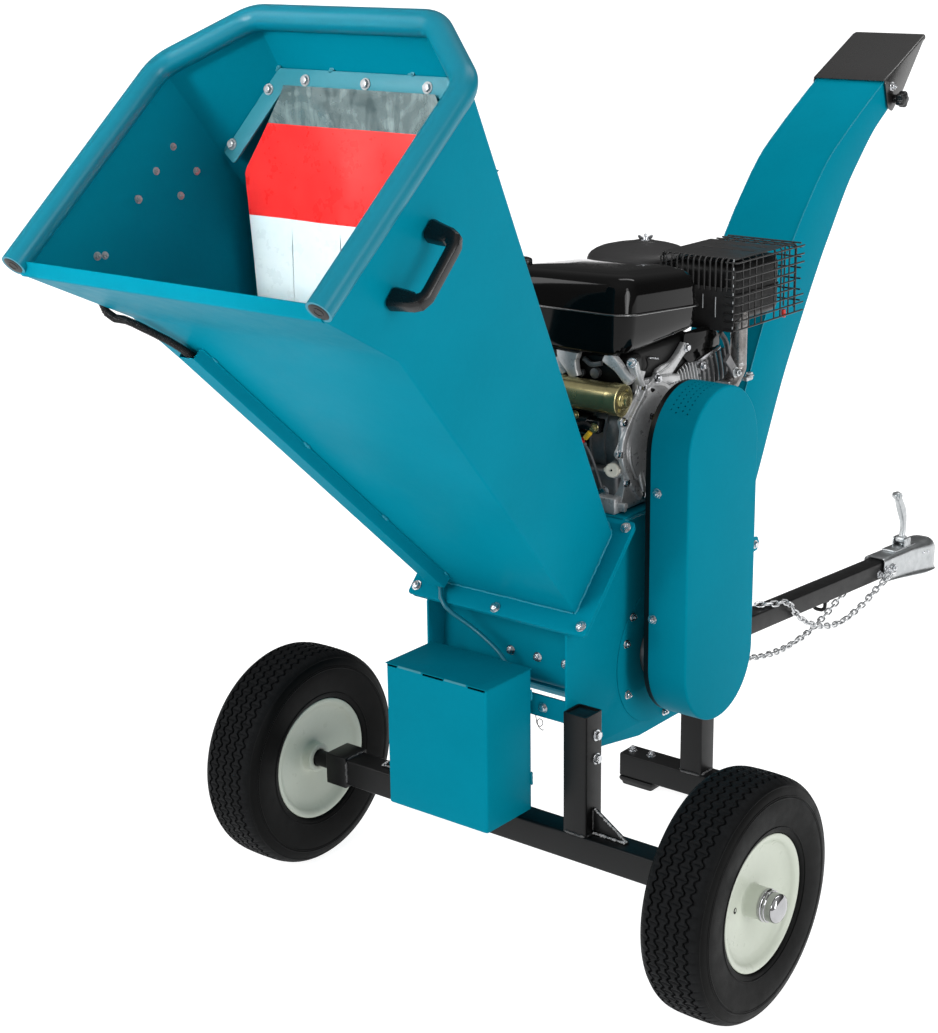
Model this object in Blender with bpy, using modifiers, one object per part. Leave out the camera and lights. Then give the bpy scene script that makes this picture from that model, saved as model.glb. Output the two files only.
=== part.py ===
# Garden shredder: a towable petrol wood chipper on two wheels and a stand.
# Metres, +Z up. +X is the belt side, +Y runs from the feed hopper to the tow coupler.
# Everything is laid out from the wheel axle (y = 0 there); the empty "machine" then puts
# the middle of the whole machine's footprint at the origin.

import math
import bpy
import bmesh
from mathutils import Vector, Matrix

# ---------------------------------------------------------------- driving dimensions
Y_MIDDLE = 0.4378            # y of the footprint's middle, measured from the axle
TYRE_R = 0.205               # 4.80/4.00-8 trailer tyre
TYRE_HALF_W = 0.059
TRACK_HALF = 0.475           # wheel centre planes at x = +-TRACK_HALF
GAP = 0.0003                 # running gap between touching pieces

BEAM = (-0.027, 0.023, 0.183, 0.233)          # axle beam y0, y1, z0, z1
POST_X = (0.1500, 0.1980)                     # posts beside the side plates
POST_TOP = 0.449

PLATE_X = (0.1455, 0.1495)                    # housing side plates
FLANGE_Y, FLANGE_Z = -0.007, 0.599            # lower bolt row of the hopper flange
FLANGE_SLOPE = math.radians(46.86)
FLANGE_HALF = 0.187
THROAT_HALF = 0.153
THROAT_U = (0.020, 0.190)                     # throat from low to high, up the flange

ROTOR_Y, ROTOR_Z = 0.260, 0.478
CASING_R = 0.130
DRUM_R = 0.100
# points of the start lead's bend from the left wall down to the channel under the floor
LEAD_BEND = ((-0.2990, -0.5560, 1.2280), (-0.2880, -0.5790, 1.1860), (-0.2700, -0.5800, 1.1590), (-0.2400, -0.5740, 1.1545),
             (-0.2310, -0.5560, 1.1430), (-0.2190, -0.5400, 1.1310), (-0.1990, -0.5262, 1.1180))
CRANK_Y, CRANK_Z = 0.262, 0.855
DECK_Z = 0.7403

MOUTH_HALF = 0.2912                           # hopper mouth rail, centre line
MOUTH_LOW = (-0.7328, 1.2536)
MOUTH_KNEE = (-0.4319, 1.5072)
MOUTH_TOP_HALF = 0.1724
MOUTH_TOP = (-0.3490, 1.5771)
KINK = (0.261, -0.546, 1.152)
RAIL_R = 0.019
SHEET = 0.003

BAR_Y, BAR_Z = -0.337, 1.373                  # curtain bar: its plane leans back
BAR_LEAN = math.radians(12.5)

CHUTE_HALF = 0.075
COVER_X = (0.200, 0.275)
COVER_R = 0.108
COVER_LOW_Z, COVER_HIGH_Z = 0.482, 0.855

TOW_TILT = math.atan(0.0625)
TOW_Y, TOW_Z = 1.0, 0.3145

# ---------------------------------------------------------------- start clean
for ob in list(bpy.data.objects):
    bpy.data.objects.remove(ob, do_unlink=True)

parts = bpy.data.collections.new("garden_shredder")
cutters = bpy.data.collections.new("cutters")
bpy.context.scene.collection.children.link(parts)
bpy.context.scene.collection.children.link(cutters)

machine = bpy.data.objects.new("machine", None)
machine.location = (0.0, -Y_MIDDLE, 0.0)
parts.objects.link(machine)


# ---------------------------------------------------------------- materials
def principled(name, rgb, rough, metal):
    m = bpy.data.materials.new(name)
    m.use_nodes = True
    b = m.node_tree.nodes["Principled BSDF"]
    b.inputs["Base Color"].default_value = (rgb[0], rgb[1], rgb[2], 1.0)
    b.inputs["Roughness"].default_value = rough
    b.inputs["Metallic"].default_value = metal
    m.diffuse_color = (rgb[0], rgb[1], rgb[2], 1.0)
    return m


TEAL = ((0.0, 0.20, 0.30), 0.38, 0.0)
BLACK = ((0.018, 0.018, 0.020), 0.42, 0.0)
GLOSS = ((0.008, 0.008, 0.009), 0.12, 0.0)
RUBBER = ((0.014, 0.014, 0.015), 0.75, 0.0)
CREAM = ((0.74, 0.76, 0.70), 0.35, 0.0)
CHROME = ((0.80, 0.80, 0.80), 0.12, 1.0)
ZINC = ((0.62, 0.63, 0.65), 0.30, 1.0)
ALU = ((0.46, 0.47, 0.48), 0.40, 1.0)
STEEL = ((0.32, 0.32, 0.33), 0.38, 1.0)
GOLD = ((0.62, 0.50, 0.22), 0.32, 1.0)
SOOT = ((0.03, 0.03, 0.03), 0.55, 0.6)
PLASTIC = ((0.02, 0.02, 0.022), 0.45, 0.0)
RED = ((0.75, 0.04, 0.03), 0.35, 0.0)


# ---------------------------------------------------------------- building blocks
def keep(ob, look, parent=None):
    """Give the object its own material, put it among the parts and parent it."""
    rgb, rough, metal = look
    m = principled("mat_" + ob.name, rgb, rough, metal)
    ob.data.materials.clear()
    ob.data.materials.append(m)
    for c in list(ob.users_collection):
        c.objects.unlink(ob)
    parts.objects.link(ob)
    ob.parent = parent or machine
    if ob.type == "MESH":
        ob.data.shade_smooth()
        ob.data.set_sharp_from_angle(angle=math.radians(35))
    return ob


def guide(ob):
    """A shape that only cuts or joins: kept out of the render, drawn as wire."""
    for c in list(ob.users_collection):
        c.objects.unlink(ob)
    cutters.objects.link(ob)
    ob.hide_render = True
    ob.display_type = "WIRE"
    return ob


def pivot(name, place, parent=None, rot=(0, 0, 0)):
    e = bpy.data.objects.new(name, None)
    e.location = place
    e.rotation_euler = rot
    parts.objects.link(e)
    e.parent = parent or machine
    e.empty_display_size = 0.03
    return e


def under(ob, empty, place):
    """Parent to an empty that stands at place, keeping the object where it is."""
    ob.parent = empty
    ob.location = Vector(ob.location) - Vector(place)
    return ob


def from_bmesh(name, bm, place=(0, 0, 0), rot=None):
    me = bpy.data.meshes.new(name)
    bm.to_mesh(me)
    bm.free()
    ob = bpy.data.objects.new(name, me)
    bpy.context.scene.collection.objects.link(ob)
    ob.location = place
    if rot is not None:
        ob.rotation_euler = rot
    return ob


def box(name, lo, hi, rot=None, edge=0.0):
    """A block between two corners; edge rounds its edges with a Bevel."""
    lo, hi = Vector(lo), Vector(hi)
    bm = bmesh.new()
    bmesh.ops.create_cube(bm, size=1.0)
    bmesh.ops.scale(bm, vec=hi - lo, verts=bm.verts)
    ob = from_bmesh(name, bm, (lo + hi) / 2, rot)
    if edge > 0:
        b = ob.modifiers.new("edge", "BEVEL")
        b.width = edge
        b.segments = 2
        b.limit_method = "NONE"
    return ob


def rod(name, a, b, r, seg=20, r2=None):
    """A cylinder or cone from a to b."""
    a, b = Vector(a), Vector(b)
    bm = bmesh.new()
    bmesh.ops.create_cone(bm, cap_ends=True, segments=seg, radius1=r,
                          radius2=r if r2 is None else r2, depth=(b - a).length)
    q = (b - a).to_track_quat("Z", "Y")
    return from_bmesh(name, bm, (a + b) / 2, q.to_euler())


def ball(name, c, r, u=20, v=12):
    bm = bmesh.new()
    bmesh.ops.create_uvsphere(bm, u_segments=u, v_segments=v, radius=r)
    return from_bmesh(name, bm, c)


def turned(name, profile, place, axis="X", flip=False, steps=32, closed=False):
    """A turned shape. profile holds (radius, height) from the top down the outside."""
    bm = bmesh.new()
    vs = [bm.verts.new((r, 0.0, h)) for r, h in profile]
    for i in range(len(vs) - 1):
        bm.edges.new((vs[i], vs[i + 1]))
    if closed:
        bm.edges.new((vs[-1], vs[0]))
    turn = {"X": (0.0, math.pi / 2, 0.0), "Y": (-math.pi / 2, 0.0, 0.0), "Z": (0.0, 0.0, 0.0)}[axis]
    if flip:
        turn = {"X": (0.0, -math.pi / 2, 0.0), "Y": (math.pi / 2, 0.0, 0.0), "Z": (math.pi, 0.0, 0.0)}[axis]
    ob = from_bmesh(name, bm, place, turn)
    s = ob.modifiers.new("turn", "SCREW")
    s.steps = steps
    s.render_steps = steps
    s.use_merge_vertices = True
    s.merge_threshold = 0.00001
    return ob


def frame_of(plane, at):
    """Matrix that lays a flat outline in a plane: YZ (normal X), XZ (normal -Y), XY, or FL (the flange)."""
    cols = {"YZ": ((0, 1, 0), (0, 0, 1), (1, 0, 0)),
            "XZ": ((1, 0, 0), (0, 0, 1), (0, -1, 0)),
            "XY": ((1, 0, 0), (0, 1, 0), (0, 0, 1)),
            "BAR": ((1, 0, 0), (0, math.sin(BAR_LEAN), math.cos(BAR_LEAN)), (0, -math.cos(BAR_LEAN), math.sin(BAR_LEAN))),
            "FL": ((1, 0, 0), tuple(EU), tuple(-ED))}[plane]
    m = Matrix((cols[0], cols[1], cols[2])).transposed().to_4x4()
    m.translation = at
    return m


def plate(name, outline, thick, plane, at, holes=()):
    """A flat outline, extruded to both sides of its plane and turned into a mesh."""
    cu = bpy.data.curves.new(name, "CURVE")
    cu.dimensions = "2D"
    cu.fill_mode = "BOTH"
    cu.extrude = thick / 2
    for ring in [outline] + list(holes):
        sp = cu.splines.new("POLY")
        sp.points.add(len(ring) - 1)
        for p, (u, v) in zip(sp.points, ring):
            p.co = (u, v, 0.0, 1.0)
        sp.use_cyclic_u = True
    ob = bpy.data.objects.new(name, cu)
    bpy.context.scene.collection.objects.link(ob)
    ob.matrix_world = frame_of(plane, at)
    return meshed(ob)


def meshed(ob):
    """Turn a curve object into a mesh object with its caps welded."""
    bpy.context.view_layer.update()
    dg = bpy.context.evaluated_depsgraph_get()
    me = bpy.data.meshes.new_from_object(ob.evaluated_get(dg))
    name, mw = ob.name, ob.matrix_world.copy()
    bpy.data.objects.remove(ob, do_unlink=True)
    bm = bmesh.new()
    bm.from_mesh(me)
    bmesh.ops.remove_doubles(bm, verts=bm.verts, dist=0.00001)
    bmesh.ops.recalc_face_normals(bm, faces=bm.faces)
    bm.to_mesh(me)
    bm.free()
    out = bpy.data.objects.new(name, me)
    bpy.context.scene.collection.objects.link(out)
    out.matrix_world = mw
    return out


def tube(name, pts, r, res=2, closed=False, mesh=True):
    """A round tube or wire along the points."""
    cu = bpy.data.curves.new(name, "CURVE")
    cu.dimensions = "3D"
    cu.bevel_depth = r
    cu.bevel_resolution = res
    cu.use_fill_caps = not closed
    sp = cu.splines.new("POLY")
    sp.points.add(len(pts) - 1)
    for p, c in zip(sp.points, pts):
        p.co = (c[0], c[1], c[2], 1.0)
    sp.use_cyclic_u = closed
    ob = bpy.data.objects.new(name, cu)
    bpy.context.scene.collection.objects.link(ob)
    return meshed(ob) if mesh else ob


def rounded(pts, rad, n=5):
    """Round the inner corners of a path of points with arcs of radius rad."""
    pts = [Vector(p) for p in pts]
    out = [pts[0]]
    for i in range(1, len(pts) - 1):
        a, b, c = pts[i - 1], pts[i], pts[i + 1]
        d1, d2 = (a - b).normalized(), (c - b).normalized()
        ang = d1.angle(d2)
        t = rad / math.tan(ang / 2)
        p1, p2 = b + d1 * t, b + d2 * t
        centre = b + (d1 + d2).normalized() * (rad / math.sin(ang / 2))
        v1, v2 = p1 - centre, p2 - centre
        for k in range(n + 1):
            f = k / n
            sweep = v1.angle(v2)
            v = (v1 * math.sin((1 - f) * sweep) + v2 * math.sin(f * sweep)) / math.sin(sweep)
            out.append(centre + v)
    out.append(pts[-1])
    return out


def smooth(pts, n):
    """n points on a smooth curve through the route's own points (Catmull-Rom)."""
    p = [Vector(q) for q in pts]
    p = [p[0] * 2 - p[1]] + p + [p[-1] * 2 - p[-2]]
    segs = len(p) - 3
    dense = []
    for i in range(segs):
        a, b, c, d = p[i], p[i + 1], p[i + 2], p[i + 3]
        for k in range(16):
            t = k / 16
            dense.append(0.5 * ((2 * b) + (c - a) * t + (2 * a - 5 * b + 4 * c - d) * t * t
                                + (3 * b - a - 3 * c + d) * t * t * t))
    dense.append(p[-2])
    acc = [0.0]
    for i in range(1, len(dense)):
        acc.append(acc[-1] + (dense[i] - dense[i - 1]).length)
    out = []
    j = 0
    for k in range(n):
        s = acc[-1] * k / (n - 1)
        while j < len(acc) - 2 and acc[j + 1] < s:
            j += 1
        f = (s - acc[j]) / max(acc[j + 1] - acc[j], 1e-9)
        out.append(dense[j].lerp(dense[j + 1], min(max(f, 0.0), 1.0)))
    return out


def shell(name, sections, thick, offset=-1.0, rings_closed=True):
    """A sheet lofted through sections with equal numbers of corners, then thickened."""
    bm = bmesh.new()
    rows = [[bm.verts.new(p) for p in s] for s in sections]
    n = len(rows[0])
    for a, b in zip(rows, rows[1:]):
        for i in range(n if rings_closed else n - 1):
            bm.faces.new((a[i], a[(i + 1) % n], b[(i + 1) % n], b[i]))
    bmesh.ops.recalc_face_normals(bm, faces=bm.faces)
    ob = from_bmesh(name, bm)
    s = ob.modifiers.new("sheet", "SOLIDIFY")
    s.thickness = thick
    s.offset = offset
    s.use_even_offset = True
    return ob


def boolean(ob, other, op="DIFFERENCE"):
    m = ob.modifiers.new(op.lower(), "BOOLEAN")
    m.operation = op
    m.object = other
    m.solver = "EXACT"
    guide(other)
    other.parent = machine
    return ob


def arc(cy, cz, r, a0, a1, n):
    """Points of an arc in degrees, both ends included."""
    return [(cy + r * math.cos(math.radians(a0 + (a1 - a0) * k / n)),
             cz + r * math.sin(math.radians(a0 + (a1 - a0) * k / n))) for k in range(n + 1)]


def circle(cy, cz, r, n=20):
    return arc(cy, cz, r, 0, 360 * (n - 1) / n, n - 1)


# flange directions: EU up the slope, ED square to it, down into the housing
EU = Vector((0.0, math.cos(FLANGE_SLOPE), math.sin(FLANGE_SLOPE)))
ED = Vector((0.0, math.sin(FLANGE_SLOPE), -math.cos(FLANGE_SLOPE)))
FO = Vector((0.0, FLANGE_Y, FLANGE_Z))


def fl(x, u, d):
    """A point x across, u up and d into the flange plane."""
    return FO + Vector((x, 0, 0)) + EU * u + ED * d


# ================================================================ axle and wheels
def build_axle():
    y0, y1, z0, z1 = BEAM
    axle = box("axle", (-0.345, y0, z0), (0.345, y1, z1))
    for s in (-1, 1):
        x0, x1 = sorted((s * 0.336, s * 0.385))
        boolean(axle, box("axle_block", (x0, -0.030, 0.177), (x1, 0.030, 0.237)), "UNION")
        boolean(axle, rod("axle_spindle", (s * 0.380, 0, TYRE_R), (s * 0.540, 0, TYRE_R), 0.0150, 20), "UNION")
    keep(axle, BLACK)


TYRE_HALF = [(0.2050, 0.0), (0.2042, 0.030), (0.1985, 0.0475), (0.1860, 0.0560),
             (0.1600, 0.0590), (0.1350, 0.0570), (0.1180, 0.0535), (0.1152, 0.0480), (0.1026, 0.0432),
             (0.1026, 0.0300), (0.1550, 0.0470), (0.1920, 0.0300)]

RIM = [(0.1145, 0.0510), (0.1145, 0.0486), (0.1020, 0.0440), (0.1000, 0.0290), (0.0870, 0.0200),
       (0.0870, -0.0200), (0.1000, -0.0290), (0.1020, -0.0440), (0.1145, -0.0486), (0.1145, -0.0510),
       (0.0995, -0.0470), (0.0965, -0.0400), (0.0890, -0.0352), (0.0600, -0.0295), (0.0300, -0.0262),
       (0.0272, -0.0275), (0.0268, -0.0470), (0.0155, -0.0470), (0.0155, 0.0540), (0.0268, 0.0540),
       (0.0272, 0.0262), (0.0300, 0.0250), (0.0600, 0.0290), (0.0890, 0.0352), (0.0965, 0.0400),
       (0.0995, 0.0470)]

# the hollow between the wheel's two pressed halves
RIM_HOLLOW = [(0.0920, 0.0300), (0.0840, 0.0230), (0.0840, -0.0230), (0.0920, -0.0300), (0.0600, -0.0262),
              (0.0240, -0.0222), (0.0240, 0.0222), (0.0600, 0.0262)]
VALVE_R, VALVE_AT = 0.0042, 0.0470            # valve hole, opening into the hollow

HUB_CAP = [(0.0, 0.0865), (0.0140, 0.0855), (0.0205, 0.0828), (0.0238, 0.0785), (0.0242, 0.0735), (0.0242, 0.0660),
           (0.0276, 0.0640), (0.0276, 0.0544), (0.0154, 0.0544), (0.0154, 0.0680), (0.0, 0.0680)]


def build_wheel(side):
    s = 1 if side == "right" else -1
    hub = (s * TRACK_HALF, 0.0, TYRE_R)
    e = pivot("wheel_%s_axis" % side, hub)
    outer = TYRE_HALF[:10]
    inner = TYRE_HALF[9:]
    # outer side from the top bead over the crown to the bottom bead, then back inside
    prof = [(r, h) for r, h in reversed(outer)] + [(r, -h) for r, h in outer[1:]]
    prof += [(r, -h) for r, h in inner[1:]] + [(r, h) for r, h in reversed(inner[1:])]
    flip = s < 0
    tyre = turned("tyre_" + side, prof, hub, "X", flip, 28, closed=True)
    rim = turned("rim_" + side, RIM, hub, "X", flip, 24, closed=True)
    boolean(rim, turned("rim_hollow", RIM_HOLLOW, hub, "X", flip, 24, closed=True))
    boolean(rim, rod("valve_hole", (s * (TRACK_HALF + 0.012), -VALVE_AT, TYRE_R), (s * (TRACK_HALF + 0.040), -VALVE_AT, TYRE_R),
                     VALVE_R, 12))
    cap = turned("hub_cap_" + side, HUB_CAP, hub, "X", flip, 20)
    for ob, look in ((tyre, RUBBER), (rim, CREAM), (cap, CHROME)):
        keep(ob, look)
        under(ob, e, hub)


# ================================================================ stand, tow bar, coupler, chains
def build_stand():
    stand = box("tow_stand", (-0.025, 0.612, 0.060), (0.025, 0.662, 0.3152))
    boolean(stand, box("stand_foot", (-0.168, 0.6115, 0.0183), (0.168, 0.6625, 0.068)), "UNION")
    keep(stand, BLACK)
    for side, s in (("left", -1), ("right", 1)):
        a, b = sorted((s * 0.088, s * 0.168))
        pad = box("foot_pad_" + side, (a, 0.6095, 0.0), (b, 0.6645, 0.0180), edge=0.0025)
        keep(pad, RUBBER)


def tow_point(x, y, z):
    """From the tow bar's own straight frame (y along it, z from its centre line) to the machine."""
    c, s = math.cos(-TOW_TILT), math.sin(-TOW_TILT)
    return Vector((x, TOW_Y + y * c - z * s, TOW_Z + y * s + z * c))


def tow(ob):
    """Tilt a piece that was laid out straight along the tow bar."""
    m = Matrix.Translation((0, TOW_Y, TOW_Z)) @ Matrix.Rotation(-TOW_TILT, 4, "X")
    ob.matrix_world = m @ ob.matrix_world
    return ob


def build_tow():
    bpy.context.view_layer.update()
    bar = box("tow_bar", (-0.020, -0.545, -0.020), (0.020, 0.430, 0.020))
    bar_bore = box("tow_bar_bore", (-0.0165, -0.60, -0.0165), (0.0165, 0.50, 0.0165))
    head = box("tow_bar_head", (-0.1450, 0.420, 0.3290), (0.1450, 0.462, 0.3690))
    lug = tube("tow_bar_lug", rounded([(-0.014, 0.120, -0.019), (-0.014, 0.120, -0.040), (0.014, 0.120, -0.040),
                                       (0.014, 0.120, -0.019)], 0.010, 3), 0.004, 1)
    for ob in (bar, bar_bore, lug):
        bpy.context.view_layer.update()
        tow(ob)
    boolean(bar, bar_bore)
    boolean(bar, head, "UNION")
    boolean(bar, lug, "UNION")
    keep(bar, BLACK)

    # coupler: a folded channel over the bar's end, opening into a ball socket
    c_top, c_low = 0.027, -0.026
    body = box("coupler_body", (-0.0255, 0.365, c_low), (0.0255, 0.560, c_top), edge=0.004)
    dome = ball("coupler_dome", (0, 0.585, -0.004), 0.0365, 20, 12)
    dome_low = rod("coupler_skirt", (0, 0.585, c_low - 0.010), (0, 0.585, 0.002), 0.0360, 20)
    lip = box("coupler_lip", (-0.034, 0.520, c_low - 0.0125), (0.034, 0.6225, c_low - 0.007))
    bore = box("coupler_bore", (-0.0204, 0.300, -0.060), (0.0204, 0.4310, 0.0204))
    hollow = box("coupler_hollow", (-0.0194, 0.4250, -0.063), (0.0194, 0.5630, 0.0180))
    socket = ball("coupler_socket", (0, 0.585, -0.010), 0.0262, 20, 12)
    mouth = rod("coupler_mouth", (0, 0.585, -0.080), (0, 0.585, -0.0045), 0.0257, 20)
    base = box("coupler_base", (-0.016, 0.455, 0.024), (0.016, 0.520, 0.0330), edge=0.003)
    for ob in (body, dome, dome_low, lip, bore, hollow, socket, mouth, base):
        bpy.context.view_layer.update()
        tow(ob)
    for ob in (dome, dome_low, lip, base):
        boolean(body, ob, "UNION")
    for ob in (bore, hollow, socket, mouth):
        boolean(body, ob)
    keep(body, BLACK)

    # latch lever: a curved cast handle that stands up from its pivot at the front of the base
    lp = tow_point(0, 0.492, 0.0440)
    e = pivot("coupler_lever_axis", lp)
    path = [(0, 0.490, 0.0405), (0, 0.494, 0.060), (0, 0.493, 0.085), (0, 0.482, 0.112), (0, 0.466, 0.134),
            (0, 0.456, 0.150)]
    lever = tube("coupler_lever", smooth([tow_point(*p) for p in path], 9), 0.0088, 3)
    knuckle = rod("lever_knuckle", tow_point(-0.0130, 0.492, 0.0440), tow_point(0.0130, 0.492, 0.0440), 0.0100, 16)
    knob = ball("lever_knob", tow_point(0, 0.455, 0.151), 0.0105, 14, 8)
    boolean(lever, knuckle, "UNION")
    boolean(lever, knob, "UNION")
    keep(lever, ZINC)
    under(lever, e, lp)

    # two slack safety chains between the bar and the coupler, as plain wires of their width
    right = [tow_point(-0.004, -0.145, 0.0275), tow_point(0.020, -0.115, 0.0285), tow_point(0.0290, -0.070, 0.0220),
             tow_point(0.0310, -0.020, -0.0200), tow_point(0.0330, 0.060, -0.0560), tow_point(0.0340, 0.150, -0.0700),
             tow_point(0.0340, 0.240, -0.0560), tow_point(0.0330, 0.320, -0.0300), tow_point(0.0330, 0.372, -0.0130)]
    left = [tow_point(-0.0330, 0.372, -0.0130), tow_point(-0.0330, 0.320, -0.0340), tow_point(-0.0330, 0.240, -0.0700),
            tow_point(-0.0300, 0.150, -0.0980), tow_point(-0.0240, 0.050, -0.1080), tow_point(-0.0160, -0.050, -0.1030),
            tow_point(-0.0100, -0.150, -0.0860), tow_point(-0.0060, -0.220, -0.0600), tow_point(-0.0040, -0.262, -0.0290)]
    keep(tube("safety_chain_right", smooth(right, 26), 0.0065, 2), ZINC)
    keep(tube("safety_chain_left", smooth(left, 30), 0.0065, 2), ZINC)


# ================================================================ frame posts and housing
def build_frame():
    y0, y1, z0, z1 = BEAM
    for side, s in (("left", -1), ("right", 1)):
        a, b = sorted((s * POST_X[0], s * POST_X[1]))
        post = box("post_" + side, (a, y0 + 0.002, z1 + GAP), (b, y1, POST_TOP))
        bore = box("post_bore", (a + 0.004, y0 + 0.006, z1 + 0.03), (b - 0.004, y1 - 0.004, POST_TOP + 0.02))
        rib = plate("post_rib", [(s * (POST_X[1] - 0.002), z1 + GAP), (s * (POST_X[1] + 0.069), z1 + GAP),
                                 (s * (POST_X[1] + 0.069), z1 + 0.004), (s * (POST_X[1] + 0.005), z1 + 0.0465),
                                 (s * (POST_X[1] - 0.002), z1 + 0.0465)], 0.006, "XZ", (0, 0.000, 0))
        boolean(post, bore)
        boolean(post, rib, "UNION")
        keep(post, BLACK)

    # side plates carry the rotor bearings, the engine deck and the chute
    top = FO + ED * 0.0107
    k = math.tan(FLANGE_SLOPE)
    deck = DECK_Z - 0.0053
    z_front = top.z + (-0.012 - top.y) * k
    y_deck = top.y + (deck - top.z) / k
    outline = [(-0.012, 0.360), (0.100, 0.345), (0.205, 0.327), (0.300, 0.327), (0.470, 0.3270), (0.520, 0.375),
               (0.575, 0.500), (0.560, 0.600), (0.472, deck), (y_deck, deck), (-0.012, z_front)]
    for side, s in (("left", -1), ("right", 1)):
        p = plate("side_plate_" + side, outline, PLATE_X[1] - PLATE_X[0], "YZ",
                  (s * (PLATE_X[0] + PLATE_X[1]) / 2, 0, 0), holes=[circle(ROTOR_Y, ROTOR_Z, 0.0215, 20)])
        keep(p, TEAL)

    keep(box("cross_bar", (-0.1450, -0.0040, 0.4180), (0.1450, 0.0005, 0.4570)), TEAL)
    keep(box("engine_deck", (-0.1495, 0.1500, DECK_Z - 0.0050), (0.1495, 0.4720, DECK_Z)), TEAL)

    # throat: a flange ring with a square duct behind it, between the side plates
    u0, u1 = THROAT_U
    ring = plate("inlet_throat", [(-FLANGE_HALF, -0.0165), (FLANGE_HALF, -0.0165), (FLANGE_HALF, 0.200),
                                  (-FLANGE_HALF, 0.200)], 0.0050, "FL", fl(0, 0, 0.0078),
                 holes=[[(-0.1340, u0 + 0.0012), (0.1340, u0 + 0.0012), (0.1340, u1 - 0.0012), (-0.1340, u1 - 0.0012)]])
    x = 0.1360
    duct = shell("throat_duct", [[fl(-x, u0, d), fl(x, u0, d), fl(x, u1, d), fl(-x, u1, d)] for d in (0.0065, 0.1640)],
                 0.003)
    boolean(ring, duct, "UNION")
    keep(ring, TEAL)

    # rotor casing: a drum with an inlet and an outlet window, and a front apron below the throat
    half = 0.1448
    casing = rod("rotor_casing", (-half, ROTOR_Y, ROTOR_Z), (half, ROTOR_Y, ROTOR_Z), CASING_R, 40)
    boolean(casing, rod("casing_bore", (-half - 0.01, ROTOR_Y, ROTOR_Z), (half + 0.01, ROTOR_Y, ROTOR_Z),
                        CASING_R - 0.004, 40))
    window = box("casing_inlet", (-0.1368, 0, 0), (0.1368, u1 - u0 + 0.0016, 0.20))
    m = frame_of("FL", fl(0, 0, 0))
    window.matrix_world = m @ Matrix.Translation((0, (u0 + u1) / 2, -0.19))
    boolean(casing, window)
    outlet = box("casing_outlet", (-0.0755, 0.0, 0.0), (0.0755, 0.150, 0.150))
    outlet.matrix_world = (Matrix.Translation((0, ROTOR_Y, ROTOR_Z)) @ Matrix.Rotation(math.radians(-2), 4, "X")
                           @ Matrix.Translation((0, 0.115, 0.055)))
    boolean(casing, outlet)
    apron = plate("casing_apron", [(0.0480, 0.4500), (0.1340, 0.4500), (0.1340, 0.4540), (0.0520, 0.4540),
                                   (0.0520, 0.5250), (0.0480, 0.5250)], 2 * half - 0.001, "YZ", (0, 0, 0))
    boolean(casing, apron, "UNION")
    keep(casing, TEAL)


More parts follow.
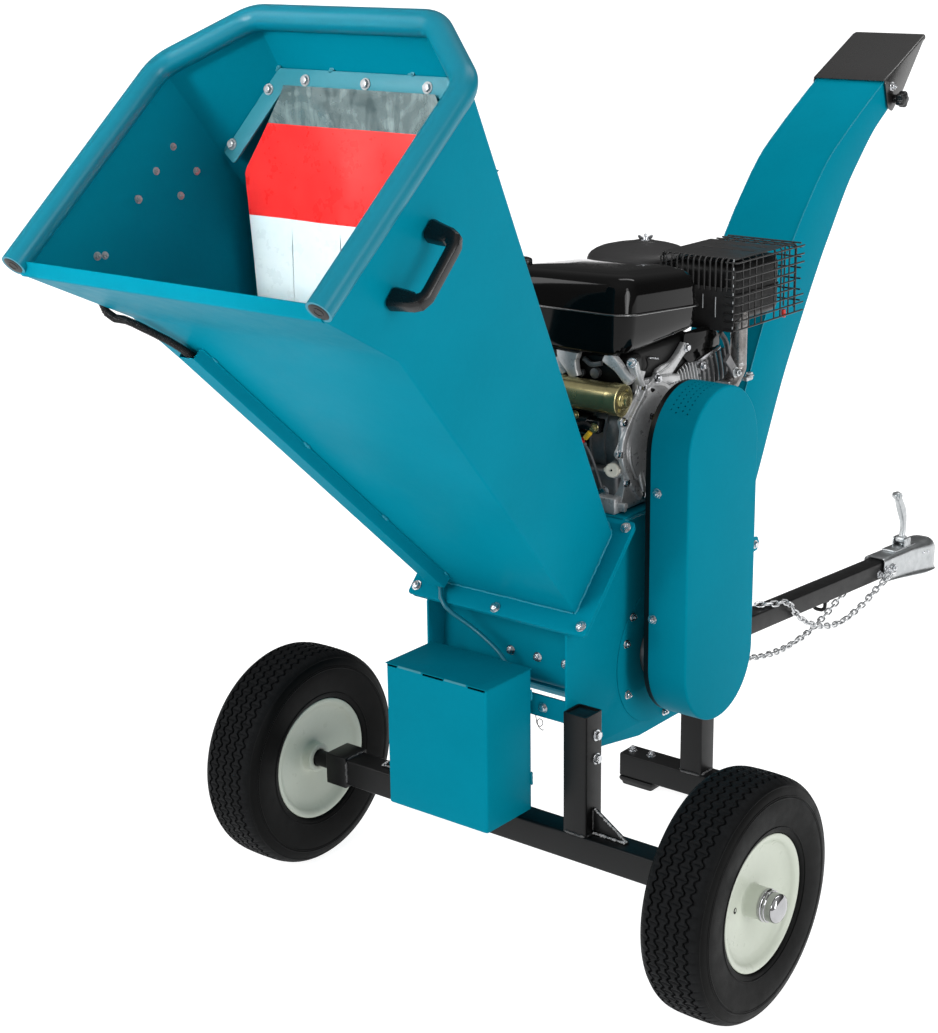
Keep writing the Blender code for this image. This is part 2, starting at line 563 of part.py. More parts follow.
def build_rotor():
    axis = (0.0, ROTOR_Y, ROTOR_Z)
    e = pivot("rotor_axis", axis)
    drum = rod("rotor", (-0.125, ROTOR_Y, ROTOR_Z), (0.125, ROTOR_Y, ROTOR_Z), DRUM_R, 32)
    shaft = rod("rotor_shaft", (-0.188, ROTOR_Y, ROTOR_Z), (0.262, ROTOR_Y, ROTOR_Z), 0.0175, 20)
    boolean(drum, shaft, "UNION")
    # each blade lies in a flat pocket milled across the drum and is bolted on
    for k, name in enumerate(("a", "b")):
        s = 1 if k == 0 else -1
        lo = Vector((-0.1212, ROTOR_Y - s * 0.062, ROTOR_Z + s * 0.0800))
        hi = Vector((0.1212, ROTOR_Y + s * 0.022, ROTOR_Z + s * 0.1300))
        pocket = box("pocket_" + name, [min(a, b) for a, b in zip(lo, hi)], [max(a, b) for a, b in zip(lo, hi)])
        boolean(drum, pocket)
        lo = Vector((-0.1200, ROTOR_Y - s * 0.052, ROTOR_Z + s * 0.0803))
        hi = Vector((0.1200, ROTOR_Y + s * 0.0205, ROTOR_Z + s * 0.0900))
        blade = box("rotor_blade_" + name, [min(a, b) for a, b in zip(lo, hi)], [max(a, b) for a, b in zip(lo, hi)])
        keep(blade, STEEL)
        under(blade, e, axis)
    keep(drum, STEEL)
    under(drum, e, axis)

    # bed knife at the foot of the throat
    lo, hi = (-0.1325, 0.0, 0.0), (0.1325, 0.0110, 0.0600)
    anvil = box("bed_knife", lo, hi)
    anvil.matrix_world = frame_of("FL", fl(0, 0, 0)) @ Matrix.Translation((0, THROAT_U[0] + 0.0034 + 0.0055, -0.142))
    keep(anvil, STEEL)

    # flange bearings outside the plates
    prof = [(0.0178, 0.0340), (0.0320, 0.0330), (0.0350, 0.0200), (0.0540, 0.0110), (0.0560, 0.0003), (0.0178, 0.0003)]
    for side, s in (("left", -1), ("right", 1)):
        b = turned("rotor_bearing_" + side, prof, (s * PLATE_X[1], ROTOR_Y, ROTOR_Z), "X", s < 0, 24, closed=True)
        keep(b, STEEL)

    def pulley(name, r, bore, place):
        prof = [(bore, 0.016), (r, 0.016), (r, 0.0088), (r - 0.012, 0.0056), (r - 0.012, -0.0056), (r, -0.0088),
                (r, -0.016), (bore, -0.016)]
        return turned(name, prof, place, "X", False, 32, closed=True)

    rp = pulley("rotor_pulley", 0.084, 0.0178, (0.240, ROTOR_Y, ROTOR_Z))
    keep(rp, STEEL)
    under(rp, e, axis)

    c_axis = (0.0, CRANK_Y, CRANK_Z)
    ce = pivot("crank_axis", c_axis)
    ep = pulley("engine_pulley", 0.060, 0.0110, (0.240, CRANK_Y, CRANK_Z))
    boolean(ep, rod("crankshaft", (0.1255, CRANK_Y, CRANK_Z), (0.262, CRANK_Y, CRANK_Z), 0.0125, 20), "UNION")
    keep(ep, STEEL)
    under(ep, ce, c_axis)

    # belt: a closed loop round both pulleys, lying in their grooves
    def loop(r_low, r_high, n=12):
        d = CRANK_Z - ROTOR_Z
        tilt = math.degrees(math.asin((r_low - r_high) / d))
        low = arc(ROTOR_Y, ROTOR_Z, r_low, 180 - tilt, 360 + tilt, n)
        high = arc(CRANK_Y, CRANK_Z, r_high, tilt, 180 - tilt, n)
        return low + high

    belt = plate("drive_belt", loop(0.0835, 0.0595), 0.0100, "YZ", (0.240, 0, 0), holes=[loop(0.0750, 0.0510)])
    keep(belt, RUBBER)


def build_cover():
    def stadium(r, n=14):
        return arc(CRANK_Y, COVER_HIGH_Z, r, 0, 180, n) + arc(CRANK_Y, COVER_LOW_Z, r, 180, 360, n)

    x0, x1 = COVER_X
    cover = plate("belt_cover", stadium(COVER_R), x1 - x0, "YZ", ((x0 + x1) / 2, 0, 0))
    inner = plate("belt_cover_inside", stadium(COVER_R - 0.002), x1 - x0, "YZ", ((x0 + x1) / 2 - 0.002, 0, 0))
    boolean(cover, inner)
    keep(cover, TEAL)
    # back plate, bolted inside the cover's rim, open round the two shafts
    back = plate("belt_back_plate", stadium(COVER_R - 0.0024), 0.003, "YZ", (x0 + 0.0035, 0, 0),
                 holes=[circle(ROTOR_Y, ROTOR_Z, 0.040, 16), circle(CRANK_Y, CRANK_Z, 0.030, 16)])
    keep(back, BLACK)


# ================================================================ chute
CHUTE_FRONT = [(0.470, 0.545), (0.530, 0.610), (0.590, 0.700), (0.665, 0.860), (0.745, 1.010), (0.816, 1.103),
               (0.866, 1.165), (0.941, 1.243), (1.010, 1.290), (1.090, 1.338), (1.160, 1.377), (1.184, 1.3885)]
CHUTE_BACK = [(0.500, 0.450), (0.615, 0.505), (0.697, 0.636), (0.796, 0.838), (0.874, 0.968), (0.930, 1.055),
              (0.968, 1.108), (1.026, 1.186), (1.074, 1.236), (1.126, 1.284), (1.180, 1.320), (1.204, 1.338)]


def build_chute():
    sections = []
    for (fy, fz), (by, bz) in zip(CHUTE_FRONT, CHUTE_BACK):
        sections.append([(-CHUTE_HALF, fy, fz), (CHUTE_HALF, fy, fz), (CHUTE_HALF, by, bz), (-CHUTE_HALF, by, bz)])
    chute = shell("chute", sections, 0.0025)
    keep(chute, TEAL)

    # deflector: a hood hinged on a bolt through the end of the chute
    hinge = (0.0, 1.186, 1.366)
    e = pivot("deflector_axis", hinge)
    w = CHUTE_HALF + 0.0035
    out = 0.0022
    top = [(1.156, 1.3795), (1.322, 1.4590)]
    hood_top = box("chute_deflector", (-w - out, 0, 0), (w + out, 0.185, 0.0022))
    tilt = math.atan2(top[1][1] - top[0][1], top[1][0] - top[0][0])
    hood_top.matrix_world = (Matrix.Translation((0, top[0][0], top[0][1])) @ Matrix.Rotation(tilt, 4, "X")
                             @ Matrix.Translation((0, 0.0925, 0.0011)))
    cheek = [(1.1575, 1.3808), (1.1560, 1.3740), (1.1720, 1.3260), (1.1900, 1.3180), (1.2340, 1.3570),
             (1.3180, 1.4550), (1.3170, 1.4576)]
    for s in (-1, 1):
        boolean(hood_top, plate("deflector_cheek", cheek, out, "YZ", (s * (w + out / 2), 0, 0)), "UNION")
    keep(hood_top, BLACK)
    under(hood_top, e, hinge)

    kn = (w + out + 0.0004, 1.197, 1.342)
    ke = pivot("deflector_knob_axis", Vector(kn) - Vector(hinge), e)
    knob = turned("deflector_knob", [(0.0, 0.0260), (0.0130, 0.0255), (0.0160, 0.0220), (0.0160, 0.0100),
                                     (0.0090, 0.0080), (0.0080, 0.0), (0.0, 0.0)], kn, "X", False, 12)
    keep(knob, PLASTIC)
    under(knob, ke, kn)


# ================================================================ engine
def build_engine():
    # crankcase: base, drum, pto-side cover, tank brackets and the barrel's root
    cc = rod("crankcase", (-0.105, CRANK_Y, CRANK_Z), (0.1475, CRANK_Y, CRANK_Z), 0.083, 28)
    cover = rod("cc_cover", (0.130 + 0.0065, CRANK_Y, CRANK_Z), (0.1470, CRANK_Y, CRANK_Z), 0.104, 28)
    base = box("cc_base", (-0.100, 0.166, DECK_Z + GAP), (0.128, 0.375, 0.800), edge=0.006)
    root = box("cc_root", (-0.070, 0.0, -0.060), (0.100, 0.118, 0.060))
    lean = math.radians(19)
    root.matrix_world = (Matrix.Translation((0, CRANK_Y, CRANK_Z)) @ Matrix.Rotation(lean, 4, "X")
                         @ Matrix.Translation((0.015, 0.059, 0)))
    legs = [box("cc_leg", (-0.090, 0.225, 0.900), (-0.070, 0.250, 1.0015)),
            box("cc_leg", (0.085, 0.225, 0.900), (0.105, 0.250, 1.0015))]
    for ob in [cover, base, root] + legs:
        boolean(cc, ob, "UNION")
    boolean(cc, rod("cc_bore", (0.120, CRANK_Y, CRANK_Z), (0.160, CRANK_Y, CRANK_Z), 0.0150, 20))
    keep(cc, ALU)
    # the crankshaft stands in that bore

    # finned cylinder and head, leaning back
    cy = box("cylinder_head", (-0.078, 0.0, -0.064), (0.108, 0.1565, 0.050), edge=0.008)
    place = (Matrix.Translation((0, CRANK_Y, CRANK_Z)) @ Matrix.Rotation(lean, 4, "X"))
    cy.matrix_world = place @ Matrix.Translation((0.015, 0.1185 + 0.07825, -0.0070))
    for k in range(7):
        for across in (-0.074, 0.060):
            g2 = box("fin_gap", (-0.2, -0.0040, -0.025), (0.2, 0.0040, 0.025))
            g2.matrix_world = place @ Matrix.Translation((0.015, 0.1185 + 0.018 + 0.018 * k, across))
            boolean(cy, g2)
    keep(cy, ALU)

    tank = box("fuel_tank", (-0.150, 0.1700, 1.0020), (0.1330, 0.4250, 1.1310), edge=0.022)
    keep(tank, GLOSS)
    cap_at = (-0.122, 0.225, 1.1313)
    ce = pivot("fuel_cap_axis", cap_at)
    cap = turned("fuel_cap", [(0.0, 0.0170), (0.0225, 0.0162), (0.0260, 0.0120), (0.0260, 0.0), (0.0, 0.0)],
                 cap_at, "Z", False, 16)
    keep(cap, PLASTIC)
    under(cap, ce, cap_at)

    # air cleaner: a domed can on an elbow beside the head
    ac = turned("air_cleaner", [(0.0, 0.1440), (0.0100, 0.1440), (0.0120, 0.1320), (0.0500, 0.1260), (0.0800, 0.1110),
                                (0.0900, 0.0900), (0.0922, 0.0600), (0.0880, 0.0300), (0.0, 0.0300)],
                (-0.0885, 0.552, 1.000), "Z", False, 28)
    elbow = box("air_elbow", (-0.1180, 0.500, 0.9800), (-0.0800, 0.560, 1.040))
    elbow2 = box("air_elbow2", (-0.1180, 0.450, 0.930), (-0.0800, 0.545, 0.990))
    boolean(ac, elbow, "UNION")
    boolean(ac, elbow2, "UNION")
    keep(ac, PLASTIC)

    # muffler with its exhaust pipe, inside a guard
    mf = box("muffler", (0.018, 0.4860, 1.012), (0.150, 0.650, 1.118), edge=0.018)
    pipe = tube("exhaust_pipe", rounded([(0.138, 0.5270, 1.030), (0.138, 0.5270, 0.925), (0.138, 0.5020, 0.9020),
                                         (0.1380, 0.4780, 0.8960)], 0.015, 3), 0.0140, 2)
    boolean(mf, pipe, "UNION")
    flange = box("exhaust_flange", (0.1236, 0.4700, 0.8810), (0.1560, 0.4790, 0.9130))
    boolean(mf, flange, "UNION")
    keep(mf, SOOT)

    g0, g1 = (0.004, 0.4690, 1.000), (0.165, 0.708, 1.132)
    guard = box("muffler_guard", g0, g1)
    boolean(guard, box("guard_inside", (g0[0] + 0.0025, g0[1] + 0.0025, 0.95), (g1[0] - 0.0025, g1[1] - 0.0025,
                                                                              g1[2] - 0.0025)))
    for k in range(6):
        z = g0[2] + 0.012 + k * 0.0190
        boolean(guard, box("guard_slot", (g1[0] - 0.02, g0[1] + 0.012, z), (g1[0] + 0.02, g1[1] - 0.012, z + 0.0125)))
    for k in range(7):
        x = g0[0] + 0.012 + k * 0.0205
        boolean(guard, box("guard_slot", (x, g0[1] - 0.02, g0[2] + 0.014), (x + 0.0130, g0[1] + 0.02, g1[2] - 0.020)))
    boolean(guard, box("guard_back", (g0[0] + 0.012, g1[1] - 0.02, g0[2] + 0.014), (g1[0] - 0.012, g1[1] + 0.02,
                                                                                  g1[2] - 0.020)))
    keep(guard, BLACK)

    st = rod("starter_motor", (0.000, 0.177, 0.935), (0.130, 0.177, 0.935), 0.0280, 24)
    nose = rod("starter_nose", (0.128, 0.177, 0.935), (0.1420, 0.177, 0.935), 0.0095, 16)
    tail = rod("starter_tail", (-0.050, 0.177, 0.935), (0.002, 0.177, 0.935), 0.0250, 24)
    for ob in (nose, tail):
        boolean(st, ob, "UNION")
    keep(st, GOLD)

    rc = turned("recoil_cover", [(0.0, 0.0850), (0.0500, 0.0850), (0.0620, 0.0760), (0.0980, 0.0560), (0.1060, 0.0440),
                                 (0.1080, 0.0), (0.0, 0.0)], (-0.1053, CRANK_Y, CRANK_Z), "X", True, 28)
    keep(rc, GLOSS)
    gp = (-0.1790, 0.1700, 0.9100)
    ge = pivot("recoil_grip_axis", gp)
    grip = box("recoil_grip", (-0.1900, 0.1350, 0.9350), (-0.1680, 0.2050, 0.9530), edge=0.006)
    stem = rod("recoil_stem", (-0.1790, 0.1700, 0.9150), (-0.1790, 0.1700, 0.9400), 0.0060, 12)
    boolean(grip, stem, "UNION")
    keep(grip, PLASTIC)
    under(grip, ge, gp)


# ================================================================ hopper
def hopper_sections():
    """Corner points of the feed hopper from the throat to the mouth, six to a section."""
    u0, u1 = THROAT_U
    throat = [fl(-THROAT_HALF, u0, 0.0035), fl(-THROAT_HALF, u1 - 0.020, 0.0035), fl(-THROAT_HALF + 0.018, u1, 0.0035),
              fl(THROAT_HALF - 0.018, u1, 0.0035), fl(THROAT_HALF, u1 - 0.020, 0.0035), fl(THROAT_HALF, u0, 0.0035)]
    along = Vector((0.0, MOUTH_KNEE[0] - MOUTH_LOW[0], MOUTH_KNEE[1] - MOUTH_LOW[1])).normalized()
    inward = Vector((0.0, along.z, -along.y)) * (RAIL_R + GAP + 0.0004)
    mouth = [Vector((-MOUTH_HALF, *MOUTH_LOW)), Vector((-MOUTH_HALF, *MOUTH_KNEE)), Vector((-MOUTH_TOP_HALF, *MOUTH_TOP)),
             Vector((MOUTH_TOP_HALF, *MOUTH_TOP)), Vector((MOUTH_HALF, *MOUTH_KNEE)), Vector((MOUTH_HALF, *MOUTH_LOW))]
    mouth = [m + inward for m in mouth]
    mid = [t.lerp(m, 0.789) for t, m in zip(throat, mouth)]
    mid[0] = Vector((-KINK[0], KINK[1], KINK[2]))
    mid[5] = Vector(KINK)
    return throat, mid, mouth


def build_hopper():
    throat, mid, mouth = hopper_sections()
    u0, u1 = THROAT_U
    h = shell("hopper_shell", [throat, mid, mouth], SHEET)
    ring = plate("hopper_flange", [(-FLANGE_HALF, -0.0165), (FLANGE_HALF, -0.0165), (FLANGE_HALF, 0.200),
                                   (-FLANGE_HALF, 0.200)], 0.0050, "FL", fl(0, 0, 0.0025),
                 holes=[[(-0.1515, u0 + 0.0015), (0.1515, u0 + 0.0015), (0.1515, u1 - 0.0205), (0.1340, u1 - 0.0016),
                         (-0.1340, u1 - 0.0016), (-0.1515, u1 - 0.0205)]])
    boolean(h, ring, "UNION")
    keep(h, TEAL)

    # bent rail round three sides of the mouth
    pts = [(-MOUTH_HALF, *MOUTH_LOW), (-MOUTH_HALF, *MOUTH_KNEE), (-MOUTH_TOP_HALF, *MOUTH_TOP),
           (MOUTH_TOP_HALF, *MOUTH_TOP), (MOUTH_HALF, *MOUTH_KNEE), (MOUTH_HALF, *MOUTH_LOW)]
    keep(tube("hopper_rail", rounded(pts, 0.055, 4), RAIL_R, 3), TEAL)

    # the right wall is two planes that nearly agree; the outer one counts for what is bolted on
    m4, m5, o4, o5 = mid[4], mid[5], mouth[4], mouth[5]
    walls = [(m5, m4, o4), (m5, o4, o5), (m5, m4, o5), (m4, o4, o5)]
    n = (m4 - m5).cross(o4 - m5).normalized()
    if n.x < 0:
        n = -n

    def on_wall(y, z, out, s):
        """A point on the side wall (s = 1 right, -1 left), lifted out along its normal."""
        xs = []
        for a, b, c in walls:
            w = (b - a).cross(c - a)
            xs.append(a.x - ((y - a.y) * w.y + (z - a.z) * w.z) / w.x)
        p = Vector((max(xs), y, z)) + n * out
        return Vector((s * p.x, p.y, p.z))

    for side, s in (("right", 1), ("left", -1)):
        f1, f2 = (-0.503, 1.325), (-0.577, 1.247)
        path = [on_wall(*f1, 0.0016, s), on_wall(*f1, 0.0460, s), on_wall(*f2, 0.0460, s), on_wall(*f2, 0.0016, s)]
        keep(tube("handle_" + side, rounded(path, 0.016, 3), 0.0105, 2), PLASTIC)

    # curtain bar: a flat bar across the top of the hopper with a leg down each chamfer
    bar = plate("curtain_bar", [(-0.2610, 0.0000), (-0.2370, -0.0165), (-0.1500, 0.1010), (0.1500, 0.1010),
                                (0.2370, -0.0165), (0.2610, 0.0000), (0.1640, 0.1310), (-0.1640, 0.1310)],
                0.004, "BAR", (0, BAR_Y, BAR_Z))
    keep(bar, TEAL)
    yc = -0.3220
    hinge = (0.0, yc, 1.4620)
    e = pivot("curtain_axis", hinge)
    cur = plate("hopper_curtain", [(-0.2050, 0.9900), (0.2050, 0.9900), (0.2320, 1.3450), (0.1500, 1.4660),
                                   (-0.1500, 1.4660), (-0.2320, 1.3450)], 0.0025, "XZ", (0, yc, 0))
    keep(cur, PLASTIC)
    cur.parent = e
    cur.location = Vector(cur.location) - Vector(hinge)

    # start switch box on the left wall, with its key
    sy, sz = -0.4475, 1.3510
    across = Vector((0.0, EU.y, EU.z))
    cen = on_wall(sy, sz, 0.0, -1)
    nl = Vector((-n.x, n.y, n.z))
    t1 = (across - nl * across.dot(nl)).normalized()
    t2 = nl.cross(t1)
    m = Matrix((t1, t2, nl)).transposed().to_4x4()
    m.translation = cen + nl * 0.0275
    sw = box("switch_box", (-0.040, -0.036, -0.0250), (0.040, 0.036, 0.0250), edge=0.006)
    sw.matrix_world = m
    keep(sw, PLASTIC)
    kp = cen + nl * 0.0529
    ke = pivot("start_key_axis", kp)
    key = rod("start_key", (0, 0, 0.0), (0, 0, 0.006), 0.0110, 16)
    key.matrix_world = Matrix.Translation(kp) @ m.to_3x3().to_4x4() @ Matrix.Translation((0, 0, 0.003))
    tab = box("key_tab", (-0.010, -0.0020, 0.004), (0.010, 0.0020, 0.026))
    tab.matrix_world = Matrix.Translation(kp) @ m.to_3x3().to_4x4() @ Matrix.Translation((0, 0, 0.015))
    boolean(key, tab, "UNION")
    keep(key, PLASTIC)
    key.location = Vector(key.location) - kp
    key.parent = ke

    # cable channel: a folded strip under the floor that covers the lead
    fa = (throat[0] + throat[5]) / 2
    fb = (mid[0] + mid[5]) / 2
    run = (fb - fa).normalized()
    down = Vector((0.0, run.z, -run.y))
    if down.z > 0:
        down = -down
    top = fa + run * 0.712 + Vector((-0.1820, 0, 0))
    low = fa + run * 0.022 + Vector((-0.1190, 0, 0))
    line = (top - low).normalized()
    wide = line.cross(down).normalized()

    def ch(o, k, w, d):
        return (low if o == 0 else top) + wide * w + down * d

    sections = []
    for o in (0, 1):
        sections.append([ch(o, 0, -0.0250, 0.0010), ch(o, 0, -0.0240, 0.0190), ch(o, 0, 0.0240, 0.0190),
                         ch(o, 0, 0.0250, 0.0010)])
    chan = shell("cable_channel", sections, 0.0016, offset=0.0, rings_closed=False)
    keep(chan, TEAL)

    # start lead: from the switch box, under the hopper's edge, through the channel, to the battery box
    inside = [low + (top - low) * f + down * 0.0100 for f in (0.97, 0.75, 0.5, 0.25, 0.03)]
    p0 = cen - t1 * 0.0403 + nl * 0.0200
    route = [p0, p0 - t1 * 0.020, p0 - t1 * 0.060 + nl * 0.002] + [Vector(q) for q in LEAD_BEND]
    route += inside
    sleeve_end = len(route) - 3
    route += [fl(-0.1180, 0.0080, -0.0150), fl(-0.1130, -0.0060, -0.0090), fl(-0.1060, -0.0180, -0.0060),
              fl(-0.0980, -0.0240, -0.0010), fl(-0.0860, -0.0290, 0.0110)]
    route += [Vector((-0.0500, -0.0110, 0.5500)), Vector((-0.0100, -0.0095, 0.5280)), Vector((0.0160, -0.0095, 0.5080)),
              Vector((0.0260, -0.0100, 0.4860)), Vector((0.0280, -0.0104, 0.4700)), Vector((0.0286, -0.0106, 0.4500))]
    dense = smooth(route, 72)
    lead = tube("start_lead", dense, 0.0042, 2)
    cut = min(range(len(dense)), key=lambda i: (dense[i] - route[sleeve_end]).length)
    boolean(lead, tube("lead_sleeve", dense[:cut], 0.0064, 3), "UNION")
    keep(lead, RUBBER)


def build_battery():
    x0, x1 = -0.1340, 0.0800
    yf, yb = -0.1400, -0.0165
    zb, zf, zr = 0.2500, 0.5050, 0.5050
    t = 0.0018
    body = plate("battery_box", [(yf, zb), (yb, zb), (yb, zr), (yf, zf)], x1 - x0, "YZ", ((x0 + x1) / 2, 0, 0))
    inner = plate("battery_box_inside", [(yf + t, zb + t), (yb - t, zb + t), (yb - t, zr + 0.05), (yf + t, zf + 0.05)],
                  x1 - x0 - 2 * t, "YZ", ((x0 + x1) / 2, 0, 0))
    boolean(body, inner)
    keep(body, TEAL)
    k = (zr - zf) / (yb - yf)
    hinge = (0.0, yf, zf + 0.0024)
    e = pivot("battery_lid_axis", hinge)
    lid = plate("battery_lid", [(yf - 0.0008, zf + 0.0006), (yb + 0.0006, zr + 0.0007), (yb + 0.0006, zr + 0.0025),
                                (yf - 0.0008, zf + 0.0024)], x1 - x0 + 0.002, "YZ", ((x0 + x1) / 2, 0, 0))
    keep(lid, TEAL)
    lid.parent = e
    lid.location = Vector(lid.location) - Vector(hinge)
    bat = box("battery", (-0.1150, -0.1300, zb + t + GAP), (0.0600, -0.0300, 0.4070), edge=0.004)
    for x in (-0.095, 0.040):
        boolean(bat, rod("battery_post", (x, -0.105, 0.400), (x, -0.105, 0.4200), 0.0085, 12), "UNION")
    keep(bat, PLASTIC)


build_axle()
build_wheel("left")
build_wheel("right")
build_stand()
build_tow()
build_frame()
build_rotor()
build_cover()
build_chute()
build_engine()
build_hopper()
build_battery()
bpy.context.view_layer.update()
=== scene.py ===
import math
import random
import bpy
import bmesh
import numpy as np
from mathutils import Vector, Matrix, noise

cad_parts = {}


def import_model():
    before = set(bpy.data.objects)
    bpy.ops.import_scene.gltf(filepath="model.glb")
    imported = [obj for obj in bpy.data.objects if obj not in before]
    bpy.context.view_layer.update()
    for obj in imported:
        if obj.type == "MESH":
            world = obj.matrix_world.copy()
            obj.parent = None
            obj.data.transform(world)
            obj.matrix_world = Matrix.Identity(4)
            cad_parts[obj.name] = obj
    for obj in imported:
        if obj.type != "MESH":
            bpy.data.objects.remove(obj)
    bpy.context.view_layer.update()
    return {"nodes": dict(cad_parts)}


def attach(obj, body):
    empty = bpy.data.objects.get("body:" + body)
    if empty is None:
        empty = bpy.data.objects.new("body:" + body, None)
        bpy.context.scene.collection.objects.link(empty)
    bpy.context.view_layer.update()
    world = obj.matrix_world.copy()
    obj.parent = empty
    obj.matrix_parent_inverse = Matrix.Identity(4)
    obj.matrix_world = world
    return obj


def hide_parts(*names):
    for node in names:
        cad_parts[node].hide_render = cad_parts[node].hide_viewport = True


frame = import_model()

YM = 0.4378                       # everything is laid out from the axle, then moved to the row frame
SCENE = bpy.context.scene
rnd = random.Random(7)


# ------------------------------------------------------------------ meshes
def obj(name, me):
    ob = bpy.data.objects.new(name, me)
    SCENE.collection.objects.link(ob)
    return ob


def mesh(name, verts, faces):
    me = bpy.data.meshes.new(name)
    me.from_pydata([tuple(v) for v in verts], [], [tuple(f) for f in faces])
    me.update()
    return obj(name, me)


def from_bm(name, bm):
    me = bpy.data.meshes.new(name)
    bm.to_mesh(me)
    bm.free()
    return obj(name, me)


def outward(ob):
    bm = bmesh.new()
    bm.from_mesh(ob.data)
    bmesh.ops.recalc_face_normals(bm, faces=bm.faces)
    bm.to_mesh(ob.data)
    bm.free()
    return ob


def evaluated(ob):
    """Apply the object's modifiers and its matrix to its mesh."""
    bpy.context.view_layer.update()
    dg = bpy.context.evaluated_depsgraph_get()
    me = bpy.data.meshes.new_from_object(ob.evaluated_get(dg))
    me.transform(ob.matrix_world)
    name = ob.name
    bpy.data.objects.remove(ob, do_unlink=True)
    me.name = name
    return obj(name, me)


def moved(ob, m):
    ob.data.transform(m)
    return ob


def merge(name, obs):
    """One mesh from several; each piece keeps its own materials."""
    mats, verts, faces, mi, off = [], [], [], [], 0
    for ob in obs:
        local = []
        for m in (list(ob.data.materials) or [None]):
            if m not in mats:
                mats.append(m)
            local.append(mats.index(m))
        mw = ob.matrix_world
        verts += [mw @ v.co for v in ob.data.vertices]
        for p in ob.data.polygons:
            faces.append([off + i for i in p.vertices])
            mi.append(local[min(p.material_index, len(local) - 1)])
        off += len(ob.data.vertices)
        bpy.data.objects.remove(ob, do_unlink=True)
    out = mesh(name, verts, faces)
    for m in mats:
        out.data.materials.append(m)
    out.data.polygons.foreach_set("material_index", mi)
    return out


def shade(ob, angle=35):
    ob.data.shade_smooth()
    ob.data.set_sharp_from_angle(angle=math.radians(angle))
    return ob


def bevelled(ob, width, seg=2, angle=30):
    b = ob.modifiers.new("edge", "BEVEL")
    b.width = width
    b.segments = seg
    b.limit_method = "ANGLE"
    b.angle_limit = math.radians(angle)
    b.harden_normals = False
    return evaluated(ob)


def rbox(name, lo, hi, r=0.002, seg=2, m=None):
    """A block with rounded edges."""
    lo, hi = Vector(lo), Vector(hi)
    bm = bmesh.new()
    bmesh.ops.create_cube(bm, size=1.0)
    bmesh.ops.scale(bm, vec=hi - lo, verts=bm.verts)
    bmesh.ops.translate(bm, vec=(lo + hi) / 2, verts=bm.verts)
    if r > 0:
        bmesh.ops.bevel(bm, geom=list(bm.edges), offset=r, segments=seg, profile=0.5, affect="EDGES")
    if m is not None:
        bmesh.ops.transform(bm, matrix=m, verts=bm.verts)
    return from_bm(name, bm)


def frame_m(at, ux, uy, uz):
    m = Matrix((ux, uy, uz)).transposed().to_4x4()
    m.translation = at
    return m


def axes_for(n):
    """Two directions square to n."""
    n = Vector(n).normalized()
    a = Vector((0, 0, 1)) if abs(n.z) < 0.9 else Vector((0, 1, 0))
    u = a.cross(n).normalized()
    return u, n.cross(u)


def planar(plane, at=(0, 0, 0)):
    cols = {"YZ": ((0, 1, 0), (0, 0, 1), (1, 0, 0)), "XZ": ((1, 0, 0), (0, 0, 1), (0, -1, 0)),
            "XY": ((1, 0, 0), (0, 1, 0), (0, 0, 1))}[plane]
    return frame_m(Vector(at), *[Vector(c) for c in cols])


def plate(name, outline, thick, m, holes=(), edge=0.0006, res=1):
    """A flat outline with thickness to both sides of its plane and softened rims."""
    cu = bpy.data.curves.new(name, "CURVE")
    cu.dimensions = "2D"
    cu.fill_mode = "BOTH"
    cu.extrude = max(thick / 2 - edge, 0.0)
    cu.bevel_depth = edge
    cu.bevel_resolution = res
    cu.offset = -edge
    for ring in [outline] + list(holes):
        sp = cu.splines.new("POLY")
        sp.points.add(len(ring) - 1)
        for p, (u, v) in zip(sp.points, ring):
            p.co = (u, v, 0.0, 1.0)
        sp.use_cyclic_u = True
    ob = bpy.data.objects.new(name, cu)
    SCENE.collection.objects.link(ob)
    ob.matrix_world = m
    bpy.context.view_layer.update()
    dg = bpy.context.evaluated_depsgraph_get()
    me = bpy.data.meshes.new_from_object(ob.evaluated_get(dg))
    me.transform(ob.matrix_world)
    bpy.data.objects.remove(ob, do_unlink=True)
    bm = bmesh.new()
    bm.from_mesh(me)
    bmesh.ops.remove_doubles(bm, verts=bm.verts, dist=0.00001)
    bmesh.ops.recalc_face_normals(bm, faces=bm.faces)
    bm.to_mesh(me)
    bm.free()
    return obj(name, me)


def round_path(pts, rad, n=5):
    """Corners of an open path turned into arcs; rad is one radius or one for each inner corner."""
    pts = [Vector(p) for p in pts]
    out = [pts[0]]
    for i in range(1, len(pts) - 1):
        r = rad[i - 1] if hasattr(rad, "__len__") else rad
        a, b, c = pts[i - 1], pts[i], pts[i + 1]
        d1, d2 = (a - b).normalized(), (c - b).normalized()
        ang = d1.angle(d2)
        if r <= 0 or ang > math.radians(178.5):
            out.append(b)
            continue
        t = min(r / math.tan(ang / 2), (a - b).length * 0.49, (c - b).length * 0.49)
        r = t * math.tan(ang / 2)
        p1, p2 = b + d1 * t, b + d2 * t
        cen = b + (d1 + d2).normalized() * (r / math.sin(ang / 2))
        v1, v2 = p1 - cen, p2 - cen
        sw = v1.angle(v2)
        for k in range(n + 1):
            f = k / n
            out.append(cen + (v1 * math.sin((1 - f) * sw) + v2 * math.sin(f * sw)) / math.sin(sw))
    out.append(pts[-1])
    return out


def round_loop(pts, rad, n=3):
    """A closed outline of 2-D or 3-D points with rounded corners."""
    flat = len(pts[0]) == 2
    p = [Vector((a[0], a[1], 0)) if flat else Vector(a) for a in pts]
    out = []
    for i in range(len(p)):
        r = rad[i] if hasattr(rad, "__len__") else rad
        seg = round_path([p[i - 1].lerp(p[i], 0.5), p[i], p[i].lerp(p[(i + 1) % len(p)], 0.5)], r, n)[1:-1]
        out += seg
    return [(q.x, q.y) for q in out] if flat else out


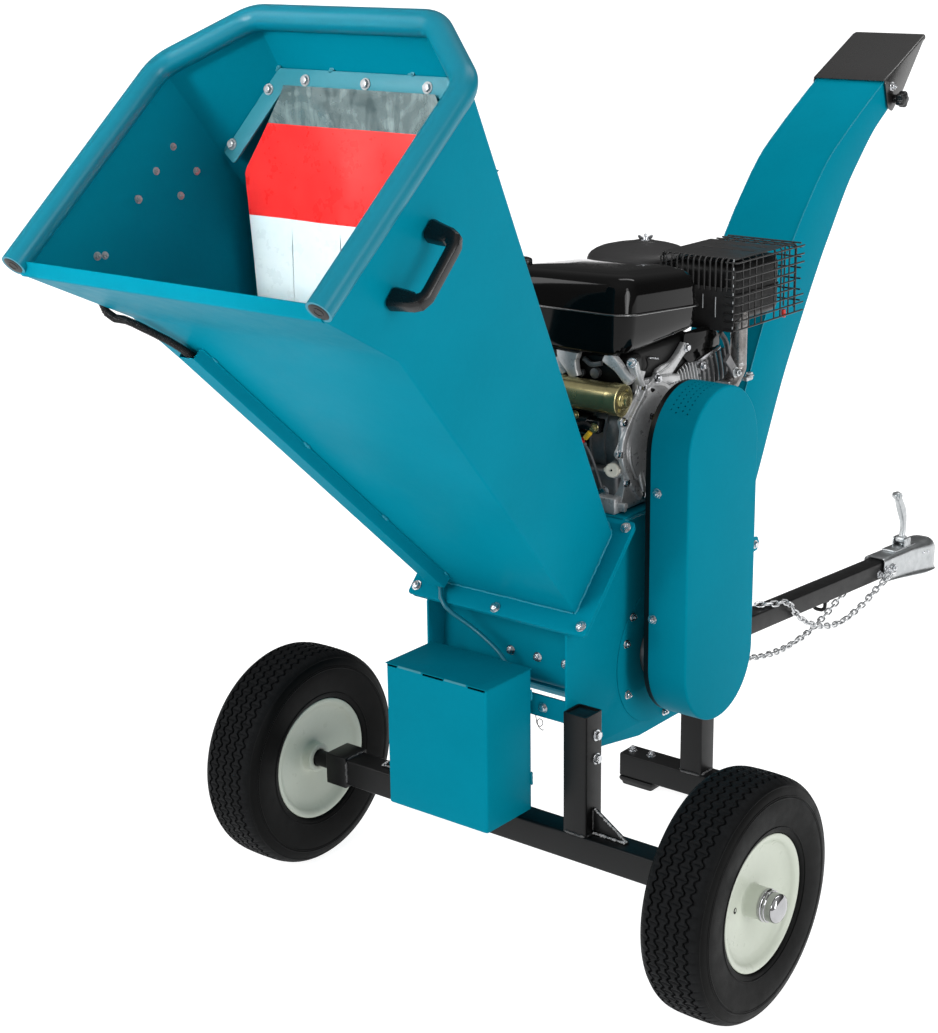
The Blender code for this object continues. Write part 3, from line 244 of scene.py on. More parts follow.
def smooth(pts, n):
    """n points on a smooth curve through pts."""
    p = [Vector(q) for q in pts]
    p = [p[0] * 2 - p[1]] + p + [p[-1] * 2 - p[-2]]
    dense = []
    for i in range(len(p) - 3):
        a, b, c, d = p[i:i + 4]
        for k in range(16):
            t = k / 16
            dense.append(0.5 * ((2 * b) + (c - a) * t + (2 * a - 5 * b + 4 * c - d) * t * t
                                + (3 * b - a - 3 * c + d) * t * t * t))
    dense.append(p[-2])
    return resample(dense, n)


def resample(dense, n):
    acc = [0.0]
    for i in range(1, len(dense)):
        acc.append(acc[-1] + (dense[i] - dense[i - 1]).length)
    out, j = [], 0
    for k in range(n):
        s = acc[-1] * k / (n - 1)
        while j < len(acc) - 2 and acc[j + 1] < s:
            j += 1
        f = (s - acc[j]) / max(acc[j + 1] - acc[j], 1e-9)
        out.append(dense[j].lerp(dense[j + 1], min(max(f, 0.0), 1.0)))
    return out


def length_of(pts):
    return sum((b - a).length for a, b in zip(pts, pts[1:]))


def sweep(name, pts, section, closed=False, caps=True, up=None, scale=None):
    """A section (list of 2-D points) carried along a path. scale gives a factor for each point of the path."""
    P = [Vector(p) for p in pts]
    n = len(P)
    tang = []
    for i in range(n):
        if closed:
            t = (P[(i + 1) % n] - P[i - 1])
        else:
            t = P[min(i + 1, n - 1)] - P[max(i - 1, 0)]
        tang.append(t.normalized())
    ref = Vector(up) if up is not None else axes_for(tang[0])[1]
    v = (ref - tang[0] * ref.dot(tang[0])).normalized()
    frames = []
    for i in range(n):
        if i:
            q = tang[i - 1].rotation_difference(tang[i])
            v = (q @ v)
            if up is not None:
                r2 = Vector(up)
                w = r2 - tang[i] * r2.dot(tang[i])
                if w.length > 0.2:
                    v = w
            v = (v - tang[i] * v.dot(tang[i])).normalized()
        frames.append((tang[i].cross(v), v.copy()))
    if closed and up is None:      # take out the twist left after one turn
        q = tang[-1].rotation_difference(tang[0])
        last = (q @ frames[-1][1])
        a = math.atan2(last.dot(frames[0][0]), last.dot(frames[0][1]))
        for i in range(n):
            f = a * i / n
            x, y = frames[i]
            frames[i] = (x * math.cos(-f) - y * math.sin(-f), y * math.cos(-f) + x * math.sin(-f))
    m = len(section)
    verts, faces = [], []
    for i in range(n):
        s = scale[i] if scale is not None else 1.0
        x, y = frames[i]
        verts += [P[i] + x * (a * s) + y * (b * s) for a, b in section]
    for i in range(n if closed else n - 1):
        j = (i + 1) % n
        for k in range(m):
            faces.append((i * m + k, i * m + (k + 1) % m, j * m + (k + 1) % m, j * m + k))
    if caps and not closed:
        faces.append(tuple(range(m - 1, -1, -1)))
        faces.append(tuple((n - 1) * m + k for k in range(m)))
    return outward(mesh(name, verts, faces))


def ring2(r, n=16, ph=0.0):
    return [(r * math.cos(2 * math.pi * k / n + ph), r * math.sin(2 * math.pi * k / n + ph)) for k in range(n)]


def tube(name, pts, r, n=16, closed=False, scale=None):
    return sweep(name, pts, ring2(r, n), closed=closed, scale=scale)


def rod(name, a, b, r, n=32, edge=0.0006, r2=None):
    """A cylinder from a to b with softened rims."""
    a, b = Vector(a), Vector(b)
    h = (b - a).length
    r2 = r if r2 is None else r2
    e = min(edge, h * 0.4, r * 0.5)
    prof = [(0, h), (r2 - e, h), (r2 - e * 0.3, h - e * 0.3), (r2, h - e), (r, e), (r - e * 0.3, e * 0.3), (r - e, 0), (0, 0)]
    return lathe(name, prof, a, b - a, n)


def lathe(name, profile, at, axis, n=48, closed=False, start=None):
    """A turned shape. profile holds (radius, height) along the axis from at. Open profiles end on the axis."""
    at = Vector(at)
    w = Vector(axis).normalized()
    u, v = axes_for(w)
    verts, rings = [], []
    for r, h in profile:
        if r < 1e-7:
            verts.append(at + w * h)
            rings.append([len(verts) - 1])
        else:
            rings.append(list(range(len(verts), len(verts) + n)))
            for k in range(n):
                a = 2 * math.pi * k / n
                verts.append(at + w * h + (u * math.cos(a) + v * math.sin(a)) * r)
    faces = []
    pairs = list(zip(rings, rings[1:]))
    if closed:
        pairs.append((rings[-1], rings[0]))
    for A, B in pairs:
        if len(A) == 1 and len(B) == 1:
            continue
        for k in range(n):
            j = (k + 1) % n
            if len(A) == 1:
                faces.append((A[0], B[k], B[j]))
            elif len(B) == 1:
                faces.append((A[k], B[0], A[j]))
            else:
                faces.append((A[k], B[k], B[j], A[j]))
    return outward(mesh(name, verts, faces))


def fillet(profile, rads, n=3, closed=False):
    """Round the corners of a (radius, height) profile."""
    p = [(a, b, 0.0) for a, b in profile]
    if closed:
        return [(q.x, q.y) for q in [Vector((a, b, 0)) for a, b in round_loop([(x, y) for x, y, _ in p], rads, n)]]
    return [(q.x, q.y) for q in round_path(p, rads, n)]


def loft(name, sections, closed=True, caps=(False, False)):
    """Sheet through sections with equal numbers of points."""
    n = len(sections[0])
    verts = [Vector(p) for s in sections for p in s]
    faces = []
    for i in range(len(sections) - 1):
        for k in range(n if closed else n - 1):
            j = (k + 1) % n
            faces.append((i * n + k, i * n + j, (i + 1) * n + j, (i + 1) * n + k))
    if caps[0]:
        faces.append(tuple(range(n - 1, -1, -1)))
    if caps[1]:
        faces.append(tuple((len(sections) - 1) * n + k for k in range(n)))
    return mesh(name, verts, faces)


def thick(ob, t, offset=-1.0, even=True):
    s = ob.modifiers.new("sheet", "SOLIDIFY")
    s.thickness = t
    s.offset = offset
    s.use_even_offset = even
    return evaluated(ob)


# ------------------------------------------------------------------ fasteners and welds
def hexbolt(at, n, af=0.0065, h=0.0050, washer=0.0, stub=0.0, turn=None):
    """A chamfered hex head on a washer; af is half the width across flats."""
    at, n = Vector(at), Vector(n).normalized()
    u, v = axes_for(n)
    ph = rnd.uniform(0, 1.0) if turn is None else turn
    N = 24
    base = 0.0
    out = []
    if washer > 0:
        t = 0.0014
        out.append(lathe("washer", [(0, t), (washer - 0.0004, t), (washer, t - 0.0004), (washer, -0.0004), (0, -0.0004)],
                         at, n, 24))
        base = t - 0.0002
    rc = af / math.cos(math.pi / 6)

    def hexr(a):
        b = (a % (math.pi / 3)) - math.pi / 6
        return af / math.cos(b)

    rows = [(0.0, 1.0, False), (h - 0.0012, 1.0, False), (h - 0.0004, 0.96, True), (h, 0.86, True)]
    verts, faces = [], []
    for z, s, chamfer in rows:
        for k in range(N):
            a = 2 * math.pi * k / N
            r = hexr(a)
            if chamfer:
                r = min(r, rc * (0.95 if z < h else 0.88))
                r = min(r, af * 1.0 if z >= h else r)
            p = at + n * (base + z) + (u * math.cos(a + ph) + v * math.sin(a + ph)) * r * (0.94 if z >= h else 1.0)
            verts.append(p)
    for i in range(len(rows) - 1):
        for k in range(N):
            j = (k + 1) % N
            faces.append((i * N + k, i * N + j, (i + 1) * N + j, (i + 1) * N + k))
    faces.append(tuple(range(N - 1, -1, -1)))
    verts.append(at + n * (base + h - 0.0002))
    c = len(verts) - 1
    for k in range(N):
        faces.append((3 * N + k, 3 * N + (k + 1) % N, c))
    out.append(outward(mesh("hex", verts, faces)))
    if stub > 0:
        out.append(rod("stub", at + n * (base + h - 0.0006), at + n * (base + h + stub), af * 0.52, 16, 0.0006))
    for o in out:
        shade(o, 30)
    return out


def panhead(at, n, r=0.0045, h=0.0028, washer=0.0):
    """A round screw head with a cross recess."""
    at, n = Vector(at), Vector(n).normalized()
    prof = [(0, h * 0.55), (r * 0.16, h * 0.55), (r * 0.22, h), (r * 0.45, h * 0.97), (r * 0.8, h * 0.75), (r, h * 0.3), (r, -0.0005), (0, -0.0005)]
    out = [lathe("screw", prof, at, n, 20)]
    if washer:
        out.append(lathe("washer", [(0, 0.0010), (washer - 0.0003, 0.0010), (washer, 0.0007), (washer, -0.0004), (0, -0.0004)], at, n, 24))
    return out


def weld(name, pts, r=0.003, pitch=None, seed=1, rough=0.35):
    """A lumpy weld bead along a path."""
    P = [Vector(p) for p in pts]
    L = length_of(P)
    pitch = pitch or r * 0.9
    n = max(int(L / (pitch * 0.34)), 6)
    Q = resample(P, n)
    g = random.Random(seed)
    ph = g.uniform(0, 6)
    sc, jog = [], []
    for i in range(n):
        s = i * L / (n - 1)
        a = 0.80 + 0.20 * abs(math.sin(math.pi * s / pitch + ph)) + rough * (noise.noise(Vector((s * 160, seed * 3.1, 0.5)))) * 0.6
        end = min(i, n - 1 - i) / 2.5
        sc.append(max(a, 0.35) * min(1.0, 0.45 + 0.3 * end))
        jog.append(Vector((noise.noise(Vector((s * 110, 7.7, seed))), noise.noise(Vector((s * 110, 1.7, seed + 4))),
                           noise.noise(Vector((s * 110, 3.7, seed + 9))))) * r * 0.35)
    return tube(name, [q + j for q, j in zip(Q, jog)], r, 8, scale=sc)


def chain(name, pts, wire=0.0021, inner_l=0.0165, inner_w=0.0070, start=0.0):
    """Welded links along a path, each turned a quarter turn from the last."""
    P = [Vector(p) for p in pts]
    L = length_of(P)
    count = int(L / inner_l)
    pitch = L / count
    dense = resample(P, count * 4 + 1)
    out = []
    g = random.Random(len(pts))
    roll = g.uniform(0, 1)
    for i in range(count):
        c = dense[4 * i + 2]
        t = (dense[4 * i + 4] - dense[4 * i]).normalized()
        u, v = axes_for(t)
        roll += g.uniform(-0.25, 0.30)
        a = roll + (math.pi / 2 if i % 2 else 0.0)
        s = u * math.cos(a) + v * math.sin(a)
        nrm = t.cross(s)
        half = pitch / 2 + wire * 0.9          # centre line reach along the link
        w = inner_w / 2 + wire
        path = []
        K = 7
        straight = half - w
        for k in range(K + 1):
            b = -math.pi / 2 + math.pi * k / K
            path.append(c + t * (straight + w * math.cos(b)) + s * (w * math.sin(b)))
        for k in range(K + 1):
            b = math.pi / 2 + math.pi * k / K
            path.append(c + t * (-straight + w * math.cos(b)) + s * (w * math.sin(b)))
        out.append(sweep("link", path, ring2(wire, 8), closed=True, up=nrm))
    return out


# ------------------------------------------------------------------ finishing
made = []


def ride(ob, body, look=None, replaces=(), angle=35, smooth_it=True):
    """Shift a finished piece into the row frame and hand it to its body."""
    if look is not None and not len(ob.data.materials):
        ob.data.materials.append(look)
    ob.data.transform(Matrix.Translation((0, -YM, 0)))
    if smooth_it:
        shade(ob, angle)
    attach(ob, body)
    if replaces:
        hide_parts(*replaces)
    made.append(ob)
    return ob


def painted(ob, look):
    ob.data.materials.clear()
    ob.data.materials.append(look)
    return ob


# ------------------------------------------------------------------ materials
class Look:
    """A procedural material built on the object's own coordinates."""

    def __init__(self, name):
        m = bpy.data.materials.new(name)
        m.use_nodes = True
        self.m, self.t = m, m.node_tree
        self.b = self.t.nodes["Principled BSDF"]
        self.co = self.t.nodes.new("ShaderNodeTexCoord").outputs["Object"]

    def set(self, **kw):
        for k, v in kw.items():
            self.b.inputs[k.replace("_", " ")].default_value = v
        return self

    def link(self, a, b):
        self.t.links.new(a, b)

    def stretched(self, x, y, z):
        n = self.t.nodes.new("ShaderNodeMapping")
        n.inputs["Scale"].default_value = (x, y, z)
        self.link(self.co, n.inputs["Vector"])
        return n.outputs["Vector"]

    def noise(self, scale, detail=2.0, rough=0.5, vec=None, dist=0.0):
        n = self.t.nodes.new("ShaderNodeTexNoise")
        n.inputs["Scale"].default_value = scale
        n.inputs["Detail"].default_value = detail
        n.inputs["Roughness"].default_value = rough
        n.inputs["Distortion"].default_value = dist
        self.link(vec or self.co, n.inputs["Vector"])
        return n.outputs["Fac"]

    def cells(self, scale, vec=None):
        n = self.t.nodes.new("ShaderNodeTexVoronoi")
        n.inputs["Scale"].default_value = scale
        self.link(vec or self.co, n.inputs["Vector"])
        return n.outputs["Distance"]

    def span(self, fac, f0, f1, t0, t1):
        n = self.t.nodes.new("ShaderNodeMapRange")
        for k, v in zip(("From Min", "From Max", "To Min", "To Max"), (f0, f1, t0, t1)):
            n.inputs[k].default_value = v
        self.link(fac, n.inputs["Value"])
        return n.outputs["Result"]

    def ramp(self, fac, stops):
        n = self.t.nodes.new("ShaderNodeValToRGB")
        e = n.color_ramp.elements
        while len(e) < len(stops):
            e.new(0.5)
        for el, (p, c) in zip(e, stops):
            el.position = p
            el.color = (c[0], c[1], c[2], 1.0)
        self.link(fac, n.inputs["Fac"])
        return n.outputs["Color"]

    def math(self, op, a, b):
        n = self.t.nodes.new("ShaderNodeMath")
        n.operation = op
        for i, x in enumerate((a, b)):
            if isinstance(x, (int, float)):
                n.inputs[i].default_value = x
            else:
                self.link(x, n.inputs[i])
        return n.outputs[0]

    def mix(self, fac, a, b):
        n = self.t.nodes.new("ShaderNodeMix")
        n.data_type = "RGBA"
        self.link(fac, n.inputs["Factor"])
        for sock, x in (("A", a), ("B", b)):
            s = [i for i in n.inputs if i.name == sock and i.type == "RGBA"][0]
            if isinstance(x, tuple):
                s.default_value = (x[0], x[1], x[2], 1.0)
            else:
                self.link(x, s)
        return [o for o in n.outputs if o.type == "RGBA"][0]

    def bump(self, height, strength, distance, normal=None):
        n = self.t.nodes.new("ShaderNodeBump")
        n.inputs["Strength"].default_value = strength
        n.inputs["Distance"].default_value = distance
        self.link(height, n.inputs["Height"])
        if normal is not None:
            self.link(normal, n.inputs["Normal"])
        return n.outputs["Normal"]

    def colour(self, out):
        self.link(out, self.b.inputs["Base Color"])
        return self

    def rough(self, out):
        self.link(out, self.b.inputs["Roughness"])
        return self

    def normal(self, out):
        self.link(out, self.b.inputs["Normal"])
        return self


def coat(name, dark, light, r0, r1, peel=0.10, grain=900.0, metal=0.0, spec=0.5, coatw=0.0, coatr=0.2, broad=5.0, speck=None):
    """A painted, plated or moulded surface: broad and fine colour changes, orange peel and uneven gloss."""
    k = Look(name)
    k.set(Metallic=metal, Specular_IOR_Level=spec, Coat_Weight=coatw, Coat_Roughness=coatr)
    a = k.noise(broad, 3.0, 0.55)
    b = k.noise(110.0, 4.0, 0.6)
    f = k.math("ADD", k.math("MULTIPLY", a, 0.7), k.math("MULTIPLY", b, 0.3))
    col = k.ramp(f, [(0.30, dark), (0.70, light)])
    if speck is not None:
        col = k.mix(k.span(k.noise(640.0, 2.0, 0.5), 0.66, 0.74, 0.0, 1.0), col, speck)
    k.colour(col)
    k.rough(k.span(k.noise(34.0, 5.0, 0.65), 0.30, 0.70, r0, r1))
    n1 = k.bump(k.noise(grain, 2.0, 0.5), peel, 0.0006)
    k.normal(k.bump(k.noise(9.0, 1.0, 0.5), 0.06, 0.004, n1))
    return k.m


TEAL = coat("teal_powder_coat", (0.0002, 0.180, 0.258), (0.0005, 0.204, 0.292), 0.32, 0.42, 0.08, 750.0, spec=0.009)
TEAL_RAIL = coat("teal_rail_coat", (0.0002, 0.158, 0.226), (0.0006, 0.182, 0.260), 0.30, 0.38, 0.05, 750.0, spec=0.30)
# painted highlight: weld and seam beads are a lighter teal than the coat, standing for the light their lumps catch
TEAL_WELD_LIT = coat("teal_weld_painted_highlight", (0.001, 0.190, 0.275), (0.006, 0.250, 0.345), 0.24, 0.38, 0.35, 900.0, spec=0.30)
TEAL_BAR = coat("teal_bar_coat", (0.026, 0.190, 0.240), (0.040, 0.222, 0.280), 0.34, 0.44, 0.08, 800.0, spec=0.25)
BLACK = coat("black_powder_coat", (0.0034, 0.0035, 0.0037), (0.0054, 0.0055, 0.0058), 0.30, 0.42, 0.10, 850.0, spec=0.22)
# painted highlight: beads on the black frame are a lighter grey than the coat, standing for the light their lumps catch
BLACK_WELD_LIT = coat("black_weld_painted_highlight", (0.012, 0.012, 0.013), (0.040, 0.040, 0.042), 0.22, 0.36, 0.5, 700.0, spec=0.7)
GLOSS = coat("gloss_black_enamel", (0.0014, 0.0013, 0.0013), (0.0022, 0.0021, 0.0021), 0.045, 0.080, 0.016, 500.0, spec=0.15, coatw=0.05, coatr=0.03)
HEAT = coat("heat_proof_black", (0.0024, 0.0024, 0.0025), (0.0050, 0.0049, 0.0048), 0.36, 0.50, 0.25, 1100.0, spec=0.26)
CREAM = coat("cream_enamel", (0.475, 0.512, 0.438), (0.520, 0.555, 0.480), 0.26, 0.34, 0.025, 420.0, spec=0.22, broad=9.0)
WIRE = coat("guard_wire_black", (0.0080, 0.0078, 0.0078), (0.0130, 0.0126, 0.0126), 0.34, 0.48, 0.20, 1100.0, spec=0.5)
RUBBER = coat("moulded_rubber", (0.0060, 0.0060, 0.0063), (0.0110, 0.0110, 0.0115), 0.52, 0.68, 0.25, 1300.0, spec=0.3)
PLASTIC = coat("black_moulded_plastic", (0.0028, 0.0028, 0.0031), (0.0048, 0.0048, 0.0052), 0.22, 0.32, 0.10, 1500.0, spec=0.40)
PLUG = coat("cream_plug", (0.55, 0.53, 0.45), (0.68, 0.66, 0.58), 0.35, 0.5, 0.1, 600.0)
YELLOW = coat("yellow_sleeve", (0.70, 0.42, 0.02), (0.82, 0.52, 0.03), 0.35, 0.45, 0.05, 600.0)
REDP = coat("red_sleeve", (0.55, 0.020, 0.015), (0.66, 0.035, 0.02), 0.32, 0.42, 0.05, 600.0)
GREYW = coat("grey_lead", (0.10, 0.10, 0.105), (0.16, 0.16, 0.165), 0.38, 0.5, 0.1, 900.0)
ZINC = coat("bright_zinc", (0.52, 0.53, 0.55), (0.70, 0.71, 0.73), 0.16, 0.32, 0.10, 420.0, metal=1.0, broad=60.0)
CHAIN = coat("zinc_chain", (0.50, 0.51, 0.52), (0.66, 0.67, 0.68), 0.22, 0.36, 0.20, 900.0, metal=1.0, broad=90.0)
CASTZ = coat("zinc_cast", (0.40, 0.42, 0.43), (0.58, 0.60, 0.61), 0.26, 0.42, 0.35, 520.0, metal=1.0, broad=40.0)
BOLT_GREY = coat("dull_bolt_heads", (0.30, 0.31, 0.32), (0.50, 0.51, 0.52), 0.26, 0.38, 0.08, 600.0, metal=0.30, broad=60.0)
CHROME = coat("bright_chrome", (0.36, 0.36, 0.37), (0.46, 0.46, 0.47), 0.045, 0.10, 0.015, 300.0, metal=1.0, broad=30.0)
STEEL = coat("machined_steel", (0.30, 0.30, 0.31), (0.42, 0.42, 0.43), 0.26, 0.40, 0.12, 700.0, metal=1.0, broad=40.0)


def cast_look(name, dark, light, r0, r1, metal=0.55):
    """Sand-cast, blasted aluminium: mottled, with a fine pitted skin."""
    k = Look(name)
    k.set(Metallic=metal, Specular_IOR_Level=0.5)
    f = k.math("ADD", k.math("MULTIPLY", k.noise(16.0, 3.0, 0.5), 0.75), k.math("MULTIPLY", k.noise(240.0, 3.0, 0.6), 0.25))
    k.colour(k.ramp(f, [(0.30, dark), (0.70, light)]))
    k.rough(k.span(k.noise(55.0, 4.0, 0.6), 0.3, 0.7, r0, r1))
    n1 = k.bump(k.noise(620.0, 4.0, 0.65), 0.22, 0.0005)
    k.normal(k.bump(k.cells(330.0), 0.03, 0.0003, n1))
    return k.m


ALU = cast_look("cast_aluminium", (0.40, 0.405, 0.41), (0.70, 0.705, 0.71), 0.24, 0.38, metal=0.45)
# painted shade: a darker copy of the cast aluminium, for castings that sit in the engine's shaded pocket
ALU_SHADED = cast_look("cast_aluminium_painted_shade", (0.10, 0.10, 0.102), (0.24, 0.24, 0.245), 0.36, 0.52)
GOLD = coat("yellow_zinc", (0.36, 0.315, 0.150), (0.48, 0.430, 0.225), 0.20, 0.29, 0.02, 500.0, metal=0.85, broad=26.0)


def tyre_look():
    """Tyre rubber: dull, a lighter bluish grey on the tread than on the flanks, with faint mould rings."""
    k = Look("tyre_rubber")
    k.set(Specular_IOR_Level=0.07)
    sep = k.t.nodes.new("ShaderNodeSeparateXYZ")
    k.link(k.co, sep.inputs[0])
    dy = k.math("ADD", sep.outputs["Y"], YM)
    dz = k.math("SUBTRACT", sep.outputs["Z"], 0.205)
    r = k.math("SQRT", k.math("ADD", k.math("MULTIPLY", dy, dy), k.math("MULTIPLY", dz, dz)), 0.0)
    tread = k.span(r, 0.190, 0.2010, 0.0, 1.0)
    tread_tone = k.math("MULTIPLY", tread, k.span(k.noise(90.0, 4.0, 0.65), 0.25, 0.75, 0.35, 1.0))
    base = k.ramp(k.noise(30.0, 4.0, 0.6), [(0.3, (0.0008, 0.0009, 0.0009)), (0.7, (0.0015, 0.0016, 0.0016))])
    k.colour(k.mix(tread_tone, base, (0.0085, 0.0090, 0.0098)))
    k.rough(k.math("ADD", k.span(k.noise(42.0, 4.0, 0.6), 0.3, 0.7, 0.40, 0.52), k.math("MULTIPLY", tread, 0.16)))
    w = k.t.nodes.new("ShaderNodeMath")
    w.operation = "SINE"
    k.link(k.math("MULTIPLY", r, 3600.0), w.inputs[0])
    n1 = k.bump(w.outputs[0], 0.05, 0.0002)
    k.normal(k.bump(k.noise(900.0, 3.0, 0.6), 0.25, 0.0004, n1))
    return k.m


TYRE = tyre_look()


def burnt_look():
    """Exhaust steel: mottled grey over dull plate."""
    k = Look("heat_tinted_steel")
    k.set(Metallic=0.9)
    f = k.math("ADD", k.math("MULTIPLY", k.noise(38.0, 4.0, 0.6), 0.6), k.math("MULTIPLY", k.noise(160.0, 4.0, 0.6), 0.4))
    k.colour(k.ramp(f, [(0.30, (0.13, 0.120, 0.115)), (0.48, (0.20, 0.190, 0.184)), (0.66, (0.30, 0.290, 0.285))]))
    k.rough(k.span(k.noise(120.0, 4.0, 0.6), 0.3, 0.7, 0.24, 0.36))
    k.normal(k.bump(k.noise(700.0, 3.0, 0.6), 0.35, 0.0005))
    return k.m


BURNT = burnt_look()


def film_look(name, a, b, alpha0, alpha1, rough):
    """Clear flexible film whose streaky grey colour and opacity are painted reflections."""
    k = Look(name)
    k.set(Specular_IOR_Level=0.6, IOR=1.5, Coat_Weight=0.4, Coat_Roughness=0.06)
    v = k.stretched(34.0, 20.0, 7.0)
    f = k.noise(1.0, 6.0, 0.62, v, 0.9)
    g = k.noise(1.0, 5.0, 0.6, k.stretched(16.0, 16.0, 22.0), 1.6)
    h = k.math("ADD", k.math("MULTIPLY", f, 0.6), k.math("MULTIPLY", g, 0.4))
    k.colour(k.ramp(h, [(0.34, a), (0.50, tuple((p + q) / 2 for p, q in zip(a, b))), (0.64, b)]))
    k.link(k.span(h, 0.36, 0.64, alpha0, alpha1), k.b.inputs["Alpha"])
    k.rough(k.span(k.noise(60.0, 4.0, 0.6), 0.3, 0.7, rough, rough + 0.08))
    k.normal(k.bump(k.noise(1.0, 3.0, 0.5, k.stretched(60.0, 30.0, 12.0), 0.6), 0.22, 0.0030))
    return k.m


def vinyl(name, dark, light):
    k = Look(name)
    k.set(Specular_IOR_Level=0.55, Coat_Weight=0.25, Coat_Roughness=0.12)
    k.colour(k.ramp(k.noise(22.0, 4.0, 0.6), [(0.3, dark), (0.7, light)]))
    k.rough(k.span(k.noise(48.0, 4.0, 0.6), 0.3, 0.7, 0.24, 0.36))
    n1 = k.bump(k.noise(1.0, 3.0, 0.5, k.stretched(26.0, 20.0, 8.0), 0.5), 0.20, 0.0030)
    k.normal(k.bump(k.noise(900.0, 2.0, 0.5), 0.05, 0.0004, n1))
    return k.m


FILM = film_look("clear_film_painted_reflections", (0.040, 0.075, 0.078), (0.26, 0.34, 0.34), 0.50, 0.86, 0.08)
VINYL_RED = vinyl("red_vinyl", (0.84, 0.018, 0.016), (0.92, 0.028, 0.024))
VINYL_WHITE = vinyl("white_vinyl", (0.70, 0.83, 0.85), (0.78, 0.88, 0.895))
VINYL_EDGE = coat("print_edge", (0.05, 0.045, 0.045), (0.09, 0.085, 0.085), 0.3, 0.4, 0.05, 700.0)


# ================================================================== wheels
TRACK = 0.475
AXLE_Z = 0.205


def tyre(side):
    s = 1 if side == "right" else -1
    N = 66                                              # tread periods round the tyre
    ts = [0.0, 0.055, 0.13, 0.25, 0.37, 0.445, 0.5, 0.555, 0.63, 0.75, 0.87, 0.945]
    grooves = [-0.0345, -0.0175, 0.0, 0.0175, 0.0345]
    amp, d0, w2, w1 = 0.0029, 0.0042, 0.0024, 0.0013

    # columns across the tread: (h, depth, weights of the neighbouring grooves' zig-zags, kind)
    cols = []
    edge = 0.0470
    for gi, c in enumerate(grooves):
        for off, dep in ((-w2 - 0.0006, 0.0), (-w2, 0.0005), (-w1, d0), (w1, d0), (w2, 0.0005), (w2 + 0.0006, 0.0)):
            cols.append((c + off, dep, [(gi, 1.0)], None))
        if gi < len(grooves) - 1:
            a, b = c + w2 + 0.0006, grooves[gi + 1] - w2 - 0.0006
            for f in (0.33, 0.67):
                cols.append((a + (b - a) * f, 0.0, [(gi, 1 - f), (gi + 1, f)], gi))
    # smooth half-section: crown, shoulder, flank, bead
    pts = smooth([(0.2050, 0.0, 0), (0.2047, 0.018, 0), (0.2036, 0.034, 0), (0.2005, 0.0445, 0), (0.1945, 0.0520, 0),
                  (0.1840, 0.0568, 0), (0.1700, 0.0588, 0), (0.1560, 0.0586, 0), (0.1400, 0.0570, 0), (0.1270, 0.0548, 0),
                  (0.1190, 0.0528, 0), (0.1158, 0.0500, 0), (0.1150, 0.0475, 0)], 140)
    prof = [(p.x, p.y) for p in pts]

    def crown(h):
        a = abs(h)
        for (r0, h0), (r1, h1) in zip(prof, prof[1:]):
            if h0 <= a <= h1:
                return r0 + (r1 - r0) * (a - h0) / max(h1 - h0, 1e-9)
        return prof[-1][0]

    flank = []                                          # (r, h) outside the tread, outer side
    start = [i for i, (r, h) in enumerate(prof) if h > 0.0412][0]
    flank_raw = prof[start:]
    keep_every = 3
    for i, (r, h) in enumerate(flank_raw):
        if i % keep_every == 0 or i == len(flank_raw) - 1:
            flank.append([r, h])
    # raised rings: a shoulder edge, two flank rings and a rim guard
    for rr, hgt in ((0.1932, 0.0009), (0.1775, 0.0007), (0.1745, 0.0007), (0.1262, 0.0012)):
        for k, (r, h) in enumerate(flank):
            if r < rr:
                r0, h0 = flank[k - 1]
                f = (r0 - rr) / max(r0 - r, 1e-9)
                hh = h0 + (h - h0) * f
                nr, nh = -(h - h0), (r - r0)
                L = math.hypot(nr, nh)
                nr, nh = nr / L, nh / L
                if nh < 0:
                    nr, nh = -nr, -nh
                tr, th = (r - r0) / L, (h - h0) / L
                add = [[rr - tr * 0.0016, hh - th * 0.0016], [rr - tr * 0.0007 + nr * hgt, hh - th * 0.0007 + nh * hgt],
                       [rr + tr * 0.0007 + nr * hgt, hh + th * 0.0007 + nh * hgt], [rr + tr * 0.0016, hh + th * 0.0016]]
                left = [q for q in flank[:k] if q[0] > rr + 0.0022]
                right = [q for q in flank[k:] if q[0] < rr - 0.0022]
                flank = left + add + right
                break
    inner = [(0.1030, 0.0435), (0.1010, 0.0300)]
    order = []                                          # from the bead inside over the crown to the bead outside
    for r, h in reversed(inner):
        order.append(("p", r, -h))
    for r, h in reversed(flank):
        order.append(("p", r, -h))
    for c in cols:
        order.append(("t",) + c)
    for r, h in flank:
        order.append(("p", r, h))
    for r, h in inner:
        order.append(("p", r, h))
    M, K = N * len(ts), len(order)
    V = np.zeros((M, K, 3))

    def zig(g, t):
        v = math.cos(2 * math.pi * t) * 1.35
        v = max(-1.0, min(1.0, v))
        return v * (1 if g % 2 == 0 else -1)

    g = random.Random(5 if s > 0 else 9)
    for i in range(N):
        for j, t in enumerate(ts):
            th = 2 * math.pi * (i + t) / N
            ct, st = math.cos(th), math.sin(th)
            for k, o in enumerate(order):
                if o[0] == "p":
                    r, h = o[1], o[2]
                    if 0.1935 < r < 0.2030 and 0.0405 < abs(h) < 0.0475 and (t < 0.06 or t > 0.94):
                        r -= 0.0007                     # small notches on the shoulder's edge
                else:
                    _, h0, dep, ws, rib = o
                    h = h0 + sum(w * zig(gi, t) for gi, w in ws) * amp
                    r = crown(h) - dep
                    if rib is not None:
                        tn = 0.5 if rib % 2 == 0 else 0.0
                        dt = min(abs(t - tn), 1 - abs(t - tn))
                        if dt < 0.06:
                            r -= 0.0022 * (1.0 - dt / 0.11)
                V[i * len(ts) + j, k] = (s * (TRACK + h), r * ct, AXLE_Z + r * st)
    verts = V.reshape(-1, 3)
    faces = []
    for i in range(M):
        a, b = i * K, ((i + 1) % M) * K
        for k in range(K):
            l = (k + 1) % K
            faces.append((a + k, a + l, b + l, b + k))
    ob = outward(mesh("tyre_%s_rubber" % side, verts, faces))
    ride(ob, "wheel_" + side, TYRE, ["tyre_" + side], angle=28)


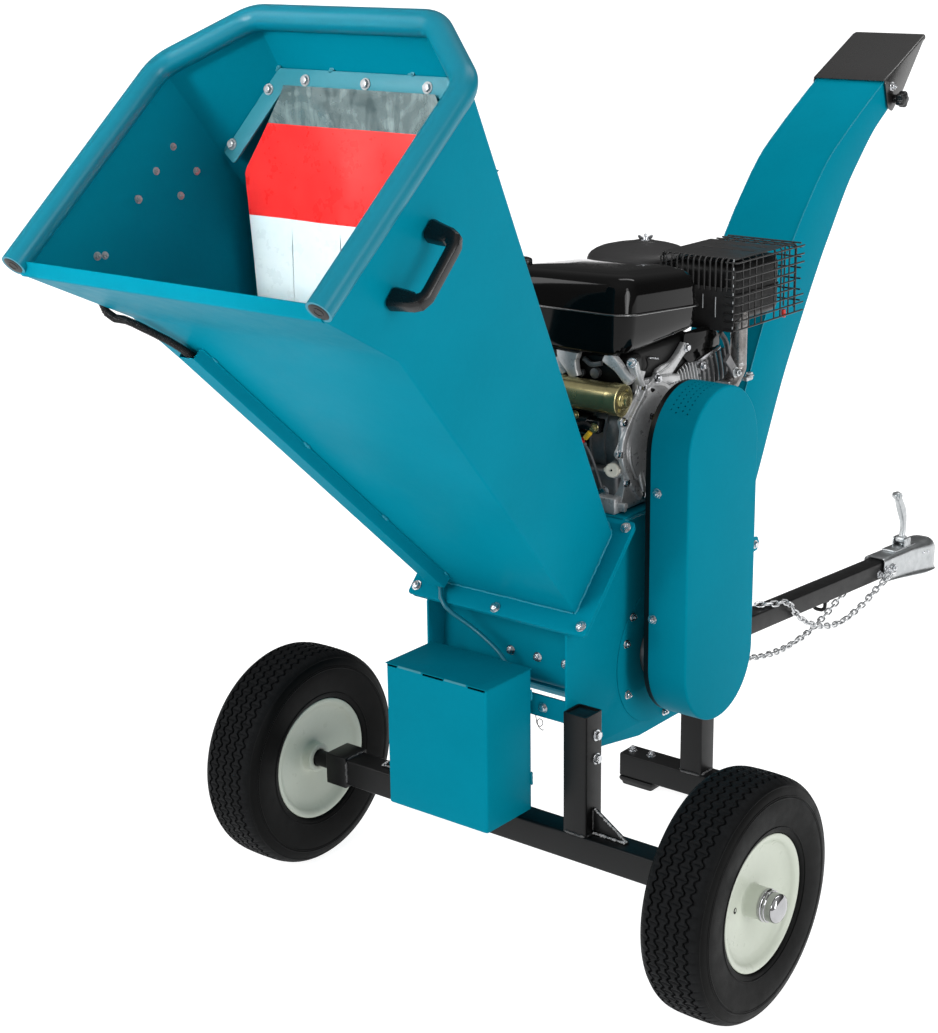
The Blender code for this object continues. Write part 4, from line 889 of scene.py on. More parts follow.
def rim(side):
    s = 1 if side == "right" else -1
    at, ax = (s * TRACK, 0, AXLE_Z), (s, 0, 0)
    lip = [(0.1145, 0.0488), (0.1147, 0.0500), (0.1138, 0.0509), (0.1118, 0.0510), (0.1085, 0.0503), (0.1050, 0.0486),
           (0.1024, 0.0458), (0.1010, 0.0436), (0.0996, 0.0420), (0.0968, 0.0398), (0.0935, 0.0376), (0.0890, 0.0355),
           (0.0800, 0.0333), (0.0700, 0.0312), (0.0600, 0.0293), (0.0500, 0.0277), (0.0420, 0.0266), (0.0350, 0.0260), (0.0312, 0.0262), (0.0288, 0.0274),
           (0.0276, 0.0296), (0.0270, 0.0330)]
    face = lip + [(0.0267, 0.0420), (0.0266, 0.0525), (0.0262, 0.0538), (0.0252, 0.0542), (0.0170, 0.0542), (0.0160, 0.0534)]
    hub_end = [(0.0160, -0.0440), (0.0172, -0.0466), (0.0196, -0.0474), (0.0236, -0.0475), (0.0262, -0.0468), (0.0272, -0.0450), (0.0270, -0.0430), (0.0267, -0.0412)]
    back = hub_end + [(r, -h) for r, h in reversed(lip)]
    well = [(0.1080, -0.0478), (0.1044, -0.0440), (0.1024, -0.0400), (0.1012, -0.0300), (0.1006, -0.0150), (0.1006, 0.0150), (0.1012, 0.0300), (0.1024, 0.0400),
            (0.1044, 0.0440), (0.1080, 0.0478)]
    ob = lathe("rim_%s_cream" % side, face + back + well, at, ax, 144, closed=True)
    painted(ob, CREAM)
    ride(ob, "wheel_" + side, None, ["rim_" + side], angle=32)
    # the open valve hole in the outer dish: a dark rubber disc with a turned lip, painted shade standing for the dark
    # inside of the hole
    vc = Vector((s * (TRACK + 0.0276), -0.0470, AXLE_Z))
    n = Vector((s, 0.18, 0))
    v = lathe("valve", [(0.0, -0.0004), (0.0040, -0.0002), (0.0043, 0.0003), (0.0046, 0.0006), (0.0050, 0.0004), (0.0052, -0.0006), (0.0048, -0.0016), (0, -0.0016)], vc, n, 24)
    ride(v, "wheel_" + side, RUBBER)
    v.name = "valve_hole_shade_" + side


def hub_cap(side):
    s = 1 if side == "right" else -1
    at, ax = (s * TRACK, 0, AXLE_Z), (s, 0, 0)
    prof = [(0.0, 0.0865), (0.0060, 0.0864), (0.0110, 0.0860), (0.0160, 0.0850), (0.0200, 0.0834), (0.0226, 0.0812), (0.0238, 0.0788),
            (0.0242, 0.0760), (0.0242, 0.0680), (0.0244, 0.0664), (0.0252, 0.0660), (0.0262, 0.0656), (0.0266, 0.0646), (0.0264, 0.0630), (0.0254, 0.0618),
            (0.0252, 0.0608), (0.0262, 0.0600), (0.0272, 0.0594), (0.0276, 0.0582), (0.0276, 0.0560), (0.0272, 0.0550), (0.0262, 0.0546), (0.0, 0.0545)]
    ob = lathe("hub_cap_%s_chrome" % side, prof, at, ax, 96)
    ride(ob, "wheel_" + side, CHROME, ["hub_cap_" + side], angle=40)


for side in ("left", "right"):
    tyre(side)
    rim(side)
    hub_cap(side)


# ================================================================== axle, posts, stand, tow bar
def rsquare(half_w, half_h, r, n=4):
    return round_loop([(-half_w, -half_h), (half_w, -half_h), (half_w, half_h), (-half_w, half_h)], r, n)


def square_tube(name, a, b, hw, hh, r, wall, up):
    """A square tube from a to b with open ends."""
    a, b = Vector(a), Vector(b)
    w = (b - a).normalized()
    v = Vector(up)
    v = (v - w * v.dot(w)).normalized()
    u = w.cross(v)
    outer = rsquare(hw, hh, r)
    inner = rsquare(hw - wall, hh - wall, max(r - wall, 0.0008))
    e = 0.0005

    def row(sec, p):
        return [p + u * x + v * y for x, y in sec]

    o2 = rsquare(hw - e, hh - e, r)
    i2 = rsquare(hw - wall + e, hh - wall + e, max(r - wall, 0.0008))
    rows = [row(inner, a + w * e), row(i2, a), row(o2, a), row(outer, a + w * e), row(outer, b - w * e), row(o2, b), row(i2, b), row(inner, b - w * e)]
    ob = loft(name, rows + [rows[0]])
    bm = bmesh.new()
    bm.from_mesh(ob.data)
    bmesh.ops.remove_doubles(bm, verts=bm.verts, dist=0.000001)
    bmesh.ops.recalc_face_normals(bm, faces=bm.faces)
    bm.to_mesh(ob.data)
    bm.free()
    return ob


def bar(name, a, b, hw, hh, r, up, e=0.0008):
    """A closed bar with rounded long edges and softened ends."""
    a, b = Vector(a), Vector(b)
    w = (b - a).normalized()
    v = Vector(up)
    v = (v - w * v.dot(w)).normalized()
    u = w.cross(v)
    sec, sec2 = rsquare(hw, hh, r), rsquare(hw - e, hh - e, r)

    def row(s2, p):
        return [p + u * x + v * y for x, y in s2]

    return outward(loft(name, [row(sec2, a), row(sec, a + w * e), row(sec, b - w * e), row(sec2, b)], caps=(True, True)))


TT = math.atan(0.0625)


def tp(x, y, z):
    """From the tow bar's straight frame to the machine."""
    c, s = math.cos(-TT), math.sin(-TT)
    return Vector((x, 1.0 + y * c - z * s, 0.3145 + y * s + z * c))


TOWM = Matrix.Translation((0, 1.0, 0.3145)) @ Matrix.Rotation(-TT, 4, "X")

BEAM = (-0.027, 0.023, 0.183, 0.233)


def build_axle():
    y0, y1, z0, z1 = BEAM
    cy, cz = (y0 + y1) / 2, (z0 + z1) / 2
    out = [bar("beam", (-0.3445, cy, cz), (0.3445, cy, cz), 0.025, 0.025, 0.0042, (0, 0, 1))]
    for s in (-1, 1):
        out.append(rbox("block", (min(s * 0.3365, s * 0.3845), -0.0298, 0.1772), (max(s * 0.3365, s * 0.3845), 0.0298, 0.2368), 0.0022, 3))
        out.append(rod("spindle", (s * 0.380, 0, AXLE_Z), (s * 0.5395, 0, AXLE_Z), 0.0149, 36, 0.0010))
    ob = painted(merge("axle_beam", out), BLACK)
    ride(ob, "machine", None, ["axle"])
    beads = []
    for s in (-1, 1):
        x = s * 0.3362
        beads.append(weld("w", [(x, y0 - 0.0004, z0 + 0.006), (x, y0 - 0.0004, z1 - 0.004)], 0.0028, seed=3 + s))
        beads.append(weld("w", [(x, y0 + 0.004, z1 + 0.0004), (x, y1 - 0.004, z1 + 0.0004)], 0.0028, seed=7 + s))
        beads.append(weld("w", [(x, y1 + 0.0004, z0 + 0.006), (x, y1 + 0.0004, z1 - 0.004)], 0.0028, seed=9 + s))
        beads.append(weld("w", round_path([(s * 0.3848, -0.020, AXLE_Z - 0.016), (s * 0.3848, -0.024, AXLE_Z + 0.004), (s * 0.3848, -0.010, AXLE_Z + 0.024),
                                           (s * 0.3848, 0.012, AXLE_Z + 0.022)], 0.010), 0.0018, seed=21 + s))
    ride(merge("axle_welds", [painted(b, BLACK_WELD_LIT) for b in beads]), "machine")


# painted highlights: near-white drops that stand for glints on lumpy welds
WELD_GLINTS = coat("weld_painted_glints", (0.16, 0.16, 0.165), (0.74, 0.74, 0.75), 0.14, 0.28, 0.3, 900.0, metal=0.3, spec=0.9, broad=420.0)


def build_posts():
    y0, y1, z0, z1 = BEAM
    for side, s in (("left", -1), ("right", 1)):
        xc = s * 0.174
        out = [square_tube("post", (xc, -0.001, z1 + 0.0004), (xc, -0.001, 0.4488), 0.0238, 0.0238, 0.0042, 0.0036, (0, 1, 0))]
        out.append(rbox("plug", (xc - 0.0215, -0.0225, 0.4400), (xc + 0.0215, 0.0205, 0.4466), 0.0010, 2))
        x0 = s * 0.1975
        rib = plate("rib", [(x0, z1 + 0.0004), (x0 + s * 0.0690, z1 + 0.0004), (x0 + s * 0.0690, z1 + 0.0030),
                            (x0 + s * 0.0030, z1 + 0.0462), (x0, z1 + 0.0462)], 0.0058, planar("XZ", (0, 0.000, 0)), edge=0.0006)
        out.append(rib)
        ob = painted(merge("post_%s_tube" % side, out), BLACK)
        ride(ob, "machine", None, ["post_" + side])
        beads = []
        yf = -0.0036
        beads.append(weld("w", [(x0 + s * 0.0010, yf - 0.001, z1 + 0.0025), (x0 + s * 0.0680, yf - 0.001, z1 + 0.0018)], 0.0026, seed=33, rough=0.6))
        beads.append(weld("w", [(x0 + s * 0.0006, yf, z1 + 0.004), (x0 + s * 0.0006, yf, z1 + 0.0450)], 0.0020, seed=35, rough=0.5))
        beads.append(weld("w", [(x0 + s * 0.0006, -yf, z1 + 0.004), (x0 + s * 0.0006, -yf, z1 + 0.0450)], 0.0020, seed=36, rough=0.5))
        for yy in (-0.0250, 0.0226):
            beads.append(weld("w", [(xc - 0.021, yy, z1 + 0.0012), (xc + 0.021, yy, z1 + 0.0012)], 0.0026, seed=41))
        for xx in (xc - 0.0240, xc + 0.0240):
            beads.append(weld("w", [(xx, -0.021, z1 + 0.0012), (xx, 0.019, z1 + 0.0012)], 0.0026, seed=43))
        # painted highlights: small bright drops along the gusset's slant and foot stand for the glints on its lumpy
        # welds
        g = random.Random(17 if s > 0 else 29)
        weld_glints = []
        for k in range(26):
            f = (k + 0.5) / 26
            p = Vector((x0 + s * (0.0036 + 0.0650 * f), yf + 0.0002, z1 + 0.0466 - 0.0432 * f))
            r_ = g.uniform(0.0013, 0.0023)
            weld_glints.append(lathe("drop", [(0, r_), (r_ * 0.7, r_ * 0.7), (r_, 0), (r_ * 0.7, -r_ * 0.7), (0, -r_)], p + Vector((0, g.uniform(-0.0008, 0.0004), g.uniform(-0.0004, 0.0006))), (0, 0, 1), 8))
        for k in range(20):
            f = (k + 0.5) / 20
            p = Vector((x0 + s * (0.0020 + 0.0660 * f), yf - 0.0024, z1 + 0.0030))
            r_ = g.uniform(0.0017, 0.0030)
            weld_glints.append(lathe("drop", [(0, r_), (r_ * 0.7, r_ * 0.7), (r_, 0), (r_ * 0.7, -r_ * 0.7), (0, -r_)], p + Vector((g.uniform(-0.001, 0.001), g.uniform(-0.0012, 0.0008), 0)), (0, 0, 1), 8))
        ride(merge("post_%s_spatter" % side, [painted(b, WELD_GLINTS) for b in weld_glints]), "machine")
        ride(merge("post_%s_welds" % side, [painted(b, BLACK_WELD_LIT) for b in beads]), "machine")
        bolts = []
        for z in (0.4088, 0.3668):
            bolts += hexbolt((s * 0.1977, 0.0060, z), (s, 0, 0), 0.0068, 0.0058, washer=0.0100, stub=0.0)
            bolts += hexbolt((s * 0.1460, 0.0060, z), (-s, 0, 0), 0.0066, 0.0062, washer=0.0095, stub=0.006)
        ride(painted(merge("post_%s_bolts" % side, bolts), ZINC), "machine")


def build_stand():
    out = [square_tube("leg", (0, 0.637, 0.062), (0, 0.637, 0.3150), 0.0248, 0.0248, 0.0040, 0.0035, (0, 1, 0)),
           bar("foot", (-0.1678, 0.637, 0.0432), (0.1678, 0.637, 0.0432), 0.0252, 0.0247, 0.0036, (0, 0, 1))]
    ride(painted(merge("stand_tube", out), BLACK), "machine", None, ["tow_stand"])
    beads = [weld("w", [(-0.022, 0.6115, 0.0690), (0.022, 0.6115, 0.0690)], 0.0026, seed=51),
             weld("w", [(-0.0252, 0.615, 0.0690), (-0.0252, 0.658, 0.0690)], 0.0026, seed=52),
             weld("w", [(0.0252, 0.615, 0.0690), (0.0252, 0.658, 0.0690)], 0.0026, seed=53)]
    ride(merge("stand_welds", [painted(b, BLACK_WELD_LIT) for b in beads]), "machine")
    bolts = []
    for side, s in (("left", -1), ("right", 1)):
        a, b = sorted((s * 0.0885, s * 0.1675))
        # the pad's sole narrows towards the floor
        rows = []
        for z, inset in ((0.0178, 0.0000), (0.0140, -0.0012), (0.0098, 0.0000), (0.0060, 0.0030), (0.0010, 0.0045), (0.0, 0.0058)):
            rows.append([Vector((x, y, z)) for x, y in round_loop([(a + inset, 0.6105 + inset), (b - inset, 0.6105 + inset),
                                                                 (b - inset, 0.6635 - inset), (a + inset, 0.6635 - inset)], 0.004, 3)])
        pad = outward(loft("foot_pad_%s_rubber" % side, rows, caps=(True, True)))
        ride(pad, "machine", RUBBER, ["foot_pad_" + side])
        for x in (0.1530, 0.1080):
            bolts += hexbolt((s * x, 0.637, 0.0678), (0, 0, 1), 0.0064, 0.0056, washer=0.0092, stub=0.0035)
    ride(painted(merge("stand_bolts", bolts), ZINC), "machine")


def build_tow():
    out = [square_tube("bar", tp(0, -0.545, 0), tp(0, 0.430, 0), 0.0199, 0.0199, 0.0034, 0.0032, (0, 0, 1)),
           bar("head", (-0.1448, 0.441, 0.349), (0.1448, 0.441, 0.349), 0.0208, 0.0198, 0.0030, (0, 0, 1))]
    lug = tube("lug", [tp(*p) for p in round_path([(-0.014, 0.120, -0.019), (-0.014, 0.120, -0.040), (0.014, 0.120, -0.040), (0.014, 0.120, -0.019)], 0.012, 6)],
               0.0040, 12)
    out.append(lug)
    ride(painted(merge("tow_bar_tube", out), BLACK), "machine", None, ["tow_bar"])
    beads = [weld("w", [(-0.0205, 0.4625, 0.336), (-0.0205, 0.4625, 0.368)], 0.0026, seed=61), weld("w", [(0.0205, 0.4625, 0.336), (0.0205, 0.4625, 0.368)], 0.0026, seed=62),
             weld("w", [tp(-0.0030 + 0.018, 0.120, -0.0200), tp(0.0190, 0.128, -0.0195)], 0.0030, seed=63),
             weld("w", [(-0.0205, 0.6115, 0.300), (-0.0205, 0.6625, 0.300)], 0.0022, seed=64)]
    ride(merge("tow_bar_welds", [painted(b, BLACK_WELD_LIT) for b in beads]), "machine")
    bolts = []
    for y in (0.385, 0.415):
        for s in (-1, 1):
            bolts += hexbolt(tp(s * 0.0262, y - 0.01, 0.000), (s, 0, 0), 0.0070, 0.0052, washer=0.0098, stub=0.004 if s > 0 else 0)
    bolts += hexbolt(tp(0.0202, 0.352, -0.0060), (1, 0, 0), 0.0062, 0.0052, washer=0.0088, stub=0.006)

    # coupler: pressed channel that swells into a ball dome, its rim turned out
    secs = []
    path = [(0.3650, 0.0252, 0.0262, -0.0255, 0.0006), (0.3662, 0.0256, 0.0268, -0.0262, 0.0012), (0.400, 0.0256, 0.0268, -0.0265, 0.0030), (0.450, 0.0256, 0.0268, -0.0300, 0.0045),
            (0.490, 0.0258, 0.0272, -0.0335, 0.0058), (0.515, 0.0268, 0.0285, -0.0355, 0.0066), (0.535, 0.0290, 0.0302, -0.0368, 0.0068), (0.555, 0.0318, 0.0318, -0.0376, 0.0058),
            (0.572, 0.0338, 0.0326, -0.0381, 0.0045), (0.585, 0.0343, 0.0328, -0.0383, 0.0040), (0.598, 0.0334, 0.0322, -0.0384, 0.0042), (0.608, 0.0300, 0.0298, -0.0384, 0.0046),
            (0.6145, 0.0245, 0.0258, -0.0384, 0.0048), (0.6185, 0.0165, 0.0200, -0.0384, 0.0048), (0.6200, 0.0070, 0.0120, -0.0384, 0.0046)]
    for y, w, zt, zb, lip in path:
        r = min(0.0085 + max(0.0, (y - 0.50)) * 0.16, w * 0.92, 0.024)
        half = [(w + lip, zb - 0.0010), (w + lip * 0.55, zb + 0.0004), (w + 0.0006, zb + 0.0040), (w, zb + 0.0085), (w, (zb + zt) / 2)]
        for k in range(7):
            a = math.pi / 2 * k / 6
            half.append((w - r + r * math.cos(a), zt - r + r * math.sin(a)))
        secs.append([tp(x, y, z) for x, z in half] + [tp(-x, y, z) for x, z in reversed(half)])
    body = loft("shell", secs, closed=False)
    body = thick(outward(body), 0.0026, -1.0, False)
    parts_ = [body]
    parts_.append(rbox("base", (-0.0170, 0.4300, 0.0262), (0.0170, 0.5320, 0.0318), 0.0022, 3, TOWM))
    parts_.append(lathe("boss", [(0, 0.0085), (0.0105, 0.0080), (0.0135, 0.0050), (0.0140, 0.0), (0, 0.0)], tp(0, 0.506, 0.0310), TOWM.to_3x3() @ Vector((0, 0, 1)), 28))
    for s in (-1, 1):
        parts_.append(plate("ear", round_loop([(0.478, 0.028), (0.508, 0.028), (0.506, 0.050), (0.480, 0.050)], 0.007, 4), 0.0034,
                            TOWM @ planar("YZ", (s * 0.0145, 0, 0)), edge=0.0005))
        for y in (0.552, 0.572):
            pass
    ride(painted(merge("coupler_pressing", parts_), CASTZ), "machine", None, ["coupler_body"], angle=40)
    for s in (-1, 1):
        for y in (0.548, 0.566):
            bolts += [painted(lathe("dot", [(0, 0.0022), (0.0024, 0.0020), (0.0036, 0.0010), (0.0040, -0.0006), (0, -0.0006)],
                                    tp(s * (0.0310 if y < 0.55 else 0.0332), y, 0.0075), (s, 0, 0), 20), ZINC)]
    ride(painted(merge("tow_bolts", bolts), ZINC), "machine")

    # latch lever: a cast handle, flat-sided, with a notched tip
    pts = smooth([tp(*p) for p in [(0, 0.4905, 0.0400), (0, 0.4935, 0.0560), (0, 0.4950, 0.0740), (0, 0.4900, 0.0950), (0, 0.4800, 0.1150), (0, 0.4670, 0.1340),
                                   (0, 0.4570, 0.1480)]], 34)
    sc = []
    for i in range(34):
        f = i / 33
        sc.append(0.66 + 0.10 * math.cos(2 * math.pi * f * 1.0) + 0.42 * math.exp(-((f - 0.62) / 0.26) ** 2) - (0.10 if f > 0.95 else 0))
    sec = round_loop([(-0.0088, -0.0080), (0.0088, -0.0080), (0.0088, 0.0080), (-0.0088, 0.0080)], 0.0058, 5)
    lev = [sweep("grip", pts, sec, scale=sc, up=(1, 0, 0))]
    lev.append(rod("pin", tp(-0.0172, 0.492, 0.0440), tp(0.0172, 0.492, 0.0440), 0.0046, 24, 0.0008))
    lev.append(rod("knuckle", tp(-0.0110, 0.492, 0.0440), tp(0.0110, 0.492, 0.0440), 0.0098, 28, 0.0012))
    tip = tp(0, 0.4545, 0.1515)
    d = (tp(0, 0.4545, 0.1515) - tp(0, 0.4640, 0.1390)).normalized()
    lev.append(lathe("tip", [(0, 0.0092), (0.0046, 0.0090), (0.0080, 0.0072), (0.0096, 0.0030), (0.0098, -0.0020), (0.0084, -0.0064), (0.0056, -0.0085), (0, -0.0085)], tip, d, 28))
    lev.append(lathe("eye", [(0.0036, 0.0100), (0.0062, 0.0100), (0.0066, 0.0094), (0.0066, -0.0094), (0.0062, -0.0100), (0.0036, -0.0100)], tip + d * 0.002, (1, 0, 0), 24, closed=True))
    for k in range(5):
        f = 0.40 + 0.10 * k
        i = int(f * 33)
        t = (pts[i + 1] - pts[i - 1]).normalized()
        v = Vector((1, 0, 0))
        u = t.cross(v)
        if u.y > 0:
            u = -u
        lev.append(rod("rib", pts[i] + u * 0.0073 * sc[i] - v * 0.0058, pts[i] + u * 0.0073 * sc[i] + v * 0.0058, 0.0016, 10, 0.0005))
    ride(painted(merge("latch_handle", lev), CASTZ), "coupler_lever", None, ["coupler_lever"], angle=42)


def build_chains():
    right = [tp(-0.004, -0.145, 0.0275), tp(0.020, -0.115, 0.0285), tp(0.0290, -0.070, 0.0220), tp(0.0310, -0.020, -0.0200), tp(0.0330, 0.060, -0.0560),
             tp(0.0340, 0.150, -0.0700), tp(0.0340, 0.240, -0.0560), tp(0.0330, 0.320, -0.0300), tp(0.0330, 0.372, -0.0130)]
    left = [tp(-0.0330, 0.372, -0.0130), tp(-0.0330, 0.320, -0.0340), tp(-0.0330, 0.240, -0.0700), tp(-0.0300, 0.150, -0.0980), tp(-0.0240, 0.050, -0.1080),
            tp(-0.0160, -0.050, -0.1030), tp(-0.0100, -0.150, -0.0860), tp(-0.0060, -0.220, -0.0600), tp(-0.0040, -0.262, -0.0290)]
    for side, pts in (("right", right), ("left", left)):
        dense = smooth(pts, 240)
        links = chain("links", dense)
        # shackle at the coupler end: a bow, a pin and its nut
        e = pts[-1] if side == "right" else pts[0]
        s = 1 if side == "right" else -1
        bow = round_path([e + Vector((-s * 0.0072, 0.006, 0.008)), e + Vector((-s * 0.0072, -0.014, -0.003)), e + Vector((s * 0.0072, -0.014, -0.003)), e + Vector((s * 0.0072, 0.006, 0.008))], 0.007, 5)
        links.append(tube("bow", bow, 0.0029, 12))
        links.append(rod("pin", e + Vector((-0.0125, 0.006, 0.008)), e + Vector((0.0125, 0.006, 0.008)), 0.0032, 16, 0.0006))
        links += hexbolt(e + Vector((s * 0.0098, 0.006, 0.008)), (s, 0, 0), 0.0058, 0.0046)
        ob = painted(merge("chain_%s_links" % side, links), CHAIN)
        ride(ob, "machine", None, ["safety_chain_" + side], angle=50)


build_axle()
build_posts()
build_stand()
build_tow()
build_chains()


# ================================================================== feed hopper
SLOPE = math.radians(46.86)
EU = Vector((0.0, math.cos(SLOPE), math.sin(SLOPE)))
ED = Vector((0.0, math.sin(SLOPE), -math.cos(SLOPE)))
FO = Vector((0.0, -0.007, 0.599))


def fl(x, u, d):
    """x across, u up and d into the flange plane."""
    return FO + Vector((x, 0, 0)) + EU * u + ED * d


THROAT_HALF, U0, U1 = 0.153, 0.020, 0.190
MOUTH_HALF, MOUTH_LOW, MOUTH_KNEE = 0.2912, (-0.7328, 1.2536), (-0.4319, 1.5072)
MOUTH_TOP_HALF, MOUTH_TOP = 0.1724, (-0.3490, 1.5771)
KINK = (0.261, -0.546, 1.152)
RAIL_R = 0.019
ALONG = Vector((0.0, MOUTH_KNEE[0] - MOUTH_LOW[0], MOUTH_KNEE[1] - MOUTH_LOW[1])).normalized()
INWARD = Vector((0.0, ALONG.z, -ALONG.y))


def hopper_sections():
    throat = [fl(-THROAT_HALF, U0, 0.0035), fl(-THROAT_HALF, U1 - 0.020, 0.0035), fl(-THROAT_HALF + 0.018, U1, 0.0035),
              fl(THROAT_HALF - 0.018, U1, 0.0035), fl(THROAT_HALF, U1 - 0.020, 0.0035), fl(THROAT_HALF, U0, 0.0035)]
    mouth = [Vector((-MOUTH_HALF, *MOUTH_LOW)), Vector((-MOUTH_HALF, *MOUTH_KNEE)), Vector((-MOUTH_TOP_HALF, *MOUTH_TOP)),
             Vector((MOUTH_TOP_HALF, *MOUTH_TOP)), Vector((MOUTH_HALF, *MOUTH_KNEE)), Vector((MOUTH_HALF, *MOUTH_LOW))]
    mouth = [m + INWARD * 0.0197 for m in mouth]
    mid = [t.lerp(m, 0.789) for t, m in zip(throat, mouth)]
    mid[0] = Vector((-KINK[0], KINK[1], KINK[2]))
    mid[5] = Vector(KINK)
    return throat, mid, mouth


THROAT, MID, MOUTH = hopper_sections()
RW_N = (MID[4] - MID[5]).cross(MOUTH[4] - MID[5]).normalized()
if RW_N.x < 0:
    RW_N = -RW_N
_walls = [(MID[5], MID[4], MOUTH[4]), (MID[5], MOUTH[4], MOUTH[5]), (MID[5], MID[4], MOUTH[5]), (MID[4], MOUTH[4], MOUTH[5])]


def on_wall(y, z, out, s):
    """A point on the side wall (s = 1 right, -1 left), lifted out along its normal."""
    xs = []
    for a, b, c in _walls:
        w = (b - a).cross(c - a)
        xs.append(a.x - ((y - a.y) * w.y + (z - a.z) * w.z) / w.x)
    p = Vector((max(xs), y, z)) + RW_N * out
    return Vector((s * p.x, p.y, p.z))


def build_shell():
    rad = [0.0035, 0.0060, 0.0060, 0.0060, 0.0060, 0.0035]
    secs = []
    steps = [(THROAT, MID, k / 10) for k in range(10)] + [(MID, MOUTH, k / 4) for k in range(5)]
    for A, B, f in steps:
        pts = [a.lerp(b, f) for a, b in zip(A, B)]
        secs.append(round_loop(pts, [r * (0.8 if f == 0 and A is THROAT else 1.0) for r in rad], 3))
    ob = loft("shell", secs)
    ob = outward(ob)
    ob = thick(ob, 0.0030, -1.0)
    out = [ob]
    # welded flange
    hole = round_loop([(-0.1510, U0 + 0.0015), (0.1510, U0 + 0.0015), (0.1510, U1 - 0.0205), (0.1340, U1 - 0.0016),
                       (-0.1340, U1 - 0.0016), (-0.1510, U1 - 0.0205)], 0.003, 2)
    fm = frame_m(fl(0, 0, 0.0025), Vector((1, 0, 0)), EU, -ED)
    out.append(plate("flange", round_loop([(-0.187, -0.0165), (0.187, -0.0165), (0.187, 0.200), (-0.187, 0.200)], 0.006, 4), 0.0050, fm, [hole], edge=0.0007))
    # lip: the floor's front edge is turned up into a narrow strip across the mouth
    a, b = MOUTH[0], MOUTH[5]
    prof = [Vector((0, 0.0030, -0.0020)), Vector((0, -0.0008, -0.0014)), Vector((0, -0.0030, 0.0005)), Vector((0, -0.0040, 0.0035)), Vector((0, -0.0048, 0.0200)), Vector((0, -0.0046, 0.0212)),
            Vector((0, -0.0034, 0.0216)), Vector((0, -0.0024, 0.0208)), Vector((0, -0.0018, 0.0050)), Vector((0, 0.0012, 0.0020)), Vector((0, 0.0034, 0.0004))]
    rows = []
    for k in range(25):
        f = k / 24
        base = Vector((a.x + 0.004 + (b.x - a.x - 0.008) * f, a.y, a.z))
        rows.append([base + p for p in prof])
    out.append(outward(loft("lip", rows, caps=(True, True))))
    ob = painted(merge("hopper_sheet", out), TEAL)
    ride(ob, "machine", None, ["hopper_shell"], angle=30)

    # weld seams
    beads = []
    beads.append(weld("w", [fl(x, U0 - 0.0012, -0.0002) for x in (-0.150, -0.05, 0.05, 0.150)], 0.0022, seed=71, rough=0.25))
    for s in (-1, 1):
        beads.append(weld("w", [fl(s * 0.1538, u, -0.0006) for u in (0.018, 0.08, 0.172)], 0.0027, seed=73 + s, rough=0.55))
        beads.append(weld("w", [fl(s * 0.1538, 0.171, -0.0006), fl(s * 0.1360, 0.1905, -0.0006)], 0.0026, seed=75 + s, rough=0.5))
    beads.append(weld("w", [fl(x, U1 + 0.0010, -0.0006) for x in (-0.133, 0.0, 0.133)], 0.0026, seed=77, rough=0.5))
    # short welds of the rail on the sheet, seen from outside
    for s in (-1, 1):
        for f0, f1 in ((0.04, 0.12), (0.36, 0.44), (0.66, 0.74), (0.93, 0.985)):
            p, q = Vector((s * MOUTH_HALF, *MOUTH_LOW)), Vector((s * MOUTH_HALF, *MOUTH_KNEE))
            o = Vector((s * 0.0040, 0, 0)) + INWARD * 0.0186
            beads.append(weld("w", [p.lerp(q, f0) + o, p.lerp(q, f1) + o], 0.0024, seed=int(80 + f0 * 50 + s)))
        beads.append(weld("w", [Vector((s * 0.2800, MOUTH[0].y - 0.0030, MOUTH[0].z + 0.004)), Vector((s * 0.2800, MOUTH[0].y - 0.0055, MOUTH[0].z + 0.020))], 0.0024, seed=95 + s))
    ride(merge("hopper_welds", [painted(b, TEAL_WELD_LIT) for b in beads]), "machine", angle=60)

    # rail round three sides of the mouth
    pts = [(-MOUTH_HALF, *MOUTH_LOW), (-MOUTH_HALF, *MOUTH_KNEE), (-MOUTH_TOP_HALF, *MOUTH_TOP), (MOUTH_TOP_HALF, *MOUTH_TOP),
           (MOUTH_HALF, *MOUTH_KNEE), (MOUTH_HALF, *MOUTH_LOW)]
    path = round_path(pts, 0.055, 12)
    dense = resample(path, 260)
    rail = tube("hopper_rail_tube", dense, RAIL_R, 40)
    ride(painted(rail, TEAL_RAIL), "machine", None, ["hopper_rail"], angle=40)
    caps = []
    for s, e, t in ((-1, dense[0], (dense[0] - dense[1]).normalized()), (1, dense[-1], (dense[-1] - dense[-2]).normalized())):
        prof = [(0, 0.0005), (0.0110, 0.0004), (0.0150, 0.0001), (0.0172, -0.0008), (0.0180, -0.0020), (0.0180, -0.0060), (0, -0.0060)]
        caps.append(lathe("cap", prof, e, t, 40))
        caps.append(lathe("capring", [(0.0062, 0.0006), (0.0070, 0.0010), (0.0078, 0.0006), (0.0078, -0.001), (0.0062, -0.001)], e, t, 32, closed=True))
    ride(painted(merge("rail_plugs", caps), BLACK), "machine")


